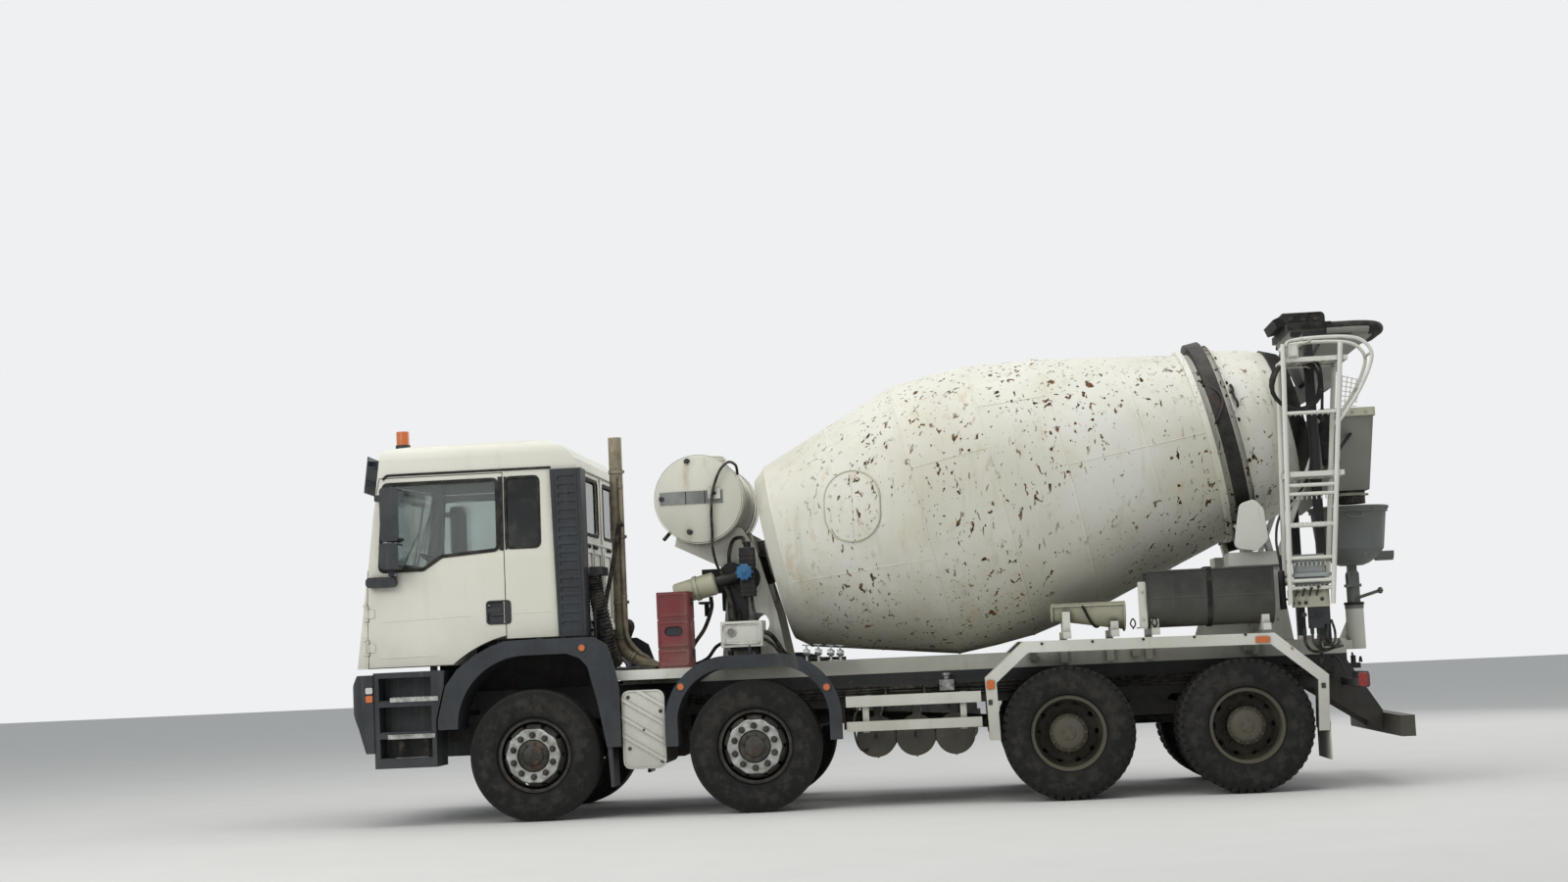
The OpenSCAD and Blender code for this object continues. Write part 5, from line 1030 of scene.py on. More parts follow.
def cushion(name, loop, half_w, y, r):
    """A padded seat piece: a rounded block, remeshed, swollen, drawn in at its seams, then smoothed."""
    bm = bmesh.new()
    plate(bm, rounded(loop, r, 6), facing_y(y), -half_w, half_w)
    piece = add(name, bm, "seat", "cab", 60)
    edges = piece.modifiers.new("round", "BEVEL")
    edges.width, edges.segments, edges.limit_method, edges.angle_limit = 0.035, 4, "ANGLE", 1.2
    voxels = piece.modifiers.new("voxels", "REMESH")
    voxels.mode, voxels.voxel_size = "VOXEL", 0.009
    bpy.context.view_layer.update()
    piece.data = baked(piece)
    swell(piece)
    middle = sum((v.co for v in piece.data.vertices), Vector()) / len(piece.data.vertices)
    for v in piece.data.vertices:
        across = (v.co.y - y) / half_w
        for seam in SEAMS:
            pull = math.exp(-((across - seam) / 0.045) ** 2) * 0.006
            v.co += (middle - v.co).normalized() * pull
    piece.data.shade_smooth()
    fine = piece.modifiers.new("fine", "SUBSURF")
    fine.levels = fine.render_levels = 1


for side, sign in BOTH:
    x, y = A1, sign * SEAT_Y
    cushion(f"seat_cushion_{side}", [(x - 0.13, 1.785), (x + 0.325, 1.8), (x + 0.345, 1.845),
                                     (x + 0.32, 1.885), (x - 0.11, 1.875)], 0.215, y, 0.03)
    cushion(f"seat_back_{side}", [(x - 0.13, 1.92), (x - 0.045, 1.915), (x - 0.115, 2.46), (x - 0.165, 2.47),
                                  (x - 0.215, 2.44)], 0.215, y, 0.03)
    cushion(f"head_rest_{side}", [(x - 0.245, 2.5), (x - 0.17, 2.49), (x - 0.19, 2.62), (x - 0.235, 2.635),
                                  (x - 0.275, 2.61)], 0.11, y, 0.025)
    bm = bmesh.new()
    plate(bm, rounded([(x - 0.16, 1.592), (x + 0.3, 1.592), (x + 0.26, 1.7), (x - 0.12, 1.7)], 0.02),
          facing_y(y), -0.17, 0.17)
    plate(bm, rounded([(x - 0.165, 1.7), (x + 0.325, 1.715), (x + 0.33, 1.775), (x - 0.16, 1.77)], 0.02),
          facing_y(y), -0.225, 0.225)
    for dy in (-0.06, 0.06):
        rod(bm, (x - 0.185, y + dy, 2.44), (x - 0.205, y + dy, 2.53), 0.006, 10)
    add(f"seat_frame_{side}", bm, "interior", "cab", 40, 0.006)
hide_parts("cab_interior")

# Front chassis: step treads and straps, headlamps, reflectors, side covers, marker lamps
for side, sign in BOTH:
    bm = bmesh.new()
    for z, x0, x1 in ((1.038, A1 + 0.765, A1 + 1.165), (0.74, A1 + 0.8, A1 + 1.19)):
        block(bm, (x0, sign * 1.115, z - 0.004), (x1, sign * 1.212, z + 0.006))
        block(bm, (x0, sign * 1.204, z - 0.03), (x1, sign * 1.212, z + 0.001))
        for k in range(11):
            x = x0 + 0.025 + k * (x1 - x0 - 0.05) / 10
            for y in (1.14, 1.185):
                rod(bm, (x, sign * y, z + 0.004), (x, sign * y, z + 0.01), 0.012, 12, 0.008)
    block(bm, (A1 + 0.87, sign * 1.085, 0.52), (A1 + 1.13, sign * 1.195, 0.53))
    block(bm, (A1 + 0.87, sign * 1.185, 0.5), (A1 + 1.13, sign * 1.195, 0.56))
    for k in range(8):
        block(bm, (A1 + 0.885 + k * 0.031, sign * 1.09, 0.528), (A1 + 0.897 + k * 0.031, sign * 1.19, 0.536))
    add(f"step_treads_{side}", bm, "bright", bevel=0.0015)
    bm = bmesh.new()
    for x in (0.9, 1.1):
        block(bm, (A1 + x - 0.022, sign * 1.11, 0.53), (A1 + x + 0.022, sign * 1.118, 0.7))
        bolt(bm, (A1 + x, sign * 1.118, 0.6), (0, sign, 0), 0.01, 0.008)
    add(f"step_straps_{side}", bm, "rubber")
    bm = bmesh.new()
    face = facing_x(4.3135, 1, sign)
    edge = rect(0.764, 1.01, 0.929, 1.106, 0.03)
    plate(bm, grown(edge, 0.006), face, -0.012, 0.002, grown(edge, -0.008))
    add(f"headlamp_bezel_{side}", bm, "plastic")
    bm = bmesh.new()
    for y in (0.832, 0.944):
        turned(bm, [(0.0005, 0.05), (0.004, 0.05), (0.004, 0.046), (-0.002, 0.03), (0.0, 0.0)],
               (4.313, sign * y, 1.018), AHEAD, 36)
    for z in (0.95, 0.965, 0.98, 1.055, 1.07, 1.085):
        block(bm, (4.3125, sign * 0.775, z - 0.0012), (4.3145, sign * 1.0, z + 0.0012))
    add(f"headlamp_optics_{side}", bm, "bright")
    bm = bmesh.new()
    turned(bm, [(0.0, 0.033), (0.006, 0.033), (0.009, 0.026), (0.01, 0.0)], (3.56, sign * 1.22, 0.8),
           (0, sign, 0), 28)
    add(f"arch_reflector_{side}", bm, "red_lens")
    bm = bmesh.new()
    for x, z in ((-0.785, 0.965), (-1.045, 0.845), (-0.785, 0.555), (-1.045, 0.445), (-0.905, 0.7)):
        bolt(bm, (A1 + x, sign * 1.2, z), (0, sign, 0), 0.011, 0.009)
    add(f"side_cover_bolts_{side}", bm, "plastic")
    bm = bmesh.new()
    loop = rect(1.7435, 2.0915, 0.391, 1.019, 0.07)
    plate(bm, loop, facing_y(1.2, sign), -0.003, 0.006, grown(loop, -0.012))
    add(f"side_cover_rim_{side}", bm, "white", bevel=0.002)
    bm = bmesh.new()
    for x, z in ((2.3925, 1.38), (1.6025, 1.032), (0.4275, 0.979)):
        turned(bm, [(-0.003, 0.036), (0.004, 0.036), (0.007, 0.031), (0.007, 0.0265), (0.0, 0.0265)],
               (x, sign * 1.24, z), (0, sign, 0), 28)
    add(f"marker_bases_{side}", bm, "plastic")

# Front face: blank number plate and the towing eyes' covers
bm = bmesh.new()
plate(bm, rect(-0.26, 0.26, 0.64, 0.755, 0.012), facing_x(BUMPER_X), -0.004, 0.0)
for y in (-0.62, 0.62):
    plate(bm, rect(y - 0.07, y + 0.07, 0.62, 0.76, 0.02), facing_x(BUMPER_X), -0.003, 0.0)
add("blank_plate_holder", bm, "plastic")

# Behind the cab: the exhaust's clamps, thin pipe and strut, bellows with their frame, air pipe, lines
bm = bmesh.new()
for z in (1.75, 2.3, 2.85):
    band(bm, 0.014, 0.058, 0.064, (STACK_X, STACK_Y, z), UP, 40)
    block(bm, (2.1, 0.495, z - 0.01), (2.115, 0.505, z + 0.01))
pipe = [(THIN_PIPE_X, THIN_PIPE_Y, 2.8), (THIN_PIPE_X, THIN_PIPE_Y, 2.4), (2.128, 0.575, 1.9),
        (2.13, 0.573, 1.6), (2.11, 0.56, 1.44), (2.03, 0.54, 1.33), (1.95, 0.52, 1.27)]
sweep(bm, smooth_path(pipe, 8), 0.019, 14)
for z in (1.8, 2.3, 2.72):
    band(bm, 0.012, 0.0188, 0.024, (THIN_PIPE_X, THIN_PIPE_Y, z), UP, 20)
    block(bm, (2.12, 0.555, z - 0.008), (2.135, 0.575, z + 0.008))
add("stack_clamps_and_pipe", bm, "rusty", smooth=40)
bm = bmesh.new()
foot, head = Vector((2.315, 0.7, 1.45)), Vector((2.155, 0.6, 2.36))
sweep(bm, smooth_path([foot, foot.lerp(head, 0.35) + Vector((0.01, 0, 0)), foot.lerp(head, 0.7), head,
                       head + Vector((-0.02, 0.0, 0.05)), head + Vector((-0.03, -0.03, 0.02))], 6), 0.019, 10)
add("stack_strut", bm, "rubber", smooth=40)
ribbed_hose("intake_bellows", [(2.335, 0.84, 1.98), (2.325, 0.84, 1.85), (2.3, 0.82, 1.7),
                               (2.27, 0.78, 1.52), (2.25, 0.72, 1.36), (2.22, 0.62, 1.24)], 0.072, 0.026,
            0.012)
ribbed_hose("engine_air_pipe", [(2.3, -0.3, 1.3), (2.27, -0.32, 1.46), (2.22, -0.2, 1.55), (2.2, 0.05, 1.56),
                                (2.22, 0.25, 1.5), (2.26, 0.33, 1.34), (2.28, 0.3, 1.22)], 0.055, 0.03, 0.008)
for k, y in enumerate((0.615, 0.655, 0.695)):
    hose(f"cab_line_{k}", [(2.385, y, 1.6), (2.36, y, 1.52), (2.33, y + 0.01 * k, 1.4),
                           (2.345, y + 0.02, 1.28), (2.33, y + 0.03, 1.16), (2.26, y - 0.05, 1.1),
                           (2.2, y - 0.2, 1.075)], 0.011)
bm = bmesh.new()
block(bm, (2.255, 0.58, 1.975), (2.365, 0.9, 2.045))
block(bm, (2.29, 0.6, 1.2), (2.34, 0.88, 1.235))
for y in (0.61, 0.87):
    rod(bm, (2.335, y, 1.2), (2.335, y, 2.0), 0.014, 12)
    rod(bm, (2.335, y, 1.22), (2.3, 0.4, 1.08), 0.012, 12)
add("bellows_frame", bm, "plastic", bevel=0.004)

# Deck between cab and drum: hose loops, the red box's fittings and ribs
hose("deck_hose_a", [(2.19, 0.55, 1.2), (2.13, 0.76, 1.195), (2.02, 0.93, 1.198), (1.9, 1.02, 1.2),
                     (1.83, 0.97, 1.196), (1.88, 0.83, 1.197), (2.0, 0.74, 1.215), (2.06, 0.6, 1.2),
                     (2.02, 0.47, 1.197)], 0.0135, steps=10)
hose("deck_hose_b", [(2.2, 0.9, 1.196), (2.1, 1.03, 1.196), (1.96, 1.075, 1.196), (1.84, 1.062, 1.196),
                     (1.815, 0.9, 1.196), (1.85, 0.7, 1.197), (1.86, 0.52, 1.197)], 0.011, steps=10)
bm = bmesh.new()
for z in (1.3, 1.72):
    for x in (1.522, 1.793):
        block(bm, (x - 0.006, 0.86, z - 0.03), (x + 0.006, 1.0, z + 0.03))
plate(bm, rect(1.585, 1.73, 1.442, 1.518, 0.036), facing_y(1.0765), 0.0, 0.004)
add("red_box_fittings", bm, "plastic", bevel=0.003)
bm = bmesh.new()
for loop in (rect(1.5375, 1.7775, 1.6, 1.785, 0.03), rect(1.5375, 1.7775, 1.355, 1.555, 0.03),
             rect(1.5375, 1.7775, 1.2, 1.322, 0.03)):
    plate(bm, loop, facing_y(1.1), -0.002, 0.007, grown(loop, -0.014))
add("red_box_ribs", bm, "red", bevel=0.002)

# Water tank: end seams, gauge strip and box, bolts, hose over its end, manhole
for side, sign in BOTH:
    bm = bmesh.new()
    turned(bm, [(0.0, 0.366), (0.0, 0.371), (0.018, 0.371), (0.018, 0.366)], (TANK_X, sign * 0.728, TANK_Z),
           (0, sign, 0), 72)
    add(f"tank_seam_{side}", bm, "tank", smooth=40)


def on_end(x, z, out):
    """Place on the tank's domed left end, a ball of 1.1 m radius."""
    return Vector((x, math.sqrt(1.21 - (x - TANK_X) ** 2 - (z - TANK_Z) ** 2) - 0.29 + out, z))


bm = bmesh.new()
strip_section = ((2.528, -0.01), (2.528, 0.006), (2.632, 0.006), (2.632, -0.01))
join(bm, [[bm.verts.new(on_end(1.772 - k * 0.044, z, out)) for z, out in strip_section] for k in range(13)])
add("tank_gauge_strip", bm, "strip")
bm = bmesh.new()
plate(bm, rect(1.262, 1.362, 2.56, 2.65, 0.008), on_end, -0.004, 0.022)
add("tank_gauge_box", bm, "white", bevel=0.003)
bm = bmesh.new()
for x, z in ((1.534, 2.885), (1.531, 2.3), (1.31, 2.605), (1.754, 2.58)):
    bolt(bm, on_end(x, z, 0.0), LEFT, 0.019, 0.02)
for x in (1.39, 1.55):
    plate(bm, rect(x - 0.004, x + 0.004, 2.526, 2.634, 0.003, 2), on_end, 0.0, 0.009)
rod(bm, (1.7, 0.66, 2.315), (1.76, 0.7, 2.245), 0.016, 14)
add("tank_bolts", bm, "plastic")
hose("tank_hose", [(1.128, 0.62, 2.77), (1.135, 0.7, 2.84), (1.19, 0.785, 2.86), (1.262, 0.828, 2.78),
                   (1.318, 0.842, 2.62), (1.338, 0.835, 2.45), (1.342, 0.8, 2.3), (1.35, 0.74, 2.16),
                   (1.33, 0.66, 2.02), (1.29, 0.6, 1.93)], 0.0115, steps=12)
bm = bmesh.new()
turned(bm, [(0.0, 0.15), (0.0, 0.16), (0.012, 0.163), (0.024, 0.16), (0.034, 0.12), (0.037, 0.0)],
       (TANK_X, 0, 2.935), UP, 56)
for at in circle((TANK_X, 0, 2.958), 0.142, 10, w=LEFT):
    bolt(bm, at, UP, 0.009, 0.006)
rod(bm, (1.3, -0.07, 2.955), (1.3, 0.07, 2.955), 0.012, 12)
add("tank_manhole", bm, "tank", smooth=40)

# Pump, filter, water box, valves and oil cooler beside the front pedestal
bm = bmesh.new()
block(bm, (1.015, 0.575, 1.745), (1.135, 0.745, 2.15))
for k in range(9):
    block(bm, (1.01, 0.57, 1.78 + 0.038 * k), (1.14, 0.75, 1.788 + 0.038 * k))
rod(bm, (1.075, 0.62, 2.14), (1.075, 0.62, 2.205), 0.03, 24)
rod(bm, (1.1, 0.564, 1.9), (1.1, 0.575, 1.9), 0.12, 32)
add("drum_pump_block", bm, "cast", bevel=0.004)
bm = bmesh.new()
turned(bm, [(-0.06, 0.04), (-0.02, 0.046), (-0.018, 0.062), (0.004, 0.064), (0.012, 0.058), (0.014, 0.02),
            (0.022, 0.016), (0.022, 0.0)], (1.094, 0.78, 1.945), LEFT, 40)
for at in circle((1.094, 0.78, 1.945), 0.064, 10):
    rod(bm, at - Vector(LEFT) * 0.018, at + Vector(LEFT) * 0.006, 0.009, 10)
add("blue_cap", bm, "blue", smooth=35)
bm = bmesh.new()
filter_at, filter_axis = (1.5, 0.62, 1.835), (-0.93, 0, 0.22)
turned(bm, [(-0.2, 0.0), (-0.2, 0.075), (-0.185, 0.088), (-0.03, 0.092), (-0.028, 0.104), (0.0, 0.104),
            (0.002, 0.096), (0.14, 0.096), (0.155, 0.08), (0.16, 0.0)], filter_at, filter_axis, 40)
for at in circle(filter_at, 0.097, 8, 0.0, Vector((0.22, 0, 0.93)).normalized(), LEFT):
    bolt(bm, at, filter_axis, 0.007, 0.006)
add("hydraulic_filter", bm, "cream", smooth=40)
bm = bmesh.new()
rod(bm, (1.365, 0.62, 1.87), (1.16, 0.6, 1.915), 0.045, 24)
block(bm, (1.4, 0.44, 1.7), (1.5, 0.64, 1.72))
block(bm, (1.43, 0.46, 1.6), (1.47, 0.48, 1.72))
for z in (1.78, 1.88):
    rod(bm, (1.5, 0.54, z), (1.5, 0.44, z), 0.014, 12)
add("filter_mounts", bm, "cast", bevel=0.002)
bm = bmesh.new()
edge = rect(0.972, 1.273, 1.35, 1.52, 0.012)
plate(bm, edge, facing_y(0.94), -0.002, 0.004, grown(edge, -0.016))
turned(bm, [(0.0, 0.036), (0.014, 0.036), (0.016, 0.031)], (1.205, 0.94, 1.455), LEFT, 32)
for x, z in ((0.985, 1.362), (1.26, 1.362), (0.985, 1.508), (1.26, 1.508)):
    bolt(bm, (x, 0.943, z), LEFT, 0.006, 0.004)
add("water_box_trim", bm, "white", bevel=0.002)
bm = bmesh.new()
turned(bm, [(0.006, 0.03), (0.009, 0.03), (0.01, 0.0)], (1.205, 0.94, 1.455), LEFT, 32)
rod(bm, (1.205, 0.952, 1.455), (1.222, 0.952, 1.472), 0.002, 6)
add("water_box_dial", bm, "strip")
bm = bmesh.new()
for x in (1.01, 1.235):
    rod(bm, (x, 0.9, 1.3), (x - 0.02, 0.86, 1.188), 0.012, 12)
    rod(bm, (x, 0.62, 1.33), (x, 0.6, 1.188), 0.012, 12)
rod(bm, (1.06, 0.925, 1.34), (1.06, 0.925, 1.26), 0.017, 14)
turned(bm, [(0, 0.0), (0, 0.028), (0.016, 0.028), (0.016, 0.0)], (1.06, 0.925, 1.235), UP, 24)
rod(bm, (1.06, 0.925, 1.247), (1.01, 0.96, 1.247), 0.006, 8)
add("water_box_legs", bm, "plastic")
for k, (r, points) in enumerate((
        (0.016, [(1.1, 0.6, 2.19), (1.12, 0.56, 2.24), (1.2, 0.53, 2.22), (1.24, 0.52, 2.08),
                 (1.22, 0.52, 1.9), (1.18, 0.54, 1.7), (1.17, 0.58, 1.55)]),
        (0.02, [(1.3, 0.6, 1.86), (1.26, 0.6, 1.8), (1.23, 0.62, 1.68), (1.22, 0.68, 1.58),
                (1.2, 0.72, 1.545)]),
        (0.013, [(1.05, 0.66, 1.74), (1.04, 0.7, 1.66), (1.02, 0.78, 1.6), (1.0, 0.84, 1.55)]),
        (0.019, [(0.965, 0.74, 1.45), (0.9, 0.72, 1.42), (0.84, 0.66, 1.33), (0.8, 0.6, 1.26),
                 (0.7, 0.54, 1.215), (0.55, 0.5, 1.205)]),
        (0.014, [(0.965, 0.82, 1.4), (0.88, 0.8, 1.34), (0.8, 0.7, 1.245), (0.66, 0.6, 1.215),
                 (0.5, 0.53, 1.205), (0.3, 0.5, 1.2)]),
        (0.017, [(1.62, 0.58, 1.22), (1.56, 0.6, 1.36), (1.46, 0.6, 1.5), (1.4, 0.58, 1.66),
                 (1.4, 0.58, 1.76)]),
        (0.015, [(1.28, 0.7, 1.38), (1.36, 0.7, 1.34), (1.44, 0.66, 1.25), (1.56, 0.6, 1.205),
                 (1.72, 0.56, 1.2)]))):
    hose(f"pump_hose_{k}", points, r)
bm = bmesh.new()
for x, y, z in ((0.62, 0.6, 1.24), (0.52, 0.63, 1.24), (0.42, 0.58, 1.23), (0.34, 0.62, 1.225)):
    turned(bm, [(-0.03, 0.0), (-0.03, 0.022), (-0.012, 0.026), (-0.012, 0.032), (0.012, 0.032),
                (0.012, 0.026), (0.03, 0.022), (0.03, 0.0)], (x, y, z + 0.02), (1, 0, 0.15), 24)
    rod(bm, (x, y, z + 0.04), (x, y, z + 0.075), 0.007, 10)
    rod(bm, (x - 0.03, y, z + 0.077), (x + 0.035, y, z + 0.083), 0.0055, 10)
    rod(bm, (x, y, 1.182), (x, y, z), 0.013, 12)
add("deck_valves", bm, "alu", smooth=35)
bm = bmesh.new()
plate(bm, rect(0.955, 1.215, 2.082, 2.1, 0.004), facing_y(0.12), 0.0, 0.28)
for k in range(16):
    block(bm, (1.3235, 0.115 + k * 0.0178, 1.66), (1.3265, 0.12 + k * 0.0178, 2.06))
add("oil_cooler_fins", bm, "cast")

# Drum: weld seams, hatch with its bar and bolts, ring band behind the roller track, mouth band, mixing blades
bm = bmesh.new()
for s, t in ((-1.2, 0.006), (0.0, 0.007), (0.65, 0.006), (1.23, 0.007), (1.9, 0.004), (-0.62, 0.004),
             (2.76, 0.004)):
    r = drum_r(s)
    turned(bm, [(-0.014, r - 0.004), (-0.006, r + t * 0.5), (0.0, r + t * 0.6), (0.006, r + t * 0.5),
                (0.014, r - 0.004)], DRUM + AXIS * s, AXIS, 128)
for a0, s0, s1 in ((1.9, -1.18, -0.02), (1.25, -0.02, 0.64), (0.9, 0.66, 1.22), (1.5, 1.24, 2.44),
                   (4.4, -1.18, -0.02), (3.8, 0.02, 1.2), (4.9, 1.24, 2.44)):
    stations = [s0 + (s1 - s0) * k / 16 for k in range(17)]
    sweep(bm, [drum_at(s, drum_r(s) - 0.002, a0) for s in stations], 0.0055, 8)
add("drum_weld_seams", bm, "drum", "drum", 60)


def hatch_point(u, v, out=0.0):
    """Place on the drum's left side, u along and v above the hatch's middle."""
    rel = Vector((HATCH_X + u, 0, HATCH_Z + v)) - DRUM
    s = rel.dot(AXIS)
    across = rel.dot(DRUM_UP)
    r = drum_r(s)
    a = math.asin(max(-1, min(1, across / r)))
    return drum_at(s, r + out, math.pi / 2 - a)


bm = bmesh.new()
loop = [(0.231 * math.cos(a), 0.231 * math.sin(a) + (0.06 if math.sin(a) > 0 else -0.06))
        for a in (FULL * k / 64 for k in range(64))]
sweep(bm, [hatch_point(u, v, 0.006) for u, v in loop], 0.0065, 8, True)
add("hatch_seal", bm, "cream", "drum", 60)
bm = bmesh.new()
sweep(bm, [hatch_point(0.0, v, 0.008) for v in (-0.255, -0.17, -0.08, 0.0, 0.08, 0.17, 0.255)], 0.006, 8)
for k in range(12):
    a = FULL * (k + 0.5) / 12
    u, v = 0.186 * math.cos(a), 0.186 * math.sin(a) + (0.055 if math.sin(a) > 0 else -0.055)
    at = hatch_point(u, v, 0.006)
    bolt(bm, at, hatch_point(u, v, 0.05) - at, 0.011, 0.008)
add("hatch_bolts", bm, "drum", "drum", 40)
bm = bmesh.new()
r = 0.79
turned(bm, [(2.395, drum_r(2.395) + 0.001), (2.405, r + 0.044), (2.44, r + 0.05), (2.4485, r + 0.05)], DRUM,
       AXIS, 128)
turned(bm, [(2.668, r + 0.04), (2.676, r + 0.036), (2.682, drum_r(2.682) + 0.001)], DRUM, AXIS, 128)
add("track_collars", bm, "drum", "drum", 40)
bm = bmesh.new()
for k in range(14):
    a = FULL * k / 14 + 0.1
    bolt(bm, drum_at(2.69, drum_r(2.69) + 0.002, a), drum_at(2.69, 2, a) - drum_at(2.69, 1, a), 0.012, 0.012)
for a0, a1 in ((1.05, 1.3), (3.2, 3.4), (5.0, 5.3)):
    path = [drum_at(2.715 + 0.006 * math.sin(k * 0.9), drum_r(2.715) + 0.024, a0 + (a1 - a0) * k / 10)
            for k in range(11)]
    sweep(bm, path, 0.011, 8)
    for k in (0, 5, 10):
        rod(bm, path[k], drum_at(2.715, drum_r(2.715) - 0.004, a0 + (a1 - a0) * k / 10), 0.011, 8)
add("track_brackets", bm, "track", "drum", 40)
bm = bmesh.new()
turned(bm, [(3.1, drum_r(3.1) + 0.001), (3.105, drum_r(3.1) + 0.016), (3.15, drum_r(3.15) + 0.018),
            (3.228, drum_r(3.229) + 0.014), (3.2325, 0.6), (3.2325, 0.585)], DRUM, AXIS, 128)
add("mouth_band", bm, "track", "drum", 40)
bm = bmesh.new()
for start in (0.0, math.pi):
    rows = []
    for k in range(97):
        t = k / 96
        s = 3.2 - 2.6 * t
        a = start + t * FULL * 1.35
        outer = drum_r(s) - 0.0085
        inner = outer - 0.3 - 0.1 * t
        corners = ((s, outer), (s + 0.05, inner), (s + 0.057, inner), (s + 0.007, outer))
        rows.append([bm.verts.new(drum_at(station, r, a)) for station, r in corners])
    join(bm, rows)
add("mixing_blades", bm, "track", "drum", 40)

# Roller bearings: caps, bolts, guard over the left roller
for side, sign in BOTH:
    bm = bmesh.new()
    low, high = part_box(f"roller_{side}")
    mid = (Vector(low) + Vector(high)) / 2
    for s in (-0.125, 0.125):
        way = 1 if s > 0 else -1
        turned(bm, [(0.0, 0.052), (0.006 * way, 0.05), (0.01 * way, 0.0)], mid + AXIS * s, AXIS, 32)
        for at in circle(mid + AXIS * s, 0.055, 4, 0.78, DRUM_UP, LEFT):
            bolt(bm, at, AXIS * way, 0.008, 0.008)
    add(f"roller_bearing_caps_{side}", bm, "cast", smooth=35)
bm = bmesh.new()
low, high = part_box("roller_left")
mid = (Vector(low) + Vector(high)) / 2
guard = rounded([(mid.x + 0.165, mid.z - 0.16), (mid.x + 0.1, mid.z + 0.2), (mid.x - 0.02, mid.z + 0.235),
                 (mid.x - 0.09, mid.z + 0.15), (mid.x - 0.115, mid.z - 0.1), (mid.x - 0.02, mid.z - 0.19)],
                0.06)
plate(bm, guard, facing_y(high[1] + 0.085), 0.0, 0.014)
plate(bm, guard, facing_y(high[1] + 0.03), 0.0, 0.056, grown(guard, -0.01))
add("roller_guard", bm, "white", smooth=35, bevel=0.004)

# Ladder: handrail loop, lamp box, hose coil on its hook, rung treads
bm = bmesh.new()
rail = [(-3.375, 3.53), (-3.42, 3.572), (-3.6, 3.59), (-3.86, 3.585), (-3.99, 3.545), (-4.055, 3.45),
        (-4.03, 3.33), (-3.95, 3.17), (-3.85, 3.02), (-3.755, 2.9)]
for y in LADDER_YS:
    sweep(bm, smooth_path([(x, y, z) for x, z in rail], 8), 0.0145, 12)
for i in (2, 5, 7):
    rod(bm, *((rail[i][0], y, rail[i][1]) for y in LADDER_YS), 0.012, 12)
for z in (1.6, 1.78, 2.1, 2.31, 2.98):
    x0 = -3.6195 - (z - 1.46) / 2.09 * 0.196
    x1 = -3.2865 - (z - 1.46) / 2.09 * 0.073
    for k in range(9):
        x = x0 + 0.04 + (x1 - x0 - 0.08) * k / 8
        band(bm, 0.003, 0.014, 0.0162, (x, LADDER_YS[0], z), AHEAD, 14)
add("ladder_rails", bm, "white", smooth=40)
bm = bmesh.new()
block(bm, (-3.478, 1.035, 3.44), (-3.392, 1.118, 3.545))
block(bm, (-3.47, 1.116, 3.45), (-3.4, 1.124, 3.535))
rod(bm, (-3.435, 1.08, 3.44), (-3.435, 1.08, 3.425), 0.012, 12)
add("lamp_box", bm, "white", bevel=0.005)
coil = []
for k in range(24 * 5 + 1):
    a = FULL * k / 24 + math.pi / 2
    t = k / 120
    coil.append(Vector((-3.472 + (0.196 + 0.012 * math.sin(3.1 * a)) * math.cos(a),
                        0.892 + 0.105 * t + 0.008 * math.sin(2.3 * a),
                        3.235 + (0.205 + 0.012 * math.cos(1.7 * a)) * math.sin(a))))
bm = bmesh.new()
lead = smooth_path([(-3.6, 0.722, 3.3), (-3.58, 0.76, 3.36), (-3.545, 0.83, 3.42), coil[0]], 6)[:-1]
tail = smooth_path([coil[-1], (-3.6, 1.0, 3.425), (-3.655, 1.0, 3.36), (-3.665, 0.99, 3.2),
                    (-3.66, 0.95, 3.02)], 6)[1:]
sweep(bm, lead + coil + tail, 0.0125, 10)
add("water_hose_coil", bm, "seal", smooth=60)
bm = bmesh.new()
rod(bm, (-3.66, 0.95, 3.03), (-3.659, 0.945, 2.93), 0.016, 16, 0.01)
rod(bm, (-3.6, 0.722, 3.315), (-3.6, 0.716, 3.27), 0.018, 16)
sweep(bm, smooth_path([(-3.472, 0.805, 3.475), (-3.472, 0.86, 3.425), (-3.472, 0.95, 3.418),
                       (-3.472, 1.03, 3.425), (-3.472, 1.045, 3.46)], 6), 0.009, 10)
add("hose_hook_and_nozzle", bm, "track", smooth=40)
bm = bmesh.new()
for z in (2.502, 3.424):
    for k in range(11):
        y = 0.735 + 0.034 * k
        block(bm, (-3.8 if z > 3 else -3.72, y, z - 0.01), (-3.4 if z > 3 else -3.36, y + 0.004, z + 0.01))
add("platform_bars", bm, "white")

# Control box: door seam, hinges, levers, valve spools, hoses under it
bm = bmesh.new()
side_face = facing_y(1.06)
plate(bm, rect(-3.56, -3.35, 1.63, 1.84, 0.012), side_face, -0.002, 0.004)
for z in (1.66, 1.8):
    rod(bm, (-3.565, 1.064, z), (-3.565, 1.064, z + 0.03), 0.006, 10)
add("control_box_door", bm, "box", bevel=0.002)
bm = bmesh.new()
for k in range(4):
    x = -3.335 - 0.055 * k
    rod(bm, (x, 1.074, 1.53), (x - 0.01, 1.125, 1.565 + 0.01 * k), 0.0055, 10)
    turned(bm, [(-0.012, 0.0), (-0.01, 0.009), (0.0, 0.013), (0.01, 0.009), (0.012, 0.0)],
           (x - 0.01, 1.128, 1.567 + 0.01 * k), (0, 1, 0.5), 16)
for x, z in ((-3.31, 1.475), (-3.36, 1.475), (-3.41, 1.475), (-3.54, 1.5)):
    turned(bm, [(0.0, 0.014), (0.006, 0.014), (0.01, 0.009), (0.012, 0.0)], (x, 1.075, z), LEFT, 20)
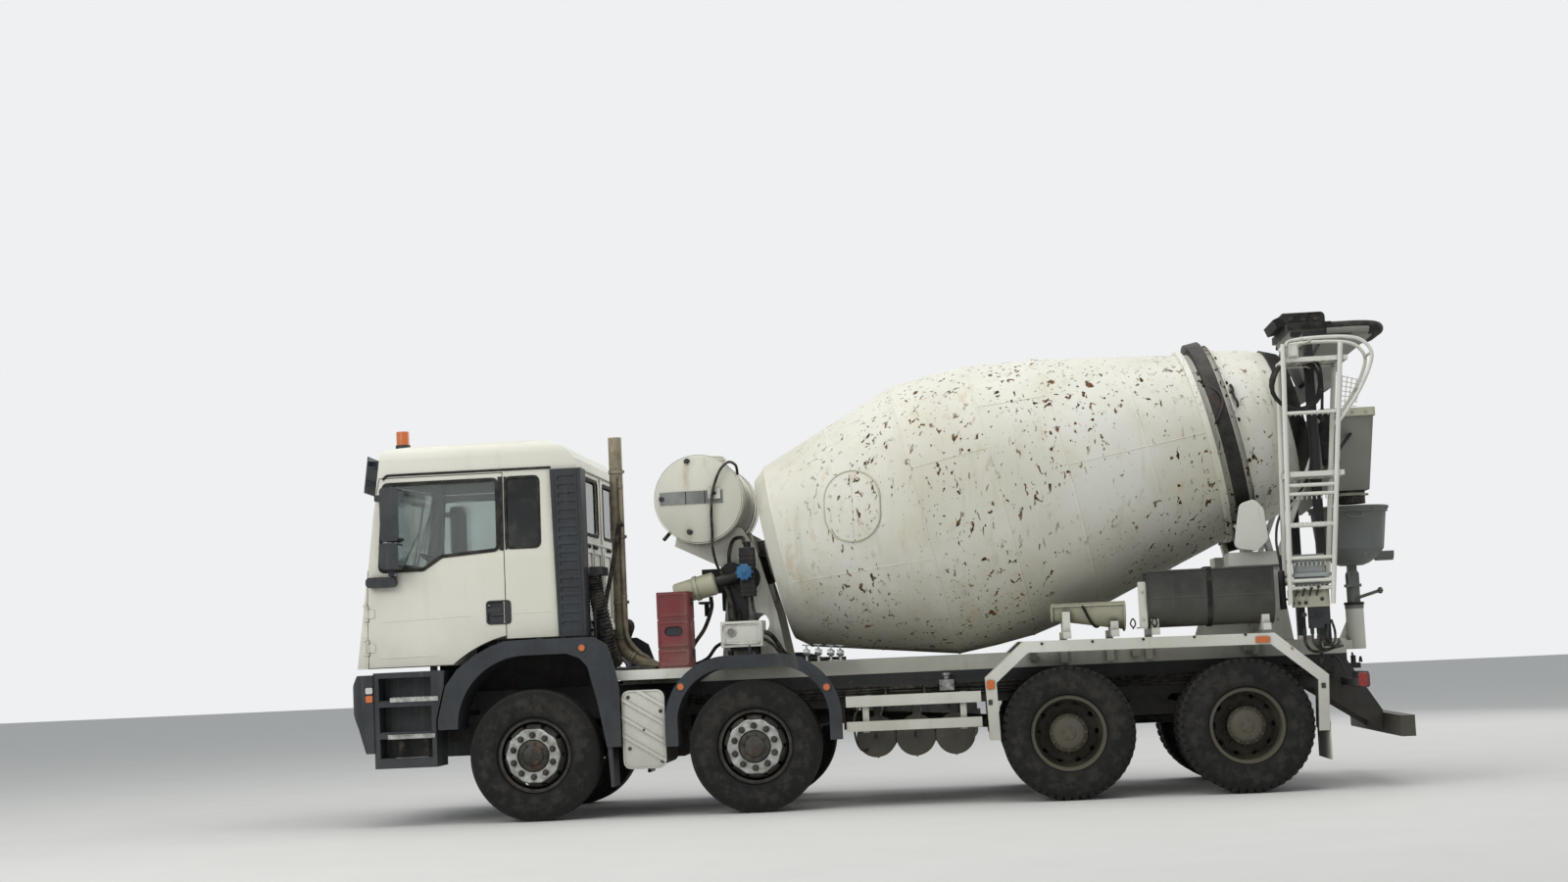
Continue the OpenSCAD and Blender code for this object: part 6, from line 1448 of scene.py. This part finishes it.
for x in (-3.395, -3.455, -3.505):
    rod(bm, (x, 1.02, 1.275), (x, 1.02, 1.225), 0.016, 14)
    rod(bm, (x, 1.068, 1.38), (x, 1.082, 1.38), 0.02, 6)
for x in (-3.52, -3.57):
    rod(bm, (x, 1.02, 1.302), (x, 1.02, 1.25), 0.014, 14)
band(bm, 0.03, 0.0, 0.022, (-3.3, 1.02, 1.55), UP, 20)
add("control_levers", bm, "plastic", smooth=35)
for k, (r, points) in enumerate((
        (0.013, [(-3.395, 1.02, 1.23), (-3.4, 1.02, 1.15), (-3.45, 1.0, 1.09), (-3.54, 0.93, 1.085),
                 (-3.66, 0.8, 1.11), (-3.75, 0.6, 1.12)]),
        (0.011, [(-3.455, 1.02, 1.23), (-3.46, 1.03, 1.16), (-3.5, 1.03, 1.11), (-3.58, 0.98, 1.1),
                 (-3.66, 0.88, 1.13), (-3.72, 0.7, 1.15)]),
        (0.014, [(-3.505, 1.02, 1.23), (-3.51, 1.02, 1.12), (-3.52, 1.0, 1.03), (-3.5, 0.93, 0.98),
                 (-3.42, 0.75, 0.97), (-3.3, 0.43, 0.98)]),
        (0.01, [(-3.52, 1.02, 1.255), (-3.53, 1.04, 1.17), (-3.575, 1.05, 1.13), (-3.625, 1.02, 1.16),
                (-3.64, 0.97, 1.24), (-3.63, 0.9, 1.33)]),
        (0.012, [(-3.57, 1.02, 1.255), (-3.575, 1.01, 1.18), (-3.62, 0.98, 1.12), (-3.67, 0.9, 1.14),
                 (-3.7, 0.76, 1.17)]))):
    hose(f"control_hose_{k}", points, r)
bm = bmesh.new()
turned(bm, [(0.0, 0.0), (0.0, 0.022), (0.01, 0.027), (0.3, 0.027), (0.31, 0.02), (0.312, 0.012),
            (0.43, 0.012), (0.44, 0.0)], (-3.243, 1.0, 1.43), UP, 28)
for z in (1.5, 1.68):
    block(bm, (-3.278, 0.975, z), (-3.238, 1.025, z + 0.018))
sweep(bm, smooth_path([(-3.243, 0.985, 1.8), (-3.235, 0.9, 2.0), (-3.3, 0.78, 2.2), (-3.5, 0.735, 2.42),
                       (-3.575, 0.73, 2.6), (-3.575, 0.73, 3.0)], 8), 0.011, 10)
add("chute_ram_and_pipe", bm, "cast", smooth=40)

# Masts' bolts, stays and cross tube, the hopper's strips, the blocks' fittings, the collector's band, flaps
bm = bmesh.new()
for sign in (1, -1):
    for z in (1.35, 1.75, 2.55, 3.05, 3.62):
        for x in (-3.635, -3.6):
            bolt(bm, (x, sign * 0.72, z), (0, sign, 0), 0.01, 0.008)
    rod(bm, (-3.617, sign * 0.68, 3.44), (-3.8, sign * 0.44, 3.7), 0.014, 12)
    rod(bm, (-3.65, sign * 0.66, 2.5), (-3.98, sign * 0.4, 2.88), 0.013, 12)
rod(bm, (-3.617, -0.66, 3.3), (-3.617, 0.66, 3.3), 0.02, 16)
add("mast_fittings", bm, "frame", smooth=40)
bm = bmesh.new()
for sign in (1, -1):
    for k in range(6):
        bolt(bm, (-4.02 + 0.085 * k, sign * 0.4345, 3.715), (0, sign, 0), 0.01, 0.006)
    plate(bm, rect(-4.03, -3.52, 3.69, 3.725, 0.006), facing_y(0.434, sign), -0.002, 0.007)
add("hopper_clamps", bm, "plastic")
bm = bmesh.new()
for y in (-0.22, 0.0, 0.22):
    plate(bm, rect(y - 0.045, y + 0.045, 3.815, 3.88, 0.015), facing_x(-3.8375, -1), -0.004, 0.006)
for sign in (1, -1):
    for x in (-3.76, -3.66, -3.56):
        turned(bm, [(0.0, 0.02), (0.004, 0.02), (0.006, 0.014), (0.006, 0.0)], (x, sign * 0.3, 3.855),
               (0, sign, 0), 20)
add("block_fittings", bm, "rubber")
bm = bmesh.new()
block(bm, (-4.1555, -0.53, 2.995), (-4.1475, 0.53, 3.065))
for sign in (1, -1):
    block(bm, (-4.15, sign * 0.519, 2.998), (-3.7, sign * 0.527, 3.066))
    for k in range(4):
        bolt(bm, (-4.08 + 0.11 * k, sign * 0.527, 3.03), (0, sign, 0), 0.009, 0.007)
band(bm, 0.012, 0.1505, 0.156, (CHUTE_X, 0, 2.375), UP, 48)
block(bm, (CHUTE_X - 0.18, -0.012, 2.366), (CHUTE_X - 0.152, 0.012, 2.384))
add("collector_band", bm, "cream", bevel=0.002)
bm = bmesh.new()
for sign in (1, -1):
    sheets = [[], []]
    for k in range(9):
        t = k / 8
        sway = 0.01 * math.sin(t * 5 + sign) + 0.02 * t
        for sheet, depth in zip(sheets, (0, 0.006)):
            row = []
            for j in range(9):
                torn = 0.02 * math.sin(j * 1.9) if k == 8 else 0
                y = sign * (0.606 - sway + 0.004 * math.sin(j * 1.3)) - sign * depth
                row.append(bm.verts.new((-3.672 - 0.018 * j - 0.02 * t, y, 3.02 - 0.42 * t - torn)))
            sheet.append(row)
    front, back = sheets
    for k in range(8):
        for j in range(8):
            bm.faces.new((front[k][j], front[k][j + 1], front[k + 1][j + 1], front[k + 1][j]))
            bm.faces.new((back[k][j], back[k + 1][j], back[k + 1][j + 1], back[k][j + 1]))
    rims = [sheet[0] + [row[8] for row in sheet[1:]] + sheet[8][-2::-1] + [row[0] for row in sheet[-2:0:-1]]
            for sheet in sheets]
    for k in range(len(rims[0])):
        n = (k + 1) % len(rims[0])
        bm.faces.new((rims[0][k], rims[0][n], rims[1][n], rims[1][k]))
    rod(bm, (-3.65, sign * 0.606, 3.015), (-3.84, sign * 0.606, 3.015), 0.01, 10)
    rod(bm, (-3.64, sign * 0.606, 3.015), (-3.64, sign * 0.65, 3.015), 0.01, 10)
add("rubber_flaps", bm, "seal", smooth=50)

# Swinging chute: rolled rim, handles and bolts; the turntable's collar and lever knob
bm = bmesh.new()
turned(bm, [(-0.012, 0.325), (-0.01, 0.333), (0.0, 0.337), (0.01, 0.333), (0.012, 0.325), (0.01, 0.318),
            (-0.01, 0.318), (-0.012, 0.325)], (CHUTE_X, 0, 2.262), UP, 72)
for sign in (1, -1):
    sweep(bm, smooth_path([(CHUTE_X + 0.06, sign * 0.322, 2.2), (CHUTE_X + 0.06, sign * 0.352, 2.18),
                           (CHUTE_X, sign * 0.36, 2.17), (CHUTE_X - 0.06, sign * 0.352, 2.18),
                           (CHUTE_X - 0.06, sign * 0.322, 2.2)], 6), 0.008, 10)
add("chute_rim", bm, "chute", "swing_chute", 50)
bm = bmesh.new()
rim_centre = Vector((CHUTE_X, 0, 2.243))
for at in circle(rim_centre, 0.325, 10, 0.2, w=LEFT):
    bolt(bm, at, at - rim_centre, 0.008, 0.005)
add("chute_rim_bolts", bm, "chute", "swing_chute", 40)
bm = bmesh.new()
turned(bm, [(0.0, 0.079), (0.004, 0.084), (0.02, 0.084), (0.024, 0.079)], (CHUTE_X, 0, 1.45), UP, 48)
for at in circle((CHUTE_X, 0, 1.4505), 0.066, 6, w=LEFT):
    bolt(bm, at, UP, 0.008, 0.008)
turned(bm, [(-0.028, 0.0), (-0.024, 0.014), (0.0, 0.0255), (0.024, 0.014), (0.028, 0.0)],
       (CHUTE_X - 0.19, 0.19, 1.56), UP, 24)
add("turntable_ring", bm, "cast", "chute_turntable", 40)

# Stored chute pieces: rolled edges, folds, strap, end bracket, hooks, the funnel's strap and edges
def trough_arc(x, r, steps):
    """Places on the lower half of a circle round the axis of the stored pieces."""
    return [Vector((x, STORED_Y + r * math.cos(a), STORED_Z + r * math.sin(a)))
            for a in (math.pi + math.pi * k / steps for k in range(steps + 1))]


def cone_r(x):
    """Radius of the stored funnel just outside its wall."""
    return 0.213 - 0.0945 * (x + 1.9775) / 0.58


bm = bmesh.new()
for y in (0.783, 1.187):
    rod(bm, (-3.155, y, 1.774), (-2.16, y, 1.774), 0.011, 14)
for x in (-3.15, -2.165):
    sweep(bm, [Vector((x, 0.7785, 1.77))] + trough_arc(x, 0.2065, 20) + [Vector((x, 1.1915, 1.77))], 0.006, 8)
rod(bm, (-3.15, 1.1895, 1.56), (-2.165, 1.1895, 1.56), 0.0045, 8)
for x in (-2.95, -2.45):
    block(bm, (x - 0.02, 1.189, 1.6), (x + 0.02, 1.196, 1.66))
add("chute_edges", bm, "stored", smooth=50)
bm = bmesh.new()
strap_x = -2.6485
path = ([Vector((strap_x, 0.7745, z)) for z in (1.79, 1.66)] + trough_arc(strap_x, 0.2105, 32)
        + [Vector((strap_x, y, z)) for y, z in ((1.1955, 1.66), (1.1955, 1.79), (1.1, 1.797), (0.87, 1.797))])
rings = []
for k, at in enumerate(path):
    t = (path[(k + 1) % len(path)] - path[k - 1]).normalized()
    thick = Vector((0, t.z, -t.y)) * 0.0035
    rings.append([bm.verts.new(at + Vector((dx, 0, 0)) + thick * s)
                  for dx, s in ((-0.02, -1), (0.02, -1), (0.02, 1), (-0.02, 1))])
join(bm, rings, True)
block(bm, (-2.672, 1.196, 1.68), (-2.625, 1.206, 1.73))
add("chute_strap", bm, "seal", smooth=40)
bm = bmesh.new()
plate(bm, rect(-2.15, -2.085, 1.335, 1.7, 0.012), facing_y(1.165), -0.008, 0.004)
block(bm, (-2.15, 0.82, 1.331), (-2.085, 1.165, 1.342))
block(bm, (-2.156, 1.05, 1.42), (-2.15, 1.16, 1.68))
for z in (1.4, 1.62):
    bolt(bm, (-2.118, 1.169, z), LEFT, 0.01, 0.007)
add("chute_end_bracket", bm, "white", bevel=0.002)
bm = bmesh.new()
for x in (-2.03, -2.2):
    sweep(bm, smooth_path([(x, 1.175, 1.33), (x - 0.02, 1.2, 1.37), (x, 1.2, 1.41), (x + 0.02, 1.2, 1.37),
                           (x, 1.185, 1.34)], 6), 0.006, 8)
path = []
for k in range(21):
    x = -1.86 + 0.22 * k / 20
    path.append(trough_arc(x, cone_r(x), 20)[k])
sweep(bm, path, 0.01, 8)
add("funnel_strap", bm, "seal", smooth=40)
bm = bmesh.new()
for x, r in ((-1.972, 0.009), (-1.402, 0.007)):
    sweep(bm, trough_arc(x, cone_r(x), 24), r, 8)
for a in (math.pi + 0.02, FULL - 0.02):
    path = [Vector((x, STORED_Y + cone_r(x) * math.cos(a), STORED_Z + cone_r(x) * math.sin(a)))
            for x in (-1.972, -1.69, -1.402)]
    sweep(bm, path, 0.008, 8)
add("funnel_edges", bm, "cream", smooth=40)

# Deck edge, rear mudguards: bolts, clips, flap clamps; tail lamps
for side, sign in BOTH:
    bm = bmesh.new()
    for x in (-1.3, -1.7, -2.1, -2.5, -2.9):
        bolt(bm, (x, sign * 1.25, 1.245), (0, sign, 0), 0.008, 0.006)
    for x, z in ((-0.87, 0.8), (-3.48, 0.82)):
        plate(bm, rect(x - 0.016, x + 0.016, z - 0.02, z + 0.02, 0.004, 2), facing_y(1.25, sign),
              -0.002, 0.004)
    add(f"mudguard_clips_{side}", bm, "plastic")
    bm = bmesh.new()
    for k in range(3):
        y = sign * (0.62 + 0.24 * k)
        block(bm, (-3.536, y - 0.03, 0.5), (-3.5285, y + 0.03, 0.53))
    add(f"flap_clamps_{side}", bm, "white")
    for name, key, y0, y1 in (("tail", "red_lens", 0.985, 1.16), ("turn", "amber", 0.9, 0.98),
                              ("reverse", "clear", 0.82, 0.895)):
        bm = bmesh.new()
        plate(bm, rect(y0, y1, 0.8, 0.905, 0.012), facing_x(-3.8475, -1, sign), -0.003, 0.01)
        if name == "tail":
            plate(bm, rect(-3.838, -3.768, 0.8, 0.905, 0.012), facing_y(1.17, sign), -0.003, 0.008)
        add(f"{name}_lens_{side}", bm, key, bevel=0.003)

# Under the frame: the rails' bolts and pipes, brake chambers, the air tanks' straps and pipes
bm = bmesh.new()
for sign in (1, -1):
    for k in range(27):
        for x, z in ((1.95 - 0.215 * k, 0.845), (2.0 - 0.215 * k, 0.985)):
            rod(bm, (x, sign * 0.381, z), (x, sign * 0.389, z), 0.0105, 6)
add("rail_bolts", bm, "frame")
CLIPS_X = (1.9, 1.3, 0.7, 0.3, -0.2, -0.8, -1.1, -1.6, -2.2, -2.8, -3.4, -3.7)
for k, (z, r) in enumerate(((0.925, 0.01), (0.9, 0.008), (0.875, 0.008), (0.948, 0.006))):
    for side, sign in BOTH:
        hose(f"rail_pipe_{k}_{side}", [(x, sign * (0.402 + 0.004 * ((i * 7 + k) % 3)),
                                        z + 0.006 * math.sin(i * 1.9 + k)) for i, x in enumerate(CLIPS_X)],
             r, steps=4)
bm = bmesh.new()
for sign in (1, -1):
    for x in AX[2:]:
        turned(bm, [(-0.075, 0.0), (-0.075, 0.05), (-0.055, 0.072), (-0.006, 0.078), (-0.006, 0.086),
                    (0.006, 0.086), (0.006, 0.078), (0.06, 0.07), (0.075, 0.045), (0.078, 0.0)],
               (x + 0.235, sign * 0.3, 0.58), (1, 0, 0.15), 28)
        rod(bm, (x + 0.1, sign * 0.3, 0.55), (x + 0.17, sign * 0.3, 0.57), 0.013, 12)
add("brake_chambers", bm, "cast", smooth=35)
bm = bmesh.new()
for x in (0.0625, -0.2575, -0.5775):
    for y in (0.52, 0.8):
        band(bm, 0.018, 0.1585, 0.1625, (x, y, 0.55), LEFT, 48)
    turned(bm, [(-0.002, 0.15), (0.004, 0.148), (0.012, 0.12), (0.018, 0.07), (0.02, 0.0)],
           (x, 0.9495, 0.55), LEFT, 40)
    rod(bm, (x, 0.955, 0.55), (x, 0.985, 0.55), 0.016, 6)
    rod(bm, (x, 0.7, 0.394), (x, 0.7, 0.375), 0.01, 10)
add("air_tank_straps", bm, "frame", smooth=35)
hose("tank_pipe_a", [(0.0625, 0.985, 0.55), (0.0625, 1.01, 0.58), (0.02, 1.0, 0.72), (-0.02, 0.9, 0.84),
                     (-0.02, 0.6, 0.93), (-0.02, 0.42, 0.93)], 0.008)
hose("tank_pipe_b", [(-0.2575, 0.985, 0.55), (-0.2575, 1.01, 0.58), (-0.3, 1.0, 0.72), (-0.34, 0.9, 0.85),
                     (-0.34, 0.6, 0.93), (-0.34, 0.42, 0.93)], 0.008)
hose("hanging_line", [(0.16, 0.42, 0.86), (0.2, 0.7, 0.8), (0.235, 0.95, 0.7), (0.225, 1.03, 0.56),
                      (0.19, 1.04, 0.47), (0.15, 0.98, 0.45), (0.12, 0.93, 0.48)], 0.009)

# Platform: wire mesh panel by the hopper, splash guide; the rod on the roller track
bm = bmesh.new()
for k in range(6):
    rod(bm, (-3.795 - 0.038 * k, 0.99, 3.3 - 0.012 * k), (-3.775 - 0.03 * k, 0.985, 3.04 + 0.006 * k),
        0.0035, 6)
for k in range(7):
    z = 3.295 - 0.042 * k
    rod(bm, (-3.78 - 0.001 * k, 0.988, z), (-3.985 + 0.01 * k, 0.988, z - 0.06 + 0.008 * k), 0.0035, 6)
add("mesh_panel", bm, "white", smooth=40)
bm = bmesh.new()
guide = rounded([(-3.47, 2.52), (-3.81, 2.535), (-3.64, 2.3), (-3.475, 2.18)], 0.02)
plate(bm, guide, lambda u, v, o: Vector((u, 0.59 + o + 0.2 * (v - 2.35), v)), -0.003, 0.003)
add("splash_guide", bm, "hopper")
bm = bmesh.new()
path = [drum_at(2.5 + 0.1 * math.sin(k / 14 * math.pi), 0.862 + 0.004 * k, 1.02 + 0.42 * k / 14)
        for k in range(15)]
sweep(bm, smooth_path(path, 3), 0.01, 10)
for k in (0, 14):
    rod(bm, path[k], drum_at(2.5, 0.835, 1.02 + 0.42 * k / 14), 0.014, 12)
add("track_rod", bm, "track", "drum", 40)

# Left frame side: oil filler; right side: the fuel tank's straps, cap and creases, air dryers
bm = bmesh.new()
block(bm, (-0.5845, 0.383, 0.895), (-0.4625, 0.47, 0.985))
rod(bm, (-0.5235, 0.43, 0.985), (-0.5235, 0.43, 1.018), 0.03, 24)
rod(bm, (-0.5235, 0.43, 1.018), (-0.5235, 0.43, 1.04), 0.038, 12)
for x in (-0.57, -0.477):
    bolt(bm, (x, 0.47, 0.94), LEFT, 0.008, 0.007)
add("oil_filler", bm, "bright", bevel=0.004)
for k, x in enumerate((-0.6, 0.085)):
    bm = bmesh.new()
    outer = rounded([(-1.1445, 0.4375), (-0.5575, 0.4375), (-0.5575, 1.0025), (-1.1445, 1.0025)], 0.085)
    plate(bm, outer, facing_x(x), -0.022, 0.022, grown(outer, -0.006))
    rod(bm, (x, -1.1, 0.4385), (x, -1.1, 0.41), 0.01, 8)
    add(f"tank_strap_{k}", bm, "frame", smooth=40)
bm = bmesh.new()
turned(bm, [(0.0, 0.062), (0.018, 0.062), (0.02, 0.052), (0.032, 0.052), (0.036, 0.046), (0.036, 0.0)],
       (-0.26, -0.99, 0.999), UP, 40)
block(bm, (-0.275, -1.04, 1.034), (-0.245, -0.94, 1.046))
add("fuel_cap", bm, "plastic")
bm = bmesh.new()
for z in (0.6, 0.84):
    rod(bm, (-0.57, -1.1405, z), (-0.02, -1.1405, z), 0.005, 8)
add("tank_creases", bm, "alu", smooth=50)
bm = bmesh.new()
for x in (0.34, 0.9):
    turned(bm, [(0.0, 0.0), (0.0, 0.05), (0.01, 0.055), (0.16, 0.055), (0.17, 0.048), (0.175, 0.02),
                (0.2, 0.018), (0.2, 0.0)], (x, -0.47, 0.62), UP, 32)
    rod(bm, (x, -0.47, 0.8), (x, -0.385, 0.86), 0.014, 12)
add("air_dryers", bm, "alu", smooth=40)

# The front springs' clips and dampers, hoses to the front brakes
bm = bmesh.new()
for sign in (1, -1):
    for x in AX[:2]:
        for dx in (-0.11, 0.11):
            for dy in (-0.042, 0.042):
                rod(bm, (x + dx, sign * 0.43 + dy, 0.47), (x + dx, sign * 0.43 + dy, 0.7), 0.011, 10)
        rod(bm, (x + 0.26, sign * 0.5, 0.88), (x + 0.16, sign * 0.5, 0.63), 0.032, 20)
        rod(bm, (x + 0.16, sign * 0.5, 0.63), (x + 0.12, sign * 0.5, 0.52), 0.018, 16)
add("spring_clips", bm, "cast", smooth=40)
for side, sign in BOTH:
    for n in (1, 2):
        x = AX[n - 1]
        hose(f"brake_hose_{n}_{side}", [(x - 0.2, sign * 0.395, 0.86), (x - 0.2, sign * 0.46, 0.8),
                                        (x - 0.17, sign * 0.55, 0.7), (x - 0.12, sign * 0.6, 0.62)], 0.01)

# Back of the frame: lamp cables, towing pin with its handle
bm = bmesh.new()
for sign in (1, -1):
    sweep(bm, smooth_path([(-3.757, sign * 0.6, 0.92), (-3.72, sign * 0.6, 1.0), (-3.7, sign * 0.5, 1.04),
                           (-3.7, sign * 0.385, 1.03)], 6), 0.007, 8)
sweep(bm, smooth_path([(-3.99, 0.05, 0.975), (-3.99, 0.02, 1.01), (-3.99, -0.02, 1.01),
                       (-3.99, -0.05, 0.975)], 6), 0.008, 8)
rod(bm, (-3.93, 0, 0.968), (-3.93, 0, 1.03), 0.022, 20)
rod(bm, (-3.93, 0, 1.02), (-3.9, 0.14, 1.05), 0.009, 10)
add("rear_fittings", bm, "frame", smooth=40)

# Camera: its place, angles and lens as solved from the photograph, which is 1600 pixels wide
PHOTO_WIDTH, FOCAL_PIXELS, SENSOR = 1600, 2315, 36
EYE = (-0.7075, 19.45, 1.27)
yaw, pitch, roll = -0.076, 0.0928, -0.0455
ahead = Vector((-math.sin(yaw) * math.cos(pitch), -math.cos(yaw) * math.cos(pitch), math.sin(pitch)))
right = ahead.cross(Vector(UP)).normalized()
over = right.cross(ahead)
picture_right = right * math.cos(roll) + over * math.sin(roll)
picture_up = -right * math.sin(roll) + over * math.cos(roll)
lens_data = bpy.data.cameras.new("camera")
lens_data.sensor_width = SENSOR
lens_data.lens = FOCAL_PIXELS / PHOTO_WIDTH * SENSOR
lens_data.clip_end = 300
camera = linked("camera", lens_data)
camera.matrix_world = (Matrix.Translation(EYE)
                       @ Matrix((picture_right, picture_up, -ahead)).transposed().to_4x4())
bpy.context.scene.camera = camera

# Pale floor
pale = Shader("pale_floor")
pale.set(Base_Color=pale.mix(pale.noise(1.3, 4), "#d9d7d2", "#cfcdc8"), Roughness=0.9)
bm = bmesh.new()
bmesh.ops.create_grid(bm, x_segments=2, y_segments=2, size=60)
floor_mesh = bpy.data.meshes.new("floor")
bm.to_mesh(floor_mesh)
bm.free()
floor_mesh.materials.append(pale.material)
linked("floor", floor_mesh)

# Sky that lights the truck, with a plainer backdrop for the camera, reflections and glass
world = bpy.data.worlds.new("studio")
bpy.context.scene.world = world
world.use_nodes = True
tree = world.node_tree
sky = tree.nodes["Background"]
backdrop = tree.nodes.new("ShaderNodeBackground")
for background, colour, strength in ((sky, (0.8, 0.86, 0.92, 1), 0.55),
                                     (backdrop, (0.86, 0.87, 0.88, 1), 1.0)):
    background.inputs["Color"].default_value = colour
    background.inputs["Strength"].default_value = strength
paths = tree.nodes.new("ShaderNodeLightPath")
either, glossy = (tree.nodes.new("ShaderNodeMath") for _ in range(2))
either.operation = glossy.operation = "MAXIMUM"
chooser = tree.nodes.new("ShaderNodeMixShader")
for start, end in ((paths.outputs["Is Transmission Ray"], glossy.inputs[0]),
                   (paths.outputs["Is Glossy Ray"], glossy.inputs[1]),
                   (paths.outputs["Is Camera Ray"], either.inputs[0]), (glossy.outputs[0], either.inputs[1]),
                   (either.outputs[0], chooser.inputs[0]), (sky.outputs[0], chooser.inputs[1]),
                   (backdrop.outputs[0], chooser.inputs[2]),
                   (chooser.outputs[0], tree.nodes["World Output"].inputs["Surface"])):
    tree.links.new(start, end)


def area(name, at, towards, size, power, tint=(1, 1, 1)):
    """A rectangular lamp aimed at a place."""
    data = bpy.data.lights.new(name, "AREA")
    data.shape = "RECTANGLE"
    data.size, data.size_y = size
    data.energy = power
    data.color = tint
    lamp = linked(name, data)
    lamp.location = at
    lamp.rotation_euler = (Vector(towards) - Vector(at)).to_track_quat("-Z", "Y").to_euler()


area("overhead", (0, 2, 12), (0, 0, 1), (16, 12), 950, (1.0, 0.99, 0.97))
area("left_front", (9, 12, 8), (0, 0, 1.5), (8, 6), 620)
area("right_rear", (-9, -11, 7), (0, 0, 1.5), (8, 6), 330)
bpy.context.scene.view_settings.view_transform = "Standard"
